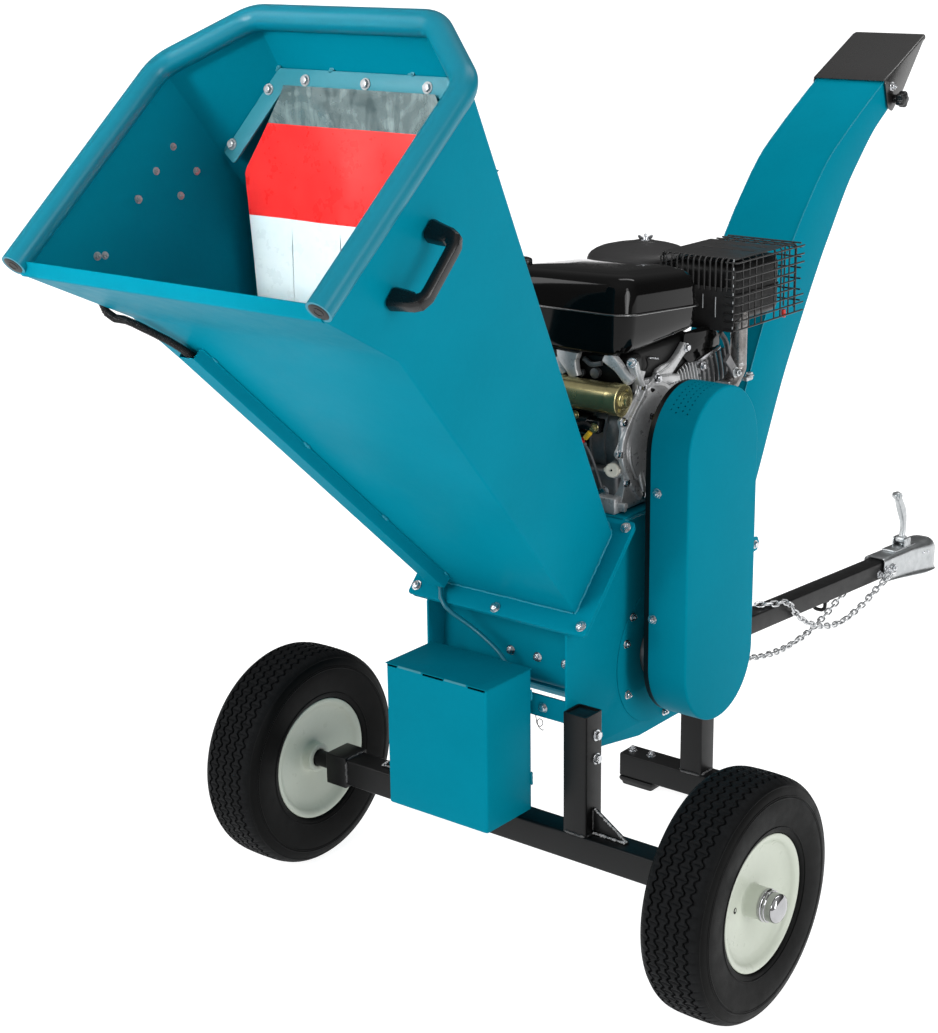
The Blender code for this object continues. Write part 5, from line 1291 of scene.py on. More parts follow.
def build_handle(side):
    s = 1 if side == "right" else -1
    a, b = on_wall(-0.503, 1.325, 0.0016, s), on_wall(-0.577, 1.247, 0.0016, s)
    n = Vector((s * RW_N.x, RW_N.y, RW_N.z))
    d = (b - a).normalized()
    w = n.cross(d).normalized()
    out = []
    L = (b - a).length
    # one moulding: two wedge feet and a grip between them, with bevelled corners
    sec_n = 8

    def sec(cn, hw, hh):
        c = min(hw, hh) * 0.42
        return [(-hw + c, -hh), (hw - c, -hh), (hw, -hh + c), (hw, hh - c), (hw - c, hh), (-hw + c, hh), (-hw, hh - c), (-hw, -hh + c)]

    def ring(p, along, across, hw, hh):
        return [p + across * x + along * y for x, y in sec(None, hw, hh)]

    rows = []
    # up out of the wall at foot a, round the corner, along the grip, down to the wall at foot b
    up_ = n
    a = a + d * 0.0045
    ft, gw, gh = 0.0112, 0.0098, 0.0082
    rows.append(ring(a - d * 0.0030, -d, w, ft, 0.0150))
    rows.append(ring(a - d * 0.0028 + up_ * 0.004, -d, w, ft, 0.0150))
    rows.append(ring(a - d * 0.0010 + up_ * 0.020, -d, w, ft, 0.0132))
    rows.append(ring(a + d * 0.0000 + up_ * 0.0335, (-d * 0.97 + up_ * 0.24).normalized(), w, ft - 0.0004, 0.0118))
    rows.append(ring(a + d * 0.0020 + up_ * 0.0405, (-d * 0.72 + up_ * 0.70).normalized(), w, gw + 0.0006, 0.0108))
    rows.append(ring(a + d * 0.0110 + up_ * 0.0462, (-d * 0.20 + up_ * 0.98).normalized(), w, gw, gh + 0.0006))
    for f in (0.20, 0.40, 0.60, 0.80):
        rows.append(ring(a.lerp(b, f) + up_ * 0.0468, up_, w, gw, gh))
    rows.append(ring(b - d * 0.0110 + up_ * 0.0462, (d * 0.20 + up_ * 0.98).normalized(), w, gw, gh + 0.0006))
    rows.append(ring(b - d * 0.0020 + up_ * 0.0405, (d * 0.72 + up_ * 0.70).normalized(), w, gw + 0.0006, 0.0108))
    rows.append(ring(b - d * 0.0000 + up_ * 0.0335, (d * 0.97 + up_ * 0.24).normalized(), w, ft - 0.0004, 0.0118))
    rows.append(ring(b + d * 0.0010 + up_ * 0.020, d, w, ft, 0.0132))
    rows.append(ring(b + d * 0.0028 + up_ * 0.004, d, w, ft, 0.0150))
    rows.append(ring(b + d * 0.0030, d, w, ft, 0.0150))
    ob = outward(loft("handle", rows, caps=(True, True)))
    ob = bevelled(ob, 0.0010, 2, 25)
    ride(painted(ob, PLASTIC), "machine", None, ["handle_" + side], angle=40)
    ob.name = "handle_%s_moulding" % side
    # screws through the wall, seen inside
    bolts = []
    for p in (a, b):
        q = p - n * 0.0048
        bolts += hexbolt(q, -n, 0.0042, 0.0034, washer=0.0062, stub=0.0030)
    return bolts


def build_curtain(bolts):
    # bar with a leg down each chamfer, leaning back
    lean = math.radians(12.5)
    bm_ = frame_m(Vector((0, -0.337, 1.373)), Vector((1, 0, 0)), Vector((0, math.sin(lean), math.cos(lean))), Vector((0, -math.cos(lean), math.sin(lean))))
    outline = [(-0.2610, 0.0000), (-0.2370, -0.0165), (-0.1500, 0.1010), (0.1500, 0.1010), (0.2370, -0.0165), (0.2610, 0.0000), (0.1640, 0.1310), (-0.1640, 0.1310)]
    out = [plate("bar", round_loop(outline, [0.004, 0.006, 0.004, 0.004, 0.006, 0.004, 0.005, 0.005], 3), 0.0040, bm_, edge=0.0006)]

    def bp(u, v, d=0.0022):
        return bm_ @ Vector((u, v, d))

    nb = (bm_.to_3x3() @ Vector((0, 0, 1))).normalized()
    for u, v in ((-0.2440, 0.0130), (-0.1800, 0.0985), (-0.1080, 0.1150), (0.0100, 0.1150), (0.1260, 0.1150), (0.1900, 0.0850), (0.2440, 0.0130)):
        bolts += hexbolt(bp(u, v), nb, 0.0056, 0.0046, washer=0.0088)
    # small welded tabs between the bar and the top panel
    tabs = []
    for u, v, r in ((-0.060, 0.1310, 0.2), (0.092, 0.1310, -0.3), (-0.166, 0.1300, 0.7), (0.166, 0.1300, -0.7), (-0.2560, 0.0060, 1.1), (0.2560, 0.0060, -1.1)):
        c, s_ = math.cos(r), math.sin(r)
        p = [(u - 0.0042 * c, v - 0.0042 * s_ - 0.002), (u + 0.0042 * c, v + 0.0042 * s_ - 0.002), (u + 0.0030 * c - 0.010 * s_, v + 0.010 * c), (u - 0.0030 * c - 0.010 * s_, v + 0.010 * c)]
        tabs.append(plate("tab", p, 0.0030, bm_ @ Matrix.Translation((0, 0, -0.001)), edge=0.0005))
        tabs.append(weld("w", [bp(u - 0.0058 * c, v - 0.0058 * s_, 0.0016), bp(u + 0.0058 * c, v + 0.0058 * s_, 0.0016)], 0.0022, seed=int(100 + u * 90), rough=0.7))
    ride(painted(merge("curtain_bar_plate", out + tabs), TEAL_BAR), "machine", None, ["curtain_bar"])

    # curtain: one film with a clear band, a red band and white flaps parted by slits
    y0 = -0.322
    ztop, zbot = 1.4780, 0.9920
    slits = (-0.2150, -0.1390, -0.0380, 0.0500, 0.1320)
    z_slit = 1.2660
    z_red, z_white = 1.4205, 1.2805

    def half(z):
        pts = [(0.9900, 0.2050), (1.3450, 0.2330), (1.4660, 0.1510), (1.4800, 0.1450)]
        for (z0, w0), (z1, w1) in zip(pts, pts[1:]):
            if z <= z1:
                return w0 + (w1 - w0) * (z - z0) / (z1 - z0)
        return pts[-1][1]

    def wave(x, z):
        d = max(0.0, 1.47 - z)
        return (0.0016 * math.sin(x * 31 + 1.2 + z * 4) * min(1.0, d / 0.10) + 0.0022 * math.sin(x * 13 - 0.7) * min(1.0, d / 0.20)
                + 0.0010 * noise.noise(Vector((x * 14, z * 9, 0.3))) * min(1.0, d / 0.05))

    zs = [ztop - (ztop - z_red) * k / 8 for k in range(8)] + [z_red - (z_red - z_white) * k / 16 for k in range(16)]
    zs += [z_white - 0.0016, z_white - 0.0032] + [z_white - 0.006 - (z_white - 0.006 - z_slit) * k / 3 for k in range(3)]
    below = [z_slit - (z_slit - zbot) * k / 34 for k in range(35)]
    edges = [-1e9] + list(slits) + [1e9]
    verts, faces, mats = [], [], []
    NX = 60

    def grid(x_of, zz, shift, gap_l, gap_r, tilt=0.0):
        base = len(verts)
        rows_ = len(zz)
        for z in zz:
            a, b = x_of(z)
            a += gap_l(z)
            b -= gap_r(z)
            for i in range(NX + 1):
                x = a + (b - a) * i / NX
                sag = 0.0020 * math.sin(math.pi * (x + 0.24) / 0.48)
                y = y0 + wave(x, z) + shift(x, z)
                verts.append((x, y, z))
        for r in range(rows_ - 1):
            zc = (zz[r] + zz[r + 1]) / 2
            m = 0 if zc > z_red else (1 if zc > z_white else (3 if zc > z_white - 0.0016 else 2))
            for i in range(NX):
                k = base + r * (NX + 1) + i
                faces.append((k, k + NX + 1, k + NX + 2, k + 1))
                mats.append(m)

    none = lambda z: 0.0
    grid(lambda z: (-half(z), half(z)), zs + [z_slit], lambda x, z: 0.0, none, none)
    g = random.Random(12)
    for a, b in zip(edges, edges[1:]):
        if a == -1e9 and b < -0.21:
            continue
        twist, push = g.uniform(-0.010, 0.010), g.uniform(-0.004, 0.005)
        lo = a if a > -0.21 else -1e9
        xc = (max(a, -0.2) + min(b, 0.2)) / 2
        f = lambda x, z, twist=twist, push=push, xc=xc: (z_slit - z) / 0.27 * (push + twist * (x - xc) / 0.05 * 0.6)
        opens = lambda z: 0.0010 * min(1.0, (z_slit - z) / 0.03) + 0.0015 * (z_slit - z) / 0.27
        grid(lambda z, lo=lo, b=b: (max(lo, -half(z)), min(b, half(z))), below, f,
             opens if lo > -1e8 else none, opens if b < 1e8 else none)
    ob = mesh("curtain_film", verts, faces)
    for m_ in (FILM, VINYL_RED, VINYL_WHITE, VINYL_EDGE):
        ob.data.materials.append(m_)
    ob.data.polygons.foreach_set("material_index", mats)
    bm = bmesh.new()
    bm.from_mesh(ob.data)
    bmesh.ops.remove_doubles(bm, verts=bm.verts, dist=0.00002)
    bm.to_mesh(ob.data)
    bm.free()
    ob = thick(ob, 0.0010, 0.0, False)
    ob.name = "curtain_film"
    ride(ob, "curtain", None, ["hopper_curtain"], angle=60)


def build_switch(bolts):
    sy, sz = -0.4475, 1.3510
    cen = on_wall(sy, sz, 0.0, -1)
    nl = Vector((-RW_N.x, RW_N.y, RW_N.z))
    t1 = (EU - nl * EU.dot(nl)).normalized()
    t2 = nl.cross(t1)
    m_ = frame_m(cen + nl * 0.0275, t1, t2, nl)
    out = [rbox("case", (-0.0398, -0.0358, -0.0248), (0.0398, 0.0358, 0.0180), 0.0050, 4, m_), rbox("lid", (-0.0398, -0.0358, 0.0184), (0.0398, 0.0358, 0.0248), 0.0026, 3, m_),
           lathe("ring", [(0.0118, 0.0), (0.0118, 0.0018), (0.0130, 0.0026), (0.0155, 0.0022), (0.0165, 0.0), (0.0150, -0.002), (0.0125, -0.002)], m_ @ Vector((0, 0, 0.0246)), nl, 40, closed=True)]
    for k in range(4):
        out.append(rbox("rib", (-0.030 + k * 0.005, 0.0240, 0.0236), (-0.0275 + k * 0.005, 0.0315, 0.0254), 0.0006, 2, m_))
    ride(painted(merge("switch_case", out), PLASTIC), "machine", None, ["switch_box"])
    scr = []
    for a in (-0.034, 0.034):
        for b in (-0.030, 0.030):
            scr += panhead(m_ @ Vector((a, b, 0.0240)), nl, 0.0030, 0.0018)
    ride(painted(merge("switch_screws", scr), ZINC), "machine")
    kp = cen + nl * 0.0529
    km = frame_m(kp, t1, t2, nl)
    key = [lathe("barrel", [(0, 0.0064), (0.0098, 0.0064), (0.0108, 0.0056), (0.0108, 0.0006), (0.0102, 0.0), (0, 0.0)], kp, nl, 40), rbox("bow", (-0.0098, -0.0019, 0.0050), (0.0098, 0.0019, 0.0255), 0.0014, 3, km),
           rod("grip", km @ Vector((-0.0060, 0.0, 0.0215)), km @ Vector((0.0060, 0.0, 0.0215)), 0.0030, 20)]
    ride(painted(merge("key_moulding", key), PLASTIC), "start_key", None, ["start_key"])
    # fixing bolts inside the left wall
    inner = -nl
    for y, z in ((-0.4269, 1.3889), (-0.4645, 1.3568), (-0.3900, 1.3492), (-0.4262, 1.3165)):
        p = on_wall(y, z, 0.0, -1) + inner * 0.0046
        bolts += hexbolt(p, inner, 0.0040, 0.0034, washer=0.0060, stub=0.0026)
    for y, z in ((-0.5040, 1.3197), (-0.5910, 1.2476)):
        p = on_wall(y, z, 0.0, -1) + inner * 0.0046
        bolts += hexbolt(p, inner, 0.0042, 0.0036, washer=0.0064, stub=0.0030)
    return cen, nl, t1


def build_lead(cen, nl, t1):
    fa = (THROAT[0] + THROAT[5]) / 2
    fb = (MID[0] + MID[5]) / 2
    run = (fb - fa).normalized()
    down = Vector((0.0, run.z, -run.y))
    if down.z > 0:
        down = -down
    top = fa + run * 0.712 + Vector((-0.1820, 0, 0))
    low = fa + run * 0.022 + Vector((-0.1190, 0, 0))
    line = (top - low).normalized()
    wide = line.cross(down).normalized()

    # channel: a folded strip with feet
    def row(p, f=1.0, lift=0.0):
        prof = [(-0.0330, 0.0010), (-0.0264, 0.0010), (-0.0246, 0.0028), (-0.0232, 0.0165), (-0.0214, 0.0188), (0.0214, 0.0188), (0.0232, 0.0165), (0.0246, 0.0028), (0.0264, 0.0010), (0.0330, 0.0010)]
        prof = [(a * 0.76, b) for a, b in prof]
        return [p + wide * a + down * (b * f + lift) for a, b in prof]

    rows = [row(low.lerp(top, k / 16)) for k in range(17)]
    ch = thick(outward(loft("channel", rows, closed=False)), 0.0015, 0.0, False)
    out = [ch]
    ride(painted(merge("lead_channel", out), TEAL), "machine", None, ["cable_channel"])
    beads = []
    for f in (0.30, 0.62):
        c = low.lerp(top, f)
        for s in (-1, 1):
            beads.append(weld("w", [c + wide * (s * 0.0268) - line * 0.009 + down * 0.0014, c + wide * (s * 0.0268) + line * 0.009 + down * 0.0014], 0.0026, seed=int(120 + f * 30 + s), rough=0.7))
    for f in (0.03, 0.96):
        c = low.lerp(top, f)
        for s in (-1, 1):
            beads.append(weld("w", [c + wide * (s * 0.0268) - line * 0.006 + down * 0.0014, c + wide * (s * 0.0268) + line * 0.006 + down * 0.0014], 0.0022, seed=int(130 + f * 30 + s), rough=0.6))
    ride(merge("channel_welds", [painted(b, TEAL_WELD_LIT) for b in beads]), "machine", angle=60)

    inside = [low + (top - low) * f + down * 0.0100 for f in (0.97, 0.75, 0.5, 0.25, 0.03)]
    p0 = cen - t1 * 0.0403 + nl * 0.0200
    first = [p0, p0 - t1 * 0.020, p0 - t1 * 0.060 + nl * 0.002, Vector((-0.2990, -0.5560, 1.2280)), Vector((-0.2880, -0.5790, 1.1860)), Vector((-0.2700, -0.5800, 1.1590)), Vector((-0.2400, -0.5740, 1.1545)),
             Vector((-0.2310, -0.5560, 1.1430)), Vector((-0.2190, -0.5400, 1.1310)), Vector((-0.1990, -0.5262, 1.1180))]
    tail = [fl(-0.1180, 0.0080, -0.0150), fl(-0.1130, -0.0060, -0.0090), fl(-0.1060, -0.0180, -0.0060), fl(-0.0980, -0.0240, -0.0010), fl(-0.0860, -0.0290, 0.0110),
            Vector((-0.0500, -0.0110, 0.5500)), Vector((-0.0100, -0.0095, 0.5280)), Vector((0.0160, -0.0095, 0.5080)), Vector((0.0260, -0.0100, 0.4860)), Vector((0.0280, -0.0104, 0.4700)), Vector((0.0286, -0.0106, 0.4500))]
    route = smooth(first + inside + tail, 72)
    # corrugated sleeve down into the channel, bare lead below it
    cut = [i for i, p in enumerate(route) if (p - inside[1]).length == min((q - inside[1]).length for q in route)][0]
    sleeve = resample(route[:cut + 1], 760)
    sc = [1.0 if (i // 2) % 2 else 0.84 for i in range(760)]
    a = tube("start_lead_sleeve", sleeve, 0.0064, 16, scale=sc)
    ride(painted(a, RUBBER), "machine", None, ["start_lead"], angle=24)
    b = tube("start_lead_core", resample(route[cut:], 260), 0.0041, 14)
    ride(painted(b, LEAD), "machine")
    # gland where the sleeve leaves the switch box
    gl = lathe("lead_gland", [(0, 0.012), (0.0060, 0.012), (0.0074, 0.0105), (0.0080, 0.002), (0.0092, 0.001), (0.0092, -0.002), (0, -0.002)], p0 + t1 * 0.0006, -t1, 24)
    ride(painted(gl, PLASTIC), "machine")


LEAD = coat("lead_jacket", (0.0008, 0.105, 0.150), (0.0020, 0.145, 0.205), 0.30, 0.40, 0.10, 900.0)
build_shell()
_bolts = build_handle("right") + build_handle("left")
_bolts += [b for b in []]
build_curtain(_bolts)
_place = build_switch(_bolts)
build_lead(*_place)
ride(painted(merge("hopper_bolts", _bolts), BOLT_GREY), "machine")


# ================================================================== rotor housing
ROTOR_Y, ROTOR_Z = 0.260, 0.478
CRANK_Y, CRANK_Z = 0.262, 0.855
DECK_Z = 0.7403


def build_side_plates():
    top = FO + ED * 0.0107
    k = math.tan(SLOPE)
    deck = DECK_Z - 0.0053
    z_front = top.z + (-0.012 - top.y) * k
    y_deck = top.y + (deck - top.z) / k
    outline = [(-0.012, 0.360), (0.100, 0.345), (0.205, 0.327), (0.300, 0.327), (0.470, 0.3270), (0.520, 0.375),
               (0.575, 0.500), (0.560, 0.600), (0.472, deck), (y_deck, deck), (-0.012, z_front)]
    rads = [0.004, 0.06, 0.05, 0.010, 0.050, 0.030, 0.060, 0.040, 0.012, 0.010, 0.003]
    for side, s in (("left", -1), ("right", 1)):
        shape = round_loop(outline, rads, 6)
        hole = [(ROTOR_Y + 0.0215 * math.cos(2 * math.pi * i / 48), ROTOR_Z + 0.0215 * math.sin(2 * math.pi * i / 48)) for i in range(48)]
        p = plate("side", shape, 0.0040, planar("YZ", (s * 0.1475, 0, 0)), [hole], edge=0.0006)
        # round bearing plate bolted on the outside, cut off by the plate's lower edge
        ring = []
        for i in range(96):
            a = 2 * math.pi * i / 96
            y, z = 0.262 + 0.1285 * math.cos(a), 0.470 + 0.1285 * math.sin(a)
            ring.append((y, max(z, 0.3425)))
        hole = [(ROTOR_Y + 0.0580 * math.cos(2 * math.pi * i / 64), ROTOR_Z + 0.0580 * math.sin(2 * math.pi * i / 64)) for i in range(64)]
        disc = plate("disc", ring, 0.0016, planar("YZ", (s * 0.1502, 0, 0)), [hole], edge=0.0007)
        ride(painted(merge("side_plate_%s_sheet" % side, [p, disc]), TEAL), "machine", None, ["side_plate_" + side], angle=30)
        bolts = []
        n = Vector((s, 0, 0))
        for y, z in ((0.177, 0.557), (0.159, 0.513), (0.164, 0.418), (0.282, 0.3480), (0.365, 0.545), (0.372, 0.420)):
            bolts += hexbolt(Vector((s * 0.1512, y, z)), n, 0.0050, 0.0046, washer=0.0078, stub=0.0034)
        bolts += hexbolt(Vector((s * 0.1497, 0.157, 0.7210)), n, 0.0058, 0.0046, washer=0.0090)
        ride(painted(merge("housing_bolts_" + side, bolts), ZINC), "machine")
    # small tab with a bolt behind the belt cover
    tab = [plate("tab", round_loop([(0.560, 0.5600), (0.606, 0.5640), (0.613, 0.5760), (0.606, 0.5900), (0.556, 0.5940)], 0.005, 3), 0.0030, planar("YZ", (0.1412, 0, 0)), edge=0.0006)]
    ride(painted(merge("housing_tab", tab), TEAL), "machine")
    ride(painted(merge("housing_tab_bolt", hexbolt(Vector((0.1430, 0.5960, 0.5770)), Vector((1, 0, 0)), 0.0052, 0.0046, washer=0.0084)), ZINC), "machine")


def build_front():
    # recessed front panel under the flange, folded along its foot
    prof = [(0.0640, 0.6500), (0.0520, 0.6060), (0.0400, 0.5640), (0.0335, 0.5380), (0.0318, 0.5240), (0.0310, 0.5000), (0.0308, 0.4790),
            (0.0318, 0.4715), (0.0350, 0.4655), (0.0400, 0.4610), (0.0470, 0.4590), (0.0600, 0.4585)]
    rows = [[Vector((x, y, z)) for y, z in prof] for x in [-0.1450 + 0.2900 * i / 16 for i in range(17)]]
    panel = thick(outward(loft("panel", rows, closed=False)), 0.0025, 0.0, False)
    ride(painted(merge("front_panel", [panel]), TEAL), "machine", angle=25)
    bolts = []
    for x in (0.0020, 0.0590, 0.1170):
        bolts += hexbolt(Vector((x, 0.0298, 0.5085)), Vector((0, -1, 0.02)), 0.0056, 0.0048, washer=0.0086, stub=0.0040)
    beam = plate("cross", round_loop([(-0.1450, 0.4180), (0.1450, 0.4180), (0.1450, 0.4570), (-0.1450, 0.4570)], 0.0015, 2), 0.0045, planar("XZ", (0, -0.00175, 0)), edge=0.0006)
    ride(painted(merge("cross_bar_flat", [beam]), TEAL), "machine", None, ["cross_bar"])
    bolts += hexbolt(Vector((0.0950, -0.0042, 0.4360)), Vector((0, -1, 0)), 0.0058, 0.0050, washer=0.0090)
    bolts += hexbolt(Vector((-0.1050, -0.0042, 0.4360)), Vector((0, -1, 0)), 0.0058, 0.0050, washer=0.0090)
    # hopper flange bolts
    for x, u in ((-0.1744, 0.0), (0.0, -0.0040), (0.1744, 0.0), (-0.1744, 0.1870), (0.1744, 0.1870)):
        bolts += hexbolt(fl(x, u, -0.0002), -ED, 0.0060, 0.0052, washer=0.0094, stub=0.0022)
    for x, u in ((-0.1744, 0.0), (0.0, -0.0040), (0.1744, 0.0), (-0.1744, 0.1870), (0.1744, 0.1870)):
        bolts += hexbolt(fl(x, u, 0.0106), ED, 0.0060, 0.0050, washer=0.0, stub=0.0040)
    ride(painted(merge("housing_front_bolts", bolts), ZINC), "machine")
    # housing flange ring and the duct behind it
    fm = frame_m(fl(0, 0, 0.0078), Vector((1, 0, 0)), EU, -ED)
    hole = round_loop([(-0.1340, U0 + 0.0012), (0.1340, U0 + 0.0012), (0.1340, U1 - 0.0012), (-0.1340, U1 - 0.0012)], 0.002, 2)
    ring = plate("ring", round_loop([(-0.187, -0.0165), (0.187, -0.0165), (0.187, 0.200), (-0.187, 0.200)], 0.012, 5), 0.0050, fm, [hole], edge=0.0007)
    rows = []
    for d in (0.0065, 0.0500, 0.1000, 0.1640):
        rows.append(round_loop([fl(-0.1360, U0, d), fl(0.1360, U0, d), fl(0.1360, U1, d), fl(-0.1360, U1, d)], 0.002, 2))
    duct = thick(outward(loft("duct", rows)), 0.0030, -1.0)
    ride(painted(merge("inlet_throat_sheet", [ring, duct]), TEAL), "machine", None, ["inlet_throat"], angle=30)
    # engine deck
    deck = rbox("deck", (-0.1495, 0.1500, DECK_Z - 0.0050), (0.1495, 0.4720, DECK_Z), 0.0012, 2)
    ride(painted(merge("engine_deck_plate", [deck]), TEAL), "machine", None, ["engine_deck"])
    # beads where deck, flange and side plate meet
    beads = [weld("w", [Vector((0.1500, 0.1540, 0.7345)), Vector((0.1502, 0.1900, 0.7350)), Vector((0.1502, 0.2300, 0.7350))], 0.0026, seed=201, rough=0.7),
             weld("w", [Vector((-0.1500, 0.1540, 0.7345)), Vector((-0.1502, 0.1900, 0.7350)), Vector((-0.1502, 0.2300, 0.7350))], 0.0026, seed=202, rough=0.7),
             weld("w", [fl(0.1500, 0.0, 0.0125), fl(0.1502, 0.050, 0.0125), fl(0.1502, 0.150, 0.0125)], 0.0024, seed=203, rough=0.6),
             weld("w", [fl(-0.1500, 0.0, 0.0125), fl(-0.1502, 0.050, 0.0125), fl(-0.1502, 0.150, 0.0125)], 0.0024, seed=204, rough=0.6),
             weld("w", [Vector((0.1440, -0.0046, 0.4200)), Vector((0.1440, -0.0046, 0.4560))], 0.0020, seed=205, rough=0.7),
             weld("w", [Vector((-0.1440, -0.0046, 0.4200)), Vector((-0.1440, -0.0046, 0.4560))], 0.0020, seed=206, rough=0.7)]
    ride(merge("housing_welds", [painted(b, TEAL_WELD_LIT) for b in beads]), "machine", angle=60)


def stadium(x, r, n=36, low=0.482, high=0.855):
    out = []
    for i in range(n + 1):
        a = math.pi * i / n
        out.append(Vector((x, CRANK_Y + r * math.cos(a), high + r * math.sin(a))))
    for i in range(1, 9):
        out.append(Vector((x, CRANK_Y - r, high + (low - high) * i / 9)))
    for i in range(n + 1):
        a = math.pi * (1 + i / n)
        out.append(Vector((x, CRANK_Y + r * math.cos(a), low + r * math.sin(a))))
    for i in range(1, 9):
        out.append(Vector((x, CRANK_Y + r, low + (high - low) * i / 9)))
    return out


def build_belt_cover():
    R = 0.108
    rings = [(0.2730, 0.1058), (0.2004, 0.1058), (0.2000, 0.1062), (0.2000, 0.1076), (0.2004, 0.1080), (0.2712, 0.1080)]
    for i in range(1, 7):
        a = math.pi / 2 * i / 6
        rings.append((0.2712 + 0.0038 * math.sin(a), R - 0.0038 * (1 - math.cos(a))))
    ob = outward(loft("cover", [stadium(x, r) for x, r in rings], caps=(True, True)))
    # rows of ventilation holes over the top of the band
    cut = []
    for j, x in enumerate((0.2180, 0.2290, 0.2400, 0.2510)):
        for i in range(15):
            a = math.radians(62 + 5.2 * i + (2.6 if j % 2 else 0.0))
            d = Vector((0, math.cos(a), math.sin(a)))
            c = Vector((x, CRANK_Y, 0.855)) + d * 0.1068
            cut.append(rod("vent", c - d * 0.004, c + d * 0.004, 0.0016, 10, 0))
    tool = merge("vent_tool", cut)
    ob = difference(ob, tool)
    ride(painted(merge("belt_cover_sheet", [ob]), TEAL), "machine", None, ["belt_cover"], angle=30)
    bolts = []
    for x, z in ((0.2140, 0.794), (0.2080, 0.572)):
        bolts += hexbolt(Vector((x, 0.1536, z)), Vector((0, -1, 0)), 0.0050, 0.0046, washer=0.0084, stub=0.0024)
    for x, z in ((0.2140, 0.780), (0.2100, 0.560)):
        bolts += hexbolt(Vector((x, 0.3704, z)), Vector((0, 1, 0)), 0.0050, 0.0046, washer=0.0084, stub=0.0024)
    ride(painted(merge("belt_cover_bolts", bolts), ZINC), "machine")
    # painted shade: a black sheet in the gap between the housing and the cover stands for the deep shade there
    ring_ = stadium(0.0, 0.1052)
    gap_shade_sheet = plate("gap_shade_sheet", [(p.y, p.z) for p in ring_], 0.0026, planar("YZ", (0.2035, 0, 0)),
                   [[(ROTOR_Y + 0.040 * math.cos(2 * math.pi * i / 40), ROTOR_Z + 0.040 * math.sin(2 * math.pi * i / 40)) for i in range(40)],
                    [(CRANK_Y + 0.030 * math.cos(2 * math.pi * i / 40), CRANK_Z + 0.030 * math.sin(2 * math.pi * i / 40)) for i in range(40)]], edge=0.0005)
    # its turned-out lip, a black band of painted shade beside the cover's open edge
    rows = [stadium(x, r) for x, r in ((0.2040, 0.1050), (0.1906, 0.1050), (0.1900, 0.1054), (0.1900, 0.1062), (0.1906, 0.1066), (0.1998, 0.1066))]
    lip = outward(loft("lip", rows + [stadium(0.1998, 0.1052), stadium(0.2040, 0.1052)][:0], closed=True))
    lip = thick(lip, 0.0008, 0.0)
    ride(painted(merge("belt_gap_painted_shade", [gap_shade_sheet, lip]), BLACK), "machine", None, ["belt_back_plate"])
    # stand-off tubes that carry the back plate
    tubes = []
    for y, z in ((0.290, 0.700), (0.340, 0.640), (0.300, 0.400), (0.330, 0.560)):
        tubes.append(rod("standoff", (0.1510, y, z), (0.2020, y, z), 0.0065, 24))
    ride(painted(merge("cover_standoffs", tubes), BLACK), "machine")


def difference(ob, tool):
    bpy.context.view_layer.update()
    m_ = ob.modifiers.new("cut", "BOOLEAN")
    m_.operation = "DIFFERENCE"
    m_.solver = "EXACT"
    m_.object = tool
    out = evaluated(ob)
    bpy.data.objects.remove(tool, do_unlink=True)
    return out


# ================================================================== discharge chute
CHUTE_FRONT = [(0.470, 0.545), (0.530, 0.610), (0.590, 0.700), (0.665, 0.860), (0.745, 1.010), (0.816, 1.103),
               (0.866, 1.165), (0.941, 1.243), (1.010, 1.290), (1.090, 1.338), (1.160, 1.377), (1.184, 1.3885)]
CHUTE_BACK = [(0.500, 0.450), (0.615, 0.505), (0.697, 0.636), (0.796, 0.838), (0.874, 0.968), (0.930, 1.055),
              (0.968, 1.108), (1.026, 1.186), (1.074, 1.236), (1.126, 1.284), (1.180, 1.320), (1.204, 1.338)]
CH = 0.075


def build_chute():
    f = smooth([(0, a, b) for a, b in CHUTE_FRONT], 96)
    b_ = smooth([(0, a, b) for a, b in CHUTE_BACK], 96)
    # keep pairs aligned by the corner stations
    def stations(pts, raw):
        idx, j = [], 0
        for y, z in raw:
            j = min(range(len(pts)), key=lambda i: (pts[i].y - y) ** 2 + (pts[i].z - z) ** 2)
            idx.append(j)
        return idx
    fi, bi = stations(f, CHUTE_FRONT), stations(b_, CHUTE_BACK)
    secs, edge_f = [], []
    for k in range(len(CHUTE_FRONT) - 1):
        steps = 6
        for t in range(steps + (1 if k == len(CHUTE_FRONT) - 2 else 0)):
            u = t / steps
            pf = at_index(f, fi[k] + (fi[k + 1] - fi[k]) * u)
            pb = at_index(b_, bi[k] + (bi[k + 1] - bi[k]) * u)
            corners = [Vector((-CH, pf.y, pf.z)), Vector((CH, pf.y, pf.z)), Vector((CH, pb.y, pb.z)), Vector((-CH, pb.y, pb.z))]
            secs.append(round_loop(corners, 0.0022, 3))
            edge_f.append(pf)
    ob = thick(outward(loft("duct", secs)), 0.0025, -1.0)
    ride(painted(merge("chute_sheet", [ob]), TEAL), "machine", None, ["chute"], angle=30)
    # seam beads along both front edges, in the lighter weld teal as a painted highlight of the light line the fold
    # catches
    edge_glint_beads = []
    for s in (-1, 1):
        pts = [Vector((s * (CH - 0.0004), p.y, p.z)) for p in edge_f]
        nrm = []
        for i in range(len(pts)):
            t = (pts[min(i + 1, len(pts) - 1)] - pts[max(i - 1, 0)]).normalized()
            n = Vector((0, -t.z, t.y))
            nrm.append(pts[i] + n * 0.0000)
        edge_glint_beads.append(weld("w", nrm[14:-2], 0.0012, pitch=0.0050, seed=300 + s, rough=0.25))
    ride(merge("chute_edge_glint_beads", [painted(b, TEAL_WELD_LIT) for b in edge_glint_beads]), "machine", angle=60)


def at_index(pts, x):
    i = int(max(0, min(len(pts) - 2, math.floor(x))))
    return pts[i].lerp(pts[i + 1], max(0.0, min(1.0, x - i)))


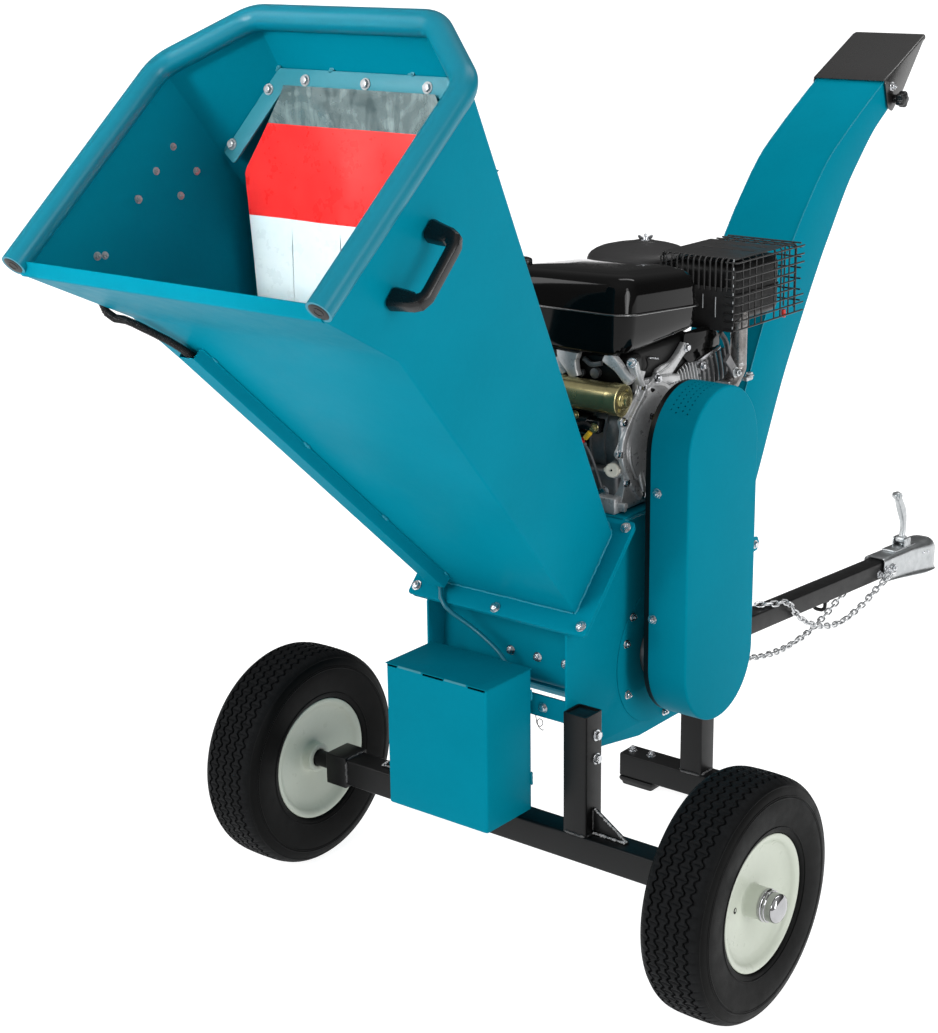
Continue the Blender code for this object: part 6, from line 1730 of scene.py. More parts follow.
def build_deflector():
    w, out = CH + 0.0035, 0.0022
    a, b = Vector((0, 1.156, 1.3795)), Vector((0, 1.322, 1.4590))
    d = (b - a).normalized()
    up_ = Vector((0, -d.z, d.y))
    L = 0.185
    r = 0.0034
    # hood: a top sheet folded down along both sides, its free edge hemmed
    rows = []
    hem = [(0.0, 0.0), (0.30, 0.0), (0.62, 0.0), (0.90, 0.0), (0.965, 0.0004), (0.99, 0.0), (1.0, -0.0020)]
    for f, lift in [(0.0, -0.0008), (0.006, 0.0)] + hem[1:]:
        p = a + d * (L * f) + up_ * (out * 0.5 + lift)
        hw = w + out * 0.5
        depth = 0.007
        if f > 0.97:
            hw -= 0.0015
            if f >= 0.999:
                hw -= 0.0035
        sec = [p + Vector((-hw, 0, 0)) - up_ * depth]
        for i in range(5):
            t = math.pi / 2 * i / 4
            sec.append(p + Vector((-hw + r * (1 - math.cos(t)), 0, 0)) - up_ * (r * (1 - math.sin(t))))
        for i in range(5):
            t = math.pi / 2 * (1 - i / 4)
            sec.append(p + Vector((hw - r * (1 - math.cos(t)), 0, 0)) - up_ * (r * (1 - math.sin(t))))
        sec.append(p + Vector((hw, 0, 0)) - up_ * depth)
        rows.append(sec)
    top = thick(outward(loft("top", rows, closed=False)), out * 0.9, 0.0, False)
    pieces = [top]
    cheek = [(1.1575, 1.3808), (1.1560, 1.3740), (1.1720, 1.3260), (1.1900, 1.3180), (1.2340, 1.3570), (1.3180, 1.4550), (1.3170, 1.4576)]
    for s in (-1, 1):
        shape = round_loop([(y, z) for y, z in cheek], [0.0006, 0.003, 0.010, 0.008, 0.020, 0.0008, 0.0006], 4)
        pieces.append(plate("cheek", shape, out, planar("YZ", (s * (w + out / 2), 0, 0)), edge=0.0006))
    # rolled hem along the free edge
    hem_c = a + d * (L - 0.0022) - up_ * 0.0010
    pieces.append(rod("hem", hem_c + Vector((-w + 0.001, 0, 0)), hem_c + Vector((w - 0.001, 0, 0)), 0.0026, 20))
    ride(painted(merge("deflector_hood", pieces), BLACK_SATIN), "deflector", None, ["chute_deflector"], angle=35)
    bolt = hexbolt(Vector((w + out + 0.0002, 1.184, 1.3670)), Vector((1, 0, 0)), 0.0062, 0.0052, washer=0.0096, stub=0.0036)
    bolt += hexbolt(Vector((-(w + out + 0.0002), 1.184, 1.3670)), Vector((-1, 0, 0)), 0.0062, 0.0052, washer=0.0096, stub=0.0036)
    ride(painted(merge("deflector_bolts", bolt), ZINC), "deflector")
    # star knob with five lobes
    kn = Vector((w + out + 0.0004, 1.197, 1.342))
    secs = []
    for h, rr, lobe in ((0.0082, 0.0090, 0.0), (0.0086, 0.0120, 0.0010), (0.0100, 0.0138, 0.0022), (0.0125, 0.0142, 0.0026), (0.0205, 0.0142, 0.0026), (0.0232, 0.0136, 0.0022), (0.0248, 0.0122, 0.0014), (0.0254, 0.0100, 0.0006)):
        ring_ = []
        for i in range(70):
            t = 2 * math.pi * i / 70
            q = rr + lobe * math.cos(5 * t)
            ring_.append(kn + Vector((h, q * math.cos(t), q * math.sin(t))))
        secs.append(ring_)
    knob = outward(loft("knob", secs, caps=(True, True)))
    stem = lathe("stem", [(0, 0.0100), (0.0078, 0.0100), (0.0080, 0.0060), (0.0086, 0.0015), (0.0086, 0.0), (0, 0.0)], kn, (1, 0, 0), 36)
    cap = lathe("insert", [(0, 0.0258), (0.0046, 0.0258), (0.0056, 0.0254), (0.0056, 0.0240), (0, 0.0240)], kn, (1, 0, 0), 32)
    ride(painted(merge("clamp_knob_star", [knob, stem, cap]), PLASTIC), "clamp_knob", None, ["deflector_knob"], angle=40)


# ================================================================== battery box
def build_battery_box():
    x0, x1 = -0.1340, 0.0800
    yf, yb = -0.1400, -0.0165
    zb, zf, zr = 0.2500, 0.5050, 0.5050
    t = 0.0018

    def ring(ix, z, slope, r):
        """Rounded rectangle shrunk by ix; slope adds the sloping top edge."""
        pts = [Vector((x0 + ix, yf + ix, 0)), Vector((x1 - ix, yf + ix, 0)), Vector((x1 - ix, yb - ix, 0)), Vector((x0 + ix, yb - ix, 0))]
        out = []
        for p in round_loop(pts, r, 5):
            p = Vector(p)
            p.z = z + (slope * (p.y - yf) / (yb - yf) * (zr - zf))
            out.append(p)
        return out

    secs = [ring(t, zb + t + 0.001, 0, 0.0030), ring(t, 0.400, 0, 0.0030), ring(t, zf - 0.0002, 1, 0.0030), ring(t * 0.75, zf, 1, 0.0034),
            ring(t * 0.25, zf, 1, 0.0040), ring(0, zf - 0.0004, 1, 0.0042), ring(0, 0.400, 0, 0.0042), ring(0, 0.300, 0, 0.0042),
            ring(0, zb + 0.0030, 0, 0.0042), ring(0.0006, zb + 0.0012, 0, 0.0042), ring(0.0018, zb + 0.0002, 0, 0.0040), ring(0.0034, zb, 0, 0.0036)]
    ob = outward(loft("box", secs, caps=(True, True)))
    cuts = []
    for a, b in ((-0.1318, -0.1104), (-0.0547, -0.0101), (0.0415, 0.0772)):
        cuts.append(rbox("slot", (a, yf - 0.002, zf - 0.0034), (b, yf + 0.0030, zf + 0.004), 0.0004, 1))
    ob = difference(ob, merge("slot_tool", cuts))
    parts_ = [ob]
    # weld beads on the box's rear corners
    beads = [weld("w", [Vector((x1 + 0.0004, yb - 0.0012, 0.4700)), Vector((x1 + 0.0004, yb - 0.0010, 0.4500))], 0.0020, seed=401, rough=0.8),
             weld("w", [Vector((x1 + 0.0004, yb - 0.0012, 0.3200)), Vector((x1 + 0.0004, yb - 0.0010, 0.2950))], 0.0020, seed=402, rough=0.8),
             weld("w", [Vector((x0 - 0.0004, yb - 0.0012, 0.4700)), Vector((x0 - 0.0004, yb - 0.0010, 0.4500))], 0.0020, seed=403, rough=0.8)]
    ride(painted(merge("battery_box_sheet", parts_), TEAL), "machine", None, ["battery_box"], angle=30)
    ride(merge("battery_box_welds", [painted(b, TEAL_WELD_LIT) for b in beads]), "machine", angle=60)
    k = (zr - zf) / (yb - yf)
    slope = math.atan(k)
    u = Vector((0, math.cos(slope), math.sin(slope)))
    n = Vector((0, -math.sin(slope), math.cos(slope)))
    mid = Vector(((x0 + x1) / 2, (yf + yb) / 2, (zf + zr) / 2 + 0.00155))
    hl = (yb - yf) / math.cos(slope) / 2 + 0.0008
    hw = (x1 - x0) / 2 + 0.0010
    shape = [(-hw, -hl), (-0.1074 - mid.x, -hl), (-0.1074 - mid.x, -hl + 0.0012), (-0.0577 - mid.x, -hl + 0.0012), (-0.0577 - mid.x, -hl), (-0.0071 - mid.x, -hl), (-0.0071 - mid.x, -hl + 0.0012), (0.0385 - mid.x, -hl + 0.0012), (0.0385 - mid.x, -hl), (hw, -hl), (hw, hl), (-hw, hl)]
    lm = frame_m(mid, Vector((1, 0, 0)), u, n)
    lid = plate("lid", shape, 0.0017, lm, edge=0.0005)
    # the lid in the darker teal copy, painted shade for its less lit top
    ride(painted(merge("battery_lid_sheet", [lid]), TEAL_TOP_SHADED), "battery_lid", None, ["battery_lid"], angle=30)
    # hinge strips of the front wall, bent over beside the slots
    strips = []
    for a, b in ((-0.1078, -0.0573), (-0.0075, 0.0389)):
        strips.append(rbox("strip", (a, yf - 0.0007, zf - 0.0016), (b, yf + 0.0010, zf + 0.0022), 0.0006, 3))
    ride(painted(merge("battery_hinge_strips", strips), TEAL_BAR), "machine")
    # loose ties hanging from the box's rear corner
    loops = []
    c = Vector((0.0870, -0.0100, 0.4080))
    pts = [c + Vector((-0.0065, 0.0040, 0.0120)), c + Vector((-0.0035, 0.0020, 0.0050)), c + Vector((0.0000, 0.0, -0.0020)), c + Vector((0.0060, 0, -0.0045)), c + Vector((0.0115, 0, 0.0010)),
           c + Vector((0.0100, 0, 0.0075)), c + Vector((0.0040, 0, 0.0085)), c + Vector((0.0000, 0, 0.0030)), c + Vector((0.0030, 0, -0.0060)), c + Vector((0.0100, 0, -0.0100)), c + Vector((0.0130, 0, -0.0090))]
    loops.append(tube("tie", smooth(pts, 60), 0.0007, 8))
    ride(painted(merge("cable_tie", loops), PLASTIC), "machine")


# painted shade: a darker copy of the teal coat for the battery lid, whose top face gets less light
TEAL_TOP_SHADED = coat("teal_lid_painted_shade", (0.0002, 0.150, 0.208), (0.0006, 0.170, 0.236), 0.34, 0.44, 0.08, 750.0, spec=0.012)
BLACK_SATIN = coat("black_hood_coat", (0.0050, 0.0045, 0.0045), (0.0080, 0.0072, 0.0070), 0.24, 0.32, 0.06, 850.0, spec=0.95)
build_side_plates()
build_front()
build_belt_cover()
build_chute()
build_deflector()
build_battery_box()


# ================================================================== engine
LEAN = math.radians(19)
PLACE = Matrix.Translation((0, CRANK_Y, CRANK_Z)) @ Matrix.Rotation(LEAN, 4, "X")


def cylinder_frame(x, y, z):
    return PLACE @ Vector((x, y, z))


def rounded_rect(hw, hh, r, n=5):
    return round_loop([(-hw, -hh), (hw, -hh), (hw, hh), (-hw, hh)], r, n)


def strut(name, pts, widths, thick_, ref):
    """A cast arm: a rounded flat section that follows the points; ref is the flat's normal."""
    pts = [Vector(p) for p in pts]
    if 2 < len(pts) < 8:
        n0 = len(pts)
        if hasattr(widths, "__len__"):
            widths = [widths[min(int(f), n0 - 2)] * (1 - (f - min(int(f), n0 - 2))) + widths[min(int(f), n0 - 2) + 1] * (f - min(int(f), n0 - 2)) for f in [i * (n0 - 1) / 17 for i in range(18)]]
        pts = [Vector(p) for p in smooth(pts, 18)]
    ref = Vector(ref).normalized()
    rows = []
    n = len(pts)
    for i, p in enumerate(pts):
        t = (pts[min(i + 1, n - 1)] - pts[max(i - 1, 0)]).normalized()
        side = ref.cross(t).normalized()
        w = widths[i] if hasattr(widths, "__len__") else widths
        rows.append([p + side * a + ref * b for a, b in rounded_rect(w, thick_, min(w, thick_) * 0.6, 3)])
    return outward(loft(name, rows, caps=(True, True)))


def build_crankcase():
    parts_ = []
    # sump and foot
    parts_.append(rbox("sump", (-0.0930, 0.1740, 0.7480), (0.1200, 0.3680, 0.8120), 0.0090, 4))
    parts_.append(rbox("foot", (-0.1000, 0.1660, DECK_Z + 0.0004), (0.1280, 0.3760, 0.7560), 0.0030, 3))
    for x in (-0.0760, -0.0380, 0.0000, 0.0380, 0.0720):
        parts_.append(rbox("rib", (x - 0.0022, 0.1690, 0.7540), (x + 0.0022, 0.1790, 0.8050), 0.0014, 2))
    # crank chamber
    prof = [(0, -0.1050), (0.0700, -0.1050), (0.0760, -0.1030), (0.0800, -0.0980), (0.0810, -0.0900), (0.0830, -0.0880), (0.0830, -0.0800), (0.0812, -0.0780),
            (0.0812, 0.1000), (0.0820, 0.1080), (0.0850, 0.1180), (0.0900, 0.1230), (0.0900, 0.1290), (0, 0.1290)]
    parts_.append(lathe("chamber", prof, (0, CRANK_Y, CRANK_Z), (1, 0, 0), 96))
    for i, x in enumerate((-0.0600, -0.0300, 0.0000, 0.0300, 0.0600, 0.0880)):
        parts_.append(lathe("band", [(0.0800, -0.0020), (0.0846, -0.0016), (0.0850, 0.0), (0.0846, 0.0016), (0.0800, 0.0020)], (x, CRANK_Y, CRANK_Z), (1, 0, 0), 72, closed=True))
    # root of the barrel
    parts_.append(rbox("root", (-0.0540, 0.040, -0.0560), (0.1080, 0.1180, 0.0500), 0.0080, 4, PLACE))
    # tank brackets
    for x in (-0.0800, 0.0950):
        parts_.append(strut("leg", smooth([(x, 0.2380, 0.9180), (x, 0.2360, 0.9500), (x, 0.2360, 0.9850), (x, 0.2380, 1.0005)], 14), [0.0150 - 0.0045 * math.sin(math.pi * i / 13) for i in range(14)], 0.0080, (1, 0, 0)))
    body = merge("crankcase_body", parts_)
    # the crankcase body takes the darker, shaded copy of the cast aluminium (painted shade)
    ride(painted(body, ALU_SHADED), "machine", None, ["crankcase"], angle=35)

    # power-take-off cover: a bolted flange with a deep pot
    bosses = [(0.2288, 0.9431), (0.2720, 0.9520), (0.1700, 0.9000), (0.1632, 0.8465), (0.1840, 0.7940), (0.2283, 0.7620), (0.3000, 0.7640), (0.3480, 0.8060), (0.3600, 0.8700), (0.3300, 0.9250)]
    loop = []
    for i in range(180):
        a = 2 * math.pi * i / 180
        r = 0.0955
        for by, bz in bosses:
            ba = math.atan2(bz - CRANK_Z, by - CRANK_Y)
            d = abs((a - ba + math.pi) % (2 * math.pi) - math.pi)
            r = max(r, 0.0955 + 0.0125 * math.exp(-(d / 0.105) ** 2))
        loop.append((CRANK_Y + r * math.cos(a), CRANK_Z + r * math.sin(a)))
    flange = plate("pto_flange", loop, 0.0070, planar("YZ", (0.1285, 0, 0)), edge=0.0016, res=2)
    pot = lathe("pto_pot", [(0.0, 0.1320), (0.0890, 0.1320), (0.0885, 0.1325), (0.0862, 0.1352), (0.0810, 0.1400), (0.0740, 0.1438), (0.0660, 0.1460), (0.0550, 0.1470), (0.0300, 0.1474), (0.0, 0.1474)][::-1], (0, CRANK_Y, CRANK_Z), (1, 0, 0), 96)
    ribs = []
    # rounded side web that runs down to the foot, with a raised edge
    web = round_loop([(0.1650, 0.7440), (0.3700, 0.7440), (0.3560, 0.8000), (0.1860, 0.8000)], 0.008, 3)
    ribs.append(plate("web", web, 0.0220, planar("YZ", (0.1200, 0, 0)), edge=0.0020, res=2))
    ribs.append(strut("lug", [(0.1240, 0.2300, 0.9420), (0.1240, 0.2260, 0.9620), (0.1240, 0.2300, 0.9760)], [0.0120, 0.0100, 0.0120], 0.0070, (1, 0, 0)))
    raised = []
    line = [(0.2329, 0.9455), (0.2182, 0.9290), (0.1962, 0.9076), (0.1743, 0.8820), (0.1636, 0.8606), (0.1663, 0.8318), (0.1870, 0.7965), (0.2179, 0.7560)]
    line = [(0.1345, CRANK_Y + (y - CRANK_Y) * 0.965, CRANK_Z + (z - CRANK_Z) * 0.965) for y, z in line]
    raised.append(strut("edge", smooth(line, 40), [0.0072] * 40, 0.0052, (1, 0, 0)))
    line = [(0.2393, 0.8993), (0.2172, 0.8691), (0.2064, 0.8453), (0.2109, 0.8092), (0.2231, 0.7710)]
    raised.append(tube("edge", smooth([(0.1400, y, z) for y, z in line], 40), 0.0058, 14))
    raised.append(tube("edge", smooth([(0.1372, 0.2080, 0.9130), (0.1380, 0.1960, 0.8900), (0.1380, 0.1850, 0.8600), (0.1380, 0.1860, 0.8300), (0.1372, 0.2040, 0.7980)], 40), 0.0036, 12))
    cover = merge("crankcase_cover", [flange, pot] + ribs + raised)
    ride(painted(cover, ALU), "machine", angle=35)

    bolts = []
    for y, z in bosses:
        d = Vector((0, y - CRANK_Y, z - CRANK_Z)).normalized()
        c = Vector((0, CRANK_Y, CRANK_Z)) + d * 0.1010
        bolts += hexbolt(Vector((0.1322, c.y, c.z)), Vector((1, 0, 0)), 0.0058, 0.0062, washer=0.0088)
    for x, y in ((-0.0700, 0.1710), (0.0980, 0.1710)):
        bolts += hexbolt(Vector((x, y, 0.7562)), Vector((0, 0, 1)), 0.0060, 0.0060, washer=0.0098, stub=0.0040)
    bolts += hexbolt(Vector((0.0930, 0.1738, 0.7720)), Vector((0, -1, 0)), 0.0072, 0.0070, washer=0.0100)
    ride(painted(merge("crankcase_bolts", bolts), ZINC), "machine")

    # dark plastic plugs beside the cover; their dark also stands in for the shade of the recesses there (painted shade)
    dark = [lathe("plug", [(0, 0.0035), (0.0052, 0.0032), (0.0068, 0.0020), (0.0072, 0.0), (0.0072, -0.002), (0, -0.002)], Vector((0.1355, 0.2540, 0.9350)), (1, 0, 0), 24),
            lathe("plug", [(0, 0.0030), (0.0045, 0.0028), (0.0056, 0.0015), (0.0058, 0.0), (0.0058, -0.002), (0, -0.002)], Vector((0.1478, 0.2350, 0.8990)), (1, 0, 0), 24)]
    ride(painted(merge("crankcase_plugs", dark), PLASTIC), "machine")

    # foot bracket, bright cast block
    fb = [rbox("block", (0.0880, 0.1540, 0.7408), (0.1290, 0.1900, 0.7690), 0.0030, 3), rbox("block", (-0.0960, 0.1540, 0.7408), (-0.0560, 0.1900, 0.7690), 0.0030, 3),
          rod("stud", (0.1290, 0.1660, 0.7560), (0.1440, 0.1660, 0.7560), 0.0055, 24), rod("stud", (0.1290, 0.1700, 0.7480), (0.1400, 0.1700, 0.7480), 0.0040, 24)]
    ride(painted(merge("foot_bracket", fb), ALU), "machine")

    # oil filler with its cream plug, on a slanted neck
    pc = Vector((0.1180, 0.1640, 0.8160))
    ax = Vector((0.30, -0.92, 0.22)).normalized()
    neck = lathe("neck", [(0, 0.0), (0.0130, 0.0), (0.0135, -0.003), (0.0150, -0.020), (0.0180, -0.034), (0, -0.034)], pc, ax, 40)
    ride(painted(merge("oil_neck", [neck]), ALU), "machine")
    plug = lathe("plug", [(0, 0.0100), (0.0022, 0.0098), (0.0026, 0.0086), (0.0040, 0.0086), (0.0085, 0.0102), (0.0112, 0.0096), (0.0124, 0.0074), (0.0126, 0.0020), (0.0120, 0.0002), (0, 0.0)], pc, ax, 40)
    tabs = [rbox("wing", (-0.0145, -0.0040, 0.0006), (0.0145, 0.0040, 0.0094), 0.0024, 3, frame_m(pc, axes_for(ax)[0], axes_for(ax)[1], ax))]
    ride(painted(merge("oil_plug", [plug] + tabs), PLUG), "machine")
    ride(painted(merge("oil_plug_centre", [lathe("dot", [(0, 0.0105), (0.0017, 0.0104), (0.0019, 0.0096), (0, 0.0090)], pc, ax, 20)]), PLASTIC), "machine")


def build_cylinder():
    parts_ = []
    core = rbox("barrel", (-0.0600, 0.1190, -0.0480), (0.0780, 0.2000, 0.0360), 0.0120, 4, PLACE)
    parts_.append(core)
    # stacked cooling fins of the barrel
    for k in range(9):
        v = 0.1225 + 0.0088 * k
        m_ = PLACE @ Matrix.Translation((0.0150, v, -0.0070)) @ Matrix.Rotation(math.radians(-90), 4, "X")
        parts_.append(plate("fin", rounded_rect(0.0920, 0.0560, 0.0120, 5), 0.0024, m_, edge=0.0007))
    # head with upright fins
    parts_.append(rbox("head", (-0.0700, 0.2010, -0.0580), (0.1000, 0.2480, 0.0400), 0.0080, 4, PLACE))
    for k in range(11):
        x = -0.0700 + 0.0168 * k
        parts_.append(rbox("headfin", (x - 0.0014, 0.2020, -0.0636), (x + 0.0014, 0.2500, 0.0490), 0.0009, 2, PLACE))
    for k in range(6):
        w = -0.0520 + 0.0168 * k
        parts_.append(rbox("sidefin", (0.0990, 0.2040, w - 0.0014), (0.1072, 0.2490, w + 0.0014), 0.0009, 2, PLACE))
    ob = merge("cylinder_fins", parts_)
    ride(painted(ob, ALU), "machine", None, ["cylinder_head"], angle=35)
    rocker = rbox("rocker", (-0.0640, 0.2480, -0.0500), (0.0940, 0.2744, 0.0400), 0.0100, 5, PLACE)
    edge_ = rbox("rocker_edge", (-0.0680, 0.2480, -0.0540), (0.0980, 0.2520, 0.0440), 0.0016, 3, PLACE)
    ride(painted(merge("rocker_cover", [rocker, edge_]), ALU_SHADED), "machine")
    # black cowl folded over the barrel's upper side, cut off along a slant
    rows = []
    for i in range(13):
        x = -0.0740 + 0.1806 * i / 12
        rows.append([cylinder_frame(x, v, w) for v, w in ((0.1190, 0.0440), (0.1450, 0.0486), (0.2100, 0.0490), (0.2420, 0.0486), (0.2500, 0.0470))])
    sheet_ = thick(outward(loft("cowl", rows, closed=False)), 0.0012, 0.0, False)
    side = round_loop([(0.3900, 1.0110), (0.4520, 1.0120), (0.4900, 1.0010), (0.5080, 0.9860), (0.5060, 0.9680), (0.4340, 0.9530), (0.4100, 0.9530), (0.3860, 0.9700)], 0.008, 5)
    cheek = plate("cowl_side", side, 0.0018, planar("YZ", (0.1096, 0, 0)), edge=0.0006)
    ride(painted(merge("cylinder_cowl", [sheet_, cheek]), GLOSS), "machine", angle=30)
    # painted highlight: a bright zinc strip along the cowl's cut stands for the highlight on its edge
    edge = sweep("edge", smooth([(0.1116, 0.4300, 0.9500), (0.1118, 0.4560, 0.9545), (0.1118, 0.4830, 0.9595), (0.1116, 0.5090, 0.9640)], 24), ring2(0.0032, 10)) if False else strut("edge", [(0.1112, 0.4300, 0.9502), (0.1114, 0.4560, 0.9550), (0.1114, 0.4830, 0.9602), (0.1112, 0.5085, 0.9650)], [0.0030, 0.0036, 0.0036, 0.0026], 0.0010, (1, 0, 0))
    ride(painted(merge("cowl_edge_highlight", [edge]), ZINC), "machine")
    # curved cooling fins below the cut, on the crank side
    arcs = []
    for k in range(6):
        y_ = 0.4460 + 0.0150 * k
        arcs.append(strut("arc", [(0.1085, y_, 0.9520 + 0.0016 * k), (0.1092, y_ + 0.0075, 0.9330), (0.1092, y_ + 0.0120, 0.9120), (0.1085, y_ + 0.0140, 0.8920)], [0.0022, 0.0026, 0.0026, 0.0022], 0.0034, (1, 0, 0)))
    arcs.append(strut("rim", [(0.1085, 0.5120, 0.9900), (0.1095, 0.5300, 0.9700), (0.1100, 0.5400, 0.9400), (0.1095, 0.5420, 0.9100), (0.1085, 0.5370, 0.8800)], [0.0036, 0.0040, 0.0042, 0.0040, 0.0036], 0.0040, (1, 0, 0)))
    ride(painted(merge("cylinder_side_fins", arcs), ALU_SHADED), "machine")
    # governor arm and tank stay on the near side
    stay = [strut("stay", [(0.1090, 0.3040, 0.9420), (0.1096, 0.3220, 0.9470), (0.1100, 0.3420, 0.9560), (0.1100, 0.3680, 0.9720), (0.1100, 0.3900, 0.9880)], [0.0150, 0.0120, 0.0090, 0.0074, 0.0092], 0.0064, (1, 0, 0)),
            strut("arm", [(0.1180, 0.2360, 0.9480), (0.1190, 0.2700, 0.9466), (0.1190, 0.3060, 0.9440), (0.1180, 0.3560, 0.9396)], [0.0076, 0.0084, 0.0090, 0.0060], 0.0068, (1, 0, 0)),
            strut("web", [(0.1080, 0.3180, 0.9420), (0.1085, 0.3060, 0.9540), (0.1085, 0.3200, 0.9600), (0.1085, 0.3420, 0.9640)], [0.0060, 0.0056, 0.0050, 0.0036], 0.0040, (1, 0, 0)),
            strut("post", [(0.0846, 0.1920, 1.0040), (0.0960, 0.1900, 0.9980), (0.1100, 0.1900, 0.9880), (0.1240, 0.1900, 0.9740), (0.1340, 0.1920, 0.9640)], [0.0120, 0.0110, 0.0086, 0.0080, 0.0090], 0.0080, (0, -1, 0)),
            strut("post", [(0.1330, 0.1960, 0.9960), (0.1360, 0.1980, 0.9860), (0.1380, 0.2040, 0.9700), (0.1370, 0.2140, 0.9560)], [0.0096, 0.0080, 0.0076, 0.0090], 0.0064, (0, -1, 0))]
    ride(painted(merge("tank_stays", stay), ALU), "machine")
    b = hexbolt(Vector((0.1166, 0.3880, 0.9860)), Vector((1, 0, 0)), 0.0050, 0.0050, washer=0.0078) + hexbolt(Vector((0.1385, 0.1870, 0.9985)), Vector((0.3, -0.8, 0.5)), 0.0052, 0.0050, washer=0.0086)
    b += hexbolt(Vector((0.1140, 0.4480, 0.9420)), Vector((1, 0, 0)), 0.0052, 0.0054, washer=0.0084)
    ride(painted(merge("stay_bolts", b), ZINC), "machine")
    # left bracket and a cast throttle housing under the tank
    lb = [strut("bracket", [(0.0100, 0.1880, 1.0030), (0.0100, 0.1880, 0.9960), (0.0120, 0.1880, 0.9860), (0.0170, 0.1880, 0.9740), (0.0220, 0.1900, 0.9600)], [0.0230, 0.0210, 0.0150, 0.0110, 0.0100], 0.0080, (0, -1, 0)),
          strut("bracket", [(-0.0140, 0.1900, 0.9900), (-0.0100, 0.1890, 0.9820), (-0.0040, 0.1890, 0.9740), (0.0020, 0.1900, 0.9640)], [0.0070, 0.0078, 0.0076, 0.0070], 0.0070, (0, -1, 0))]
    dark_ = [rbox("casting", (-0.0600, 0.2060, 0.9480), (0.1200, 0.2500, 1.0030), 0.0100, 4)]
    ride(painted(merge("carburettor_block", dark_), HEAT), "machine")
    small = [strut("link", [(0.0300, 0.2020, 0.9900), (0.0480, 0.2010, 0.9820), (0.0680, 0.2010, 0.9860)], [0.0040, 0.0046, 0.0040], 0.0030, (0, -1, 0)),
             rod("boss", (0.0560, 0.2060, 0.9680), (0.0560, 0.1960, 0.9680), 0.0090, 28), rod("boss", (0.0260, 0.2060, 0.9640), (0.0260, 0.1990, 0.9640), 0.0064, 24)]
    ride(painted(merge("carburettor_castings", small), ALU_SHADED), "machine")
    ride(painted(merge("left_bracket", lb), ALU), "machine")
    dark = rbox("shroud", (-0.0700, 0.2450, 0.9300), (0.1040, 0.4300, 1.0060), 0.0120, 4)
    ride(painted(merge("tank_underside_shroud", [dark]), HEAT), "machine")
    # spark plug with its black boot and lead
    boot = [rod("boot", cylinder_frame(-0.0500, 0.2300, -0.0100), cylinder_frame(-0.0760, 0.2380, -0.0100), 0.0085, 24), rbox("cap", (-0.0900, 0.2280, -0.0220), (-0.0740, 0.2480, 0.0100), 0.0050, 3, PLACE)]
    boot.append(tube("ht_lead", smooth([tuple(cylinder_frame(*p)) for p in ((-0.0820, 0.2320, 0.0060), (-0.0860, 0.2200, 0.0160), (-0.0900, 0.1900, 0.0260), (-0.0940, 0.1500, 0.0240), (-0.0950, 0.1100, 0.0200))], 60), 0.0035, 12))
    ride(painted(merge("plug_boot", boot), RUBBER), "machine")


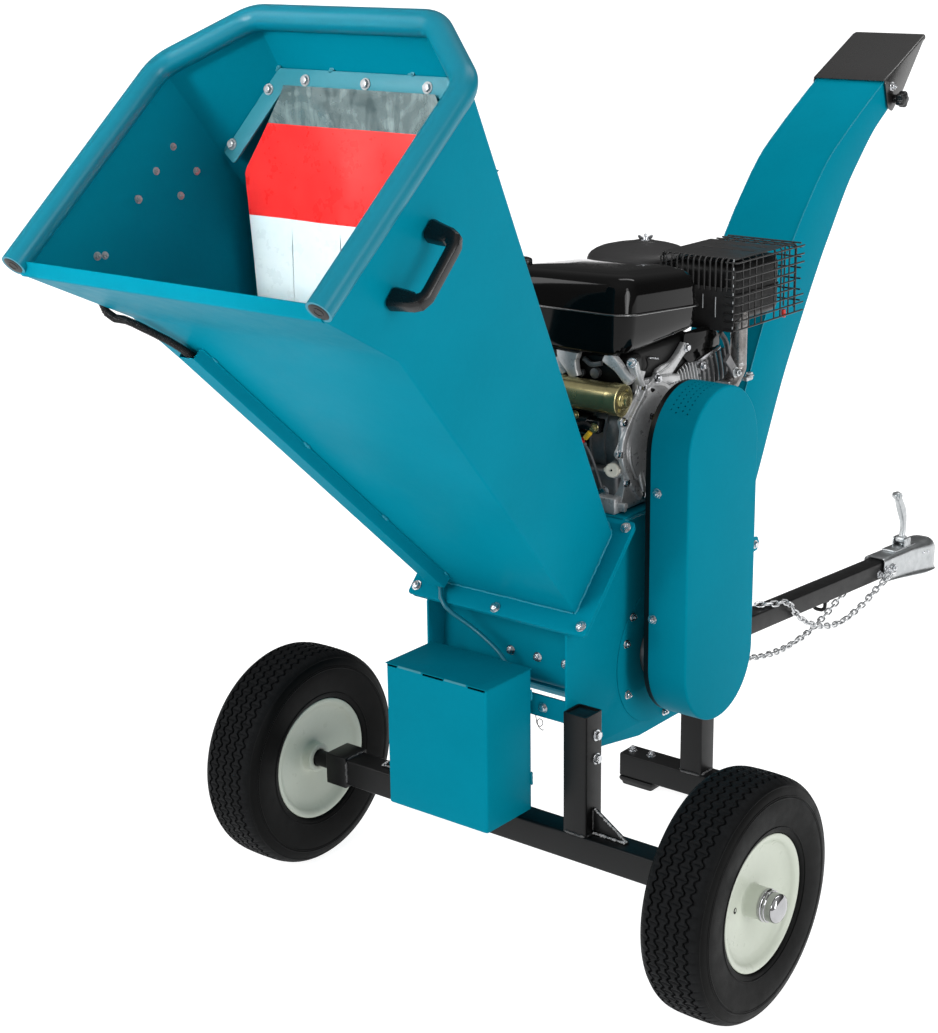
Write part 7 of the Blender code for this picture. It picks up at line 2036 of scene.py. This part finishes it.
def build_tank():
    x0, x1, y0, y1 = -0.1500, 0.1330, 0.1700, 0.4250
    cx, cy, hx, hy = (x0 + x1) / 2, (y0 + y1) / 2, (x1 - x0) / 2, (y1 - y0) / 2
    # (share from belly 0 to seam 1 to top 2, inset of the near face, inset of the other faces, corner)
    lv = [(0.0, 0.0300, 0.0360, 0.016), (0.012, 0.0180, 0.0240, 0.022), (0.05, 0.0105, 0.0165, 0.028), (0.13, 0.0062, 0.0115, 0.032), (0.28, 0.0040, 0.0075, 0.036), (0.55, 0.0032, 0.0048, 0.038),
          (0.955, 0.0030, 0.0034, 0.040), (0.965, 0.0012, 0.0012, 0.041), (0.975, 0.0, 0.0, 0.042), (1.015, 0.0, 0.0, 0.042), (1.025, 0.0012, 0.0012, 0.041), (1.035, 0.0034, 0.0030, 0.040),
          (1.20, 0.0052, 0.0038, 0.040), (1.42, 0.0085, 0.0050, 0.039), (1.60, 0.0125, 0.0072, 0.038), (1.74, 0.0175, 0.0112, 0.036), (1.83, 0.0225, 0.0168, 0.034), (1.88, 0.0275, 0.0230, 0.031), (1.905, 0.0325, 0.0295, 0.028),
          (1.915, 0.0360, 0.0330, 0.026), (1.935, 0.0380, 0.0352, 0.025), (1.952, 0.0408, 0.0382, 0.024), (1.968, 0.0460, 0.0440, 0.022), (1.982, 0.0560, 0.0560, 0.018), (1.994, 0.0750, 0.0760, 0.014), (2.0, 0.0980, 0.0980, 0.010)]
    secs = []
    for q, near_, inset, r in lv:
        hyq = (2 * hy - near_ - inset) / 2
        cyq = y0 + near_ + hyq
        ring_ = []
        for a, b in rounded_rect(hx - inset, hyq, r, 12):
            x, y = cx + a, cyq + b
            t = (y - y0) / (y1 - y0)
            zb = 1.0022 + 0.0150 * t
            zs = 1.0775 - 0.0190 * t
            zt = 1.1490 - 0.0210 * t - 0.036 * (x1 - x)
            z = zb + (zs - zb) * q if q < 1 else zs + (zt - zs) * (q - 1)
            ring_.append(Vector((x, y, z)))
        secs.append(ring_)
    ob = outward(loft("tank", secs, caps=(True, True)))
    ride(painted(merge("fuel_tank_shell", [ob]), GLOSS), "machine", None, ["fuel_tank"], angle=40)
    # seam bead round the tank, drawn in the lighter enamel copy as a painted highlight
    bead = []
    for a, b in rounded_rect(hx + 0.0002, hy + 0.0002, 0.042, 12):
        t = (cy + b - y0) / (y1 - y0)
        bead.append((cx + a, cy + b, 1.0775 - 0.0190 * t))
    ride(painted(tube("fuel_tank_seam", bead, 0.0017, 12, closed=True), GLOSS_SEAM_LIT), "machine", angle=60)
    # filler neck ring
    neck = lathe("neck", [(0.0150, 0.0), (0.0190, 0.0), (0.0200, -0.0012), (0.0210, -0.0040), (0.0220, -0.0120), (0.0150, -0.0160)], (-0.1220, 0.2250, 1.1309), (0, 0, 1), 64, closed=True)
    ride(painted(merge("filler_neck", [neck]), GLOSS), "machine")
    # cap with finger lobes
    secs = []
    for h, r, lobe in ((0.0002, 0.0200, 0.0), (0.0004, 0.0206, 0.0006), (0.0012, 0.0210, 0.0008), (0.0080, 0.0210, 0.0008), (0.0100, 0.0204, 0.0008), (0.0114, 0.0190, 0.0006), (0.0122, 0.0166, 0.0002), (0.0127, 0.0120, 0.0), (0.0129, 0.0060, 0.0)):
        ring_ = []
        for i in range(144):
            a = 2 * math.pi * i / 144
            q = r + lobe * math.copysign(abs(math.cos(9 * a)) ** 0.5, math.cos(9 * a))
            ring_.append(Vector((-0.1220 + q * math.cos(a), 0.2250 + q * math.sin(a), 1.1313 + h)))
        secs.append(ring_)
    cap = outward(loft("cap", secs, caps=(True, True)))
    bar_ = rbox("grip", (-0.1350, 0.2220, 1.1430), (-0.1090, 0.2280, 1.1450), 0.0009, 3)
    ride(painted(merge("fuel_cap_moulding", [cap, bar_]), PLASTIC), "fuel_cap", None, ["fuel_cap"], angle=40)


def build_air_cleaner():
    c = (-0.0885, 0.552, 1.000)
    prof = [(0, 0.1318), (0.0100, 0.1320), (0.0190, 0.1315), (0.0206, 0.1306), (0.0216, 0.1296), (0.0400, 0.1266), (0.0560, 0.1232), (0.0706, 0.1190), (0.0780, 0.1152), (0.0840, 0.1106), (0.0876, 0.1056), (0.0894, 0.1000),
            (0.0899, 0.0920), (0.0910, 0.0908), (0.0920, 0.0890), (0.0920, 0.0862), (0.0909, 0.0850), (0.0898, 0.0840), (0.0898, 0.0500), (0.0888, 0.0380), (0.0855, 0.0310), (0.0815, 0.0300), (0.0002, 0.0300)]
    rows = []
    for r, h in prof[::-1]:
        ring_ = []
        f = 1.0 - min(1.0, r / 0.0900)
        for i in range(112):
            a = 2 * math.pi * i / 112
            lean_ = 0.5 + 0.5 * (math.cos(a) * -0.78 + math.sin(a) * -0.62)
            q = max(r, 0.0002) * (1.0 + 0.125 * lean_ ** 1.4 * min(1.0, r / 0.060))
            ring_.append(Vector((c[0] + 0.0052 * f + q * math.cos(a), c[1] + 0.0042 * f + q * math.sin(a), c[2] + h)))
        rows.append(ring_)
    can = outward(loft("can", rows, caps=(True, True)))
    elbow = [rbox("elbow", (-0.1180, 0.5000, 0.9800), (-0.0800, 0.5600, 1.0400), 0.0080, 4), rbox("elbow", (-0.1180, 0.4500, 0.9300), (-0.0800, 0.5450, 0.9900), 0.0080, 4)]
    ribs = []
    for i in range(20):
        a = 2 * math.pi * i / 20
        d = Vector((math.cos(a), math.sin(a), 0))
        p = Vector(c) + d * (0.0898 * (1.0 + 0.125 * (0.5 - 0.39 * math.cos(a) - 0.31 * math.sin(a)) ** 1.4)) + Vector((0, 0, 0.042))
        ribs.append(tube("rib", [p, p + Vector((0, 0, 0.034))], 0.0012, 8))
    ride(painted(merge("air_cleaner_can", [can] + elbow + ribs), PLASTIC_SOFT), "machine", None, ["air_cleaner"], angle=35)
    # wing nut on its stud
    t = Vector(c) + Vector((0.0052, 0.0042, 0.1318))
    nut = [rod("stud", t, t + Vector((0, 0, 0.0118)), 0.0024, 16), lathe("washer", [(0, 0.0010), (0.0074, 0.0010), (0.0078, 0.0006), (0.0078, 0.0), (0, 0.0)], t, (0, 0, 1), 32), rod("hub", t + Vector((0, 0, 0.0010)), t + Vector((0, 0, 0.0060)), 0.0052, 20, r2=0.0042)]
    a = Vector((0.80, 0.60, 0))
    for s in (-1, 1):
        nut.append(strut("wing", [t + a * (s * 0.0036) + Vector((0, 0, 0.0030)), t + a * (s * 0.0076) + Vector((0, 0, 0.0044)), t + a * (s * 0.0108) + Vector((0, 0, 0.0070)), t + a * (s * 0.0124) + Vector((0, 0, 0.0096))], [0.0026, 0.0034, 0.0032, 0.0018], 0.0014, (0.6, -0.8, 0)))
    ride(painted(merge("wing_nut", nut), ZINC), "machine")


def build_muffler():
    can = rbox("can", (0.0180, 0.4860, 1.0120), (0.1500, 0.6490, 1.1172), 0.0170, 5)
    ridge = []
    seam = [(x, y) for x, y in round_loop([(0.0172, 0.4852), (0.1508, 0.4852), (0.1508, 0.6498), (0.0172, 0.6498)], 0.0178, 6)]
    ridge.append(tube("seam", [(x, y, 1.0640) for x, y in seam], 0.0018, 8, closed=True))
    ride(painted(merge("muffler_can", [can] + ridge), HEAT), "machine", None, ["muffler"], angle=35)
    pts = round_path([(0.1380, 0.5270, 1.0300), (0.1380, 0.5270, 0.9250), (0.1380, 0.5020, 0.9030), (0.1380, 0.4790, 0.8965)], 0.014, 8)
    pipe = tube("exhaust_pipe", resample(pts, 90), 0.0150, 40)
    ride(painted(pipe, BURNT), "machine", angle=40)
    fl_ = [plate("fl", round_loop([(0.1238, 0.8812), (0.1558, 0.8812), (0.1558, 0.9128), (0.1238, 0.9128)], 0.0080, 4), 0.0070, planar("XZ", (0, 0.4750, 0)), edge=0.0010),
           rod("collar", (0.1380, 0.5270, 0.9330), (0.1380, 0.5270, 0.9385), 0.0150, 36), rbox("lug", (0.1420, 0.5360, 0.9010), (0.1520, 0.5580, 0.9090), 0.0020, 3)]
    ride(painted(merge("exhaust_flange", fl_), CASTZ), "machine")
    nuts = hexbolt(Vector((0.1520, 0.4960, 0.9260)), Vector((1, 0, 0)), 0.0062, 0.0066, washer=0.0096, stub=0.0036) + hexbolt(Vector((0.1490, 0.4712, 0.8990)), Vector((0, -1, 0)), 0.0056, 0.0058, washer=0.0082, stub=0.0040)
    nuts += hexbolt(Vector((0.1470, 0.5530, 0.9091)), Vector((0, 0, 1)), 0.0050, 0.0048, washer=0.0078)
    ride(painted(merge("exhaust_nuts", nuts), CASTZ), "machine")
    arm = strut("arm", [(0.1470, 0.4720, 0.9560), (0.1480, 0.4860, 0.9400), (0.1490, 0.4960, 0.9260)], [0.0090, 0.0080, 0.0090], 0.0036, (1, 0, 0))
    ride(painted(merge("exhaust_arm", [arm]), ALU_SHADED), "machine")


def build_guard():
    g0, g1 = (0.004, 0.469, 1.000), (0.165, 0.708, 1.132)
    w = 0.00155
    out = []
    zt = g1[2]
    # sheet top with pressed slots, rolled down at the near edge
    top = [(g0[0], 0.4780), (g1[0] - 0.006, 0.4780), (g1[0] - 0.006, 0.6420), (g0[0], 0.6420)]
    holes = []
    for k in range(3):
        for j in range(2):
            x, y = 0.0350 + 0.0420 * k, 0.5600 + 0.0450 * j
            holes.append(round_loop([(x, y), (x + 0.0230, y), (x + 0.0230, y + 0.0055), (x, y + 0.0055)], 0.002, 3))
    out.append(plate("top", round_loop(top, 0.004, 3), 0.0016, planar("XY", (0, 0, zt - 0.0015)), holes, edge=0.0004))
    n_sl = 14
    for k in range(n_sl):
        x = g0[0] + 0.0030 + (g1[0] - g0[0] - 0.0120) * k / (n_sl - 1)
        pts = [(x, 0.4900, zt - 0.0018), (x, 0.4790, zt - 0.0018), (x, 0.4735, zt - 0.0030), (x, 0.4706, zt - 0.0080), (x, 0.4704, zt - 0.0200), (x, 0.4704, zt - 0.0580)]
        out.append(tube("slat", round_path(pts, 0.004, 4), 0.0017, 10))
    # solid lower panel on the near side; its two bright louvre edges are drawn further down as painted highlights
    out.append(rbox("panel", (g0[0] + 0.001, 0.4722, g0[2] + 0.002), (g1[0] - 0.0060, 0.4742, zt - 0.0530), 0.0008, 2))
    panel = merge("guard_panel", out)
    wires = []
    # long wires of the side, bent round the near corner and ending in open prongs
    for k in range(9):
        z = zt - 0.0070 - 0.0149 * k
        end = 0.7070 if k in (0, 1, 2, 6, 7, 8) else 0.6740
        pts = [(g1[0] - 0.0240, 0.4712, z), (g1[0] - 0.0050, 0.4712, z), (g1[0] - 0.0014, 0.4752, z), (g1[0] - 0.0014, 0.5200, z), (g1[0] - 0.0014, 0.6400, z), (g1[0] - 0.0014, end, z)]
        wires.append(tube("wire", round_path(pts, 0.0030, 4), w, 10))
    for y in (0.4960, 0.5180, 0.5400, 0.5620, 0.6060, 0.6280, 0.6560, 0.6800):
        pts = [(g1[0] - 0.0060, y, zt - 0.0025), (g1[0] - 0.0028, y, zt - 0.0050), (g1[0] - 0.0028, y, 1.0100), (g1[0] - 0.0028, y, 1.0040)]
        wires.append(tube("wire", pts, w, 10))
    # wires of the far end and the top's open part
    for k in range(7):
        x = 0.0200 + 0.0215 * k
        pts = [(x, 0.6300, zt - 0.0028), (x, 0.6900, zt - 0.0028), (x, 0.6980, zt - 0.0060), (x, 0.7000, zt - 0.0150), (x, 0.7000, 1.0100)]
        wires.append(tube("wire", round_path(pts, 0.0040, 3), w, 10))
    for z in (zt - 0.0100, zt - 0.0280, zt - 0.0480, 1.0640, 1.0440, 1.0240):
        wires.append(tube("wire", [(0.0100, 0.7012, z), (g1[0] - 0.0040, 0.7012, z)], w, 10))
    for y in (0.6560, 0.6760, 0.6960):
        wires.append(tube("wire", [(0.0080, y, zt - 0.0016), (g1[0] - 0.0020, y, zt - 0.0016)], w, 10))
    # the hidden side
    for k in range(9):
        z = zt - 0.0070 - 0.0149 * k
        wires.append(tube("wire", [(g0[0] + 0.0014, 0.4760, z), (g0[0] + 0.0014, 0.7000, z)], w, 10))
    for y in (0.4800, 0.5300, 0.5900, 0.6400, 0.6960):
        wires.append(tube("wire", [(g0[0] + 0.0028, y, zt - 0.0030), (g0[0] + 0.0028, y, 1.0060)], w, 10))
    cage = merge("guard_wires", wires)
    ride(painted(panel, HEAT_TOP), "machine", None, ["muffler_guard"], angle=40)
    ride(painted(cage, WIRE), "machine", angle=60)
    # painted highlights: bright strips on the wire bends at the near corner and on two louvre edges, where they catch
    # the light; then a red cap
    guard_glints = []
    for k in range(9):
        z = zt - 0.0070 - 0.0149 * k
        guard_glints.append(tube("wire_glint", [(g1[0] - 0.0066, 0.46985, z + 0.0030), (g1[0] - 0.0066, 0.46985, z + 0.0075)], 0.0008, 8))
    guard_glints.append(tube("louvre", [(0.0960, 0.4716, 1.0400), (0.0960, 0.4716, 1.0650)], 0.0008, 8))
    guard_glints.append(tube("louvre", [(0.1220, 0.4716, 1.0260), (0.1220, 0.4716, 1.0620)], 0.0008, 8))
    ride(painted(merge("guard_painted_highlights", guard_glints), CASTZ), "machine")
    red = rod("red_cap", (0.1580, 0.6480, 1.0012), (0.1580, 0.6480, 1.0150), 0.0042, 20)
    ride(painted(merge("guard_red_cap", [red]), REDP), "machine")


def build_starter():
    y, z = 0.177, 0.935
    prof = [(0, -0.0498), (0.0190, -0.0498), (0.0224, -0.0488), (0.0238, -0.0470), (0.0244, -0.0430), (0.0246, -0.0050), (0.0250, 0.0020), (0.0264, 0.0026), (0.0274, 0.0036), (0.0277, 0.0060), (0.0274, 0.0080),
            (0.0262, 0.0088), (0.0260, 0.0096), (0.0260, 0.1060), (0.0266, 0.1068), (0.0278, 0.1076), (0.0279, 0.1090), (0.0279, 0.1268), (0.0276, 0.1286), (0.0266, 0.1295), (0.0250, 0.1298), (0.0150, 0.1298), (0.0142, 0.1304), (0.0140, 0.1330), (0.0132, 0.1338), (0.0100, 0.1340), (0.0095, 0.1346),
            (0.0095, 0.1380), (0.0086, 0.1398), (0.0056, 0.1408), (0, 0.1410)]
    body = lathe("starter_body", prof, (0, y, z), (1, 0, 0), 96)
    ride(painted(body, GOLD), "machine", None, ["starter_motor"], angle=35)
    # through bolts and solenoid
    parts_ = []
    for a in (0.9, 0.9 + math.pi):
        dy, dz = 0.0190 * math.cos(a), 0.0190 * math.sin(a)
        parts_ += hexbolt(Vector((0.1298, y + dy, z + dz)), Vector((1, 0, 0)), 0.0028, 0.0024)
    ride(painted(merge("starter_bolts", parts_), GOLD), "machine")
    sol = lathe("solenoid", [(0, -0.0300), (0.0160, -0.0300), (0.0175, -0.0290), (0.0180, -0.0270), (0.0180, 0.0300), (0.0172, 0.0315), (0.0130, 0.0320), (0.0125, 0.0380), (0, 0.0385)], (0.0280, 0.1860, 0.8840), (1, 0, 0), 48)
    term = [rbox("term", (0.0560, 0.1690, 0.8720), (0.0840, 0.1900, 0.8950), 0.0030, 3), rbox("loom", (0.0200, 0.1680, 0.8420), (0.0560, 0.1860, 0.8640), 0.0040, 3)]
    ride(painted(merge("solenoid_black", [sol] + term), PLASTIC), "machine")
    brass = []
    for p in ((0.0345, 0.1690, 0.8985), (0.0755, 0.1680, 0.8818)):
        brass += hexbolt(Vector(p), Vector((0.25, -0.95, 0.1)), 0.0048, 0.0050, washer=0.0080, stub=0.0040)
    ride(painted(merge("terminals", brass), GOLD), "machine")
    leads = []
    leads.append(tube("lead", smooth([(0.0345, 0.1660, 0.8985), (0.0300, 0.1620, 0.9080), (0.0180, 0.1620, 0.9060), (0.0050, 0.1700, 0.8850), (0.0, 0.1800, 0.8600)], 40), 0.0030, 10))
    leads.append(tube("lead", smooth([(0.0755, 0.1640, 0.8818), (0.0640, 0.1600, 0.8900), (0.0480, 0.1600, 0.8860), (0.0300, 0.1640, 0.8760), (0.0100, 0.1700, 0.8660)], 40), 0.0032, 10))
    leads.append(tube("lead", smooth([(0.0505, 0.1640, 0.8534), (0.0400, 0.1620, 0.8580), (0.0200, 0.1660, 0.8600), (0.0, 0.1740, 0.8560)], 30), 0.0028, 10))
    leads.append(tube("lead", smooth([(0.0440, 0.1640, 0.8460), (0.0300, 0.1640, 0.8300), (0.0200, 0.1700, 0.8100), (0.0180, 0.1780, 0.7900)], 30), 0.0022, 10))
    leads.append(tube("lead", smooth([(0.1060, 0.2400, 0.9760), (0.1120, 0.2480, 0.9700), (0.1160, 0.2600, 0.9690), (0.1150, 0.2700, 0.9760), (0.1080, 0.2760, 0.9860)], 40), 0.0018, 10))
    ride(painted(merge("engine_leads", leads), RUBBER), "machine")
    tags = [rod("yellow", (0.0605, 0.1640, 0.8625), (0.0710, 0.1640, 0.8745), 0.0046, 20)]
    ride(painted(merge("yellow_sleeve", tags), YELLOW), "machine")
    red = [rod("red", (0.0470, 0.1640, 0.8520), (0.0560, 0.1640, 0.8590), 0.0050, 20)]
    ride(painted(merge("red_sleeve", red), REDP), "machine")
    grey = [tube("grey", smooth([(0.0580, 0.1640, 0.8520), (0.0700, 0.1600, 0.8440), (0.0800, 0.1580, 0.8300), (0.0870, 0.1600, 0.8100), (0.0900, 0.1660, 0.7900), (0.0925, 0.1690, 0.7790)], 50), 0.0021, 10), rod("crimp", (0.0550, 0.1640, 0.8500), (0.0620, 0.1640, 0.8520), 0.0034, 16)]
    ride(painted(merge("grey_lead_wire", grey), GREYW), "machine")
    # governor spring under the tank
    pts = []
    for i in range(160):
        a = 2 * math.pi * i / 10
        f = i / 159
        pts.append((0.1080 + 0.0022 * math.cos(a), 0.2860 + 0.026 * f, 0.9850 + 0.0022 * math.sin(a) - 0.006 * f))
    ride(painted(merge("governor_spring", [tube("spring", pts, 0.0005, 6)]), ZINC), "machine")


def build_recoil():
    c = (-0.1053, CRANK_Y, CRANK_Z)
    prof = [(0, 0.0846), (0.0180, 0.0850), (0.0200, 0.0842), (0.0220, 0.0832), (0.0460, 0.0838), (0.0500, 0.0846), (0.0560, 0.0815), (0.0620, 0.0750), (0.0800, 0.0665), (0.0965, 0.0572), (0.1030, 0.0500), (0.1056, 0.0430),
            (0.1070, 0.0260), (0.1076, 0.0100), (0.1080, 0.0060), (0.1080, 0.0015), (0.1074, 0.0), (0, 0.0)]
    ob = lathe("recoil", prof, c, (-1, 0, 0), 120)
    cuts = []
    for ring_, n_ in ((0.0880, 36), (0.0720, 30)):
        for i in range(n_):
            a = 2 * math.pi * i / n_
            d = Vector((0, math.cos(a), math.sin(a)))
            t = Vector((0, -math.sin(a), math.cos(a)))
            p = Vector(c) + d * ring_
            cuts.append(rbox("slot", (-0.0056, -0.0019, -0.0150), (0.0056, 0.0019, 0.0150), 0.0, 1, frame_m(p + Vector((-0.0625 if ring_ > 0.08 else -0.0700, 0, 0)), d, t, Vector((1, 0, 0)))))
    ride(painted(merge("recoil_housing", [ob] + []), GLOSS), "machine", None, ["recoil_cover"], angle=30)
    fins = []
    for i in range(30):
        a = 2 * math.pi * i / 30
        d = Vector((0, math.cos(a), math.sin(a)))
        p0, p1 = Vector(c) + d * 0.0640 + Vector((-0.0745, 0, 0)), Vector(c) + d * 0.0940 + Vector((-0.0592, 0, 0))
        fins.append(tube("fin", [p0, p1], 0.0013, 8))
    for i in range(4):
        a = math.radians(45 + 90 * i)
        d = Vector((0, math.cos(a), math.sin(a)))
        fins += hexbolt(Vector(c) + d * 0.1010 + Vector((-0.0518, 0, 0)), Vector((-0.8, 0, 0)) + d * 0.6, 0.0044, 0.0040, washer=0.0066)
    for q in cuts:
        bpy.data.objects.remove(q, do_unlink=True)
    ride(painted(merge("recoil_fins", fins), HEAT), "machine")
    gm = Matrix.Identity(4)
    grip = [rbox("grip", (-0.1898, 0.1352, 0.9352), (-0.1682, 0.2048, 0.9528), 0.0070, 5), rod("stem", (-0.1790, 0.1700, 0.9150), (-0.1790, 0.1700, 0.9380), 0.0060, 24, r2=0.0074)]
    for k in range(5):
        y = 0.1480 + 0.0110 * k
        grip.append(tube("ridge", [(-0.1900, y, 0.9400), (-0.1900, y, 0.9480)], 0.0008, 6))
    ride(painted(merge("recoil_grip_moulding", grip), PLASTIC), "machine", None, ["recoil_grip"], angle=40)
    rope = tube("rope", [(-0.1790, 0.1700, 0.9060), (-0.1790, 0.1700, 0.9160)], 0.0024, 12)
    ride(painted(merge("recoil_rope", [rope]), GREYW), "machine")


# painted highlight: a lighter copy of the tank enamel for the seam bead, so that it reads as a bright line
GLOSS_SEAM_LIT = coat("rolled_seam_painted_highlight", (0.010, 0.010, 0.010), (0.018, 0.018, 0.018), 0.14, 0.22, 0.02, 500.0, spec=1.0, coatw=1.0, coatr=0.10)
PLASTIC_SOFT = coat("grey_black_moulding", (0.0165, 0.0160, 0.0165), (0.0225, 0.0215, 0.0220), 0.42, 0.52, 0.10, 900.0, spec=0.5)
HEAT_TOP = coat("guard_top_black", (0.0140, 0.0135, 0.0138), (0.0200, 0.0195, 0.0195), 0.38, 0.52, 0.25, 1000.0, spec=0.5)
build_crankcase()
build_cylinder()
build_tank()
build_air_cleaner()
build_muffler()
build_guard()
build_starter()
build_recoil()


# ================================================================== pieces kept from the frame, with finished surfaces
def finish_node(name, look):
    ob = frame["nodes"].get(name)
    if ob is None:
        return
    obs = ob if isinstance(ob, (list, tuple)) else [ob]
    for o in obs:
        if not o.material_slots:
            o.data.materials.append(look)
        for sl in o.material_slots:
            sl.material = look


for _n, _look in (("rotor_casing", TEAL), ("rotor", STEEL), ("rotor_blade_a", STEEL), ("rotor_blade_b", STEEL), ("bed_knife", STEEL),
                  ("rotor_bearing_left", STEEL), ("rotor_bearing_right", STEEL), ("rotor_pulley", STEEL), ("engine_pulley", STEEL),
                  ("drive_belt", RUBBER), ("battery", PLASTIC)):
    finish_node(_n, _look)


# ================================================================== camera, floor, light
az, el, roll = math.radians(38.7153366), math.radians(17.0934373), math.radians(-0.805623742)
back = Vector((math.sin(az) * math.cos(el), -math.cos(az) * math.cos(el), math.sin(el)))
right0 = Vector((math.cos(az), math.sin(az), 0))
up0 = back.cross(right0)
right = right0 * math.cos(roll) + up0 * math.sin(roll)
up = -right0 * math.sin(roll) + up0 * math.cos(roll)
cam = bpy.data.objects.new("camera", bpy.data.cameras.new("camera"))
SCENE.collection.objects.link(cam)
m = Matrix((right, up, back)).transposed().to_4x4()
m.translation = Vector((1.98419309, -2.55294507 - YM, 1.74882564))
cam.matrix_world = m
cam.data.sensor_fit = "VERTICAL"
cam.data.sensor_height = 36.0
cam.data.sensor_width = 36.0
cam.data.lens = 2032.27784 / 1033 * 36
cam.data.clip_end = 200
SCENE.camera = cam

floor = mesh("studio_floor", [(-60, -60, 0), (60, -60, 0), (60, 60, 0), (-60, 60, 0)], [(0, 1, 2, 3)])
k = Look("pale_floor")
k.set(Specular_IOR_Level=0.0, Emission_Color=(1.0, 1.0, 1.0, 1.0), Emission_Strength=0.92)
k.colour(k.ramp(k.noise(3.0, 2.0, 0.5), [(0.3, (0.495, 0.495, 0.495)), (0.7, (0.505, 0.505, 0.505))]))
k.rough(k.span(k.noise(8.0, 2.0, 0.5), 0.3, 0.7, 0.92, 1.0))
floor.data.materials.append(k.m)

# studio surround: bright overhead, mid-bright behind the camera, dark beyond the machine near the horizon
world = bpy.data.worlds.new("studio")
world.use_nodes = True
wt = world.node_tree
bg = wt.nodes["Background"]
tc = wt.nodes.new("ShaderNodeTexCoord")
sp = wt.nodes.new("ShaderNodeSeparateXYZ")
wt.links.new(tc.outputs["Generated"], sp.inputs[0])


def wmath(op, a, b, clamp=False):
    n = wt.nodes.new("ShaderNodeMath")
    n.operation = op
    n.use_clamp = clamp
    for i, x in enumerate((a, b)):
        if isinstance(x, (int, float)):
            n.inputs[i].default_value = x
        else:
            wt.links.new(x, n.inputs[i])
    return n.outputs[0]


def wramp(fac, stops):
    n = wt.nodes.new("ShaderNodeValToRGB")
    el_ = n.color_ramp.elements
    while len(el_) < len(stops):
        el_.new(0.5)
    for q, (p, c) in zip(el_, stops):
        q.position, q.color = p, (c, c, c, 1)
    wt.links.new(fac, n.inputs["Fac"])
    return n.outputs["Color"]


near = wmath("ADD", wmath("MULTIPLY", sp.outputs["X"], 0.6255), wmath("MULTIPLY", sp.outputs["Y"], -0.7802))
side = wramp(wmath("ADD", wmath("MULTIPLY", near, 0.5), 0.5), [(0.0, 0.05), (0.38, 0.07), (0.62, 0.22), (0.85, 0.32), (1.0, 0.28)])
zen = wramp(sp.outputs["Z"], [(0.0, 0.0), (0.30, 0.03), (0.62, 0.20), (0.85, 0.34), (1.0, 0.36)])
tot = wmath("ADD", zen, side)
wt.links.new(tot, bg.inputs["Strength"])
bg.inputs["Color"].default_value = (1.0, 1.0, 1.0, 1.0)
SCENE.world = world


def sun(name, direction, strength, angle):
    li = bpy.data.lights.new(name, "SUN")
    li.energy = strength
    li.angle = math.radians(angle)
    ob = bpy.data.objects.new(name, li)
    SCENE.collection.objects.link(ob)
    ob.rotation_euler = Vector(direction).to_track_quat("Z", "Y").to_euler()
    ob.location = Vector(direction) * 5
    return ob


def softbox(name, at, target, w, h, watts):
    li = bpy.data.lights.new(name, "AREA")
    li.shape = "RECTANGLE"
    li.size, li.size_y = w, h
    li.energy = watts
    ob = bpy.data.objects.new(name, li)
    SCENE.collection.objects.link(ob)
    ob.location = Vector(at)
    ob.rotation_euler = (Vector(at) - Vector(target)).to_track_quat("Z", "Y").to_euler()
    return ob


sun("key_sun", (-0.25, -0.88, 0.45), 1.10, 30)
sun("fill_sun", (0.97, -0.12, 0.24), 0.92, 26)
softbox("softbox_left", (-3.2, -3.0, 3.0), (0, -0.3, 0.7), 0.8, 2.6, 34)
softbox("softbox_right", (3.6, -0.6, 2.2), (0, 0, 0.8), 0.7, 2.4, 24)
softbox("softbox_top", (0.6, 1.6, 4.2), (0, 0.2, 0.8), 0.6, 3.0, 30)
mouth = softbox("softbox_mouth", (-0.5, -3.6, 2.0), (0.0, -0.32 - YM, 1.34), 0.5, 0.5, 1.7)
mouth.data.spread = math.radians(22)
SCENE.view_settings.view_transform = "Standard"
SCENE.view_settings.look = "None"
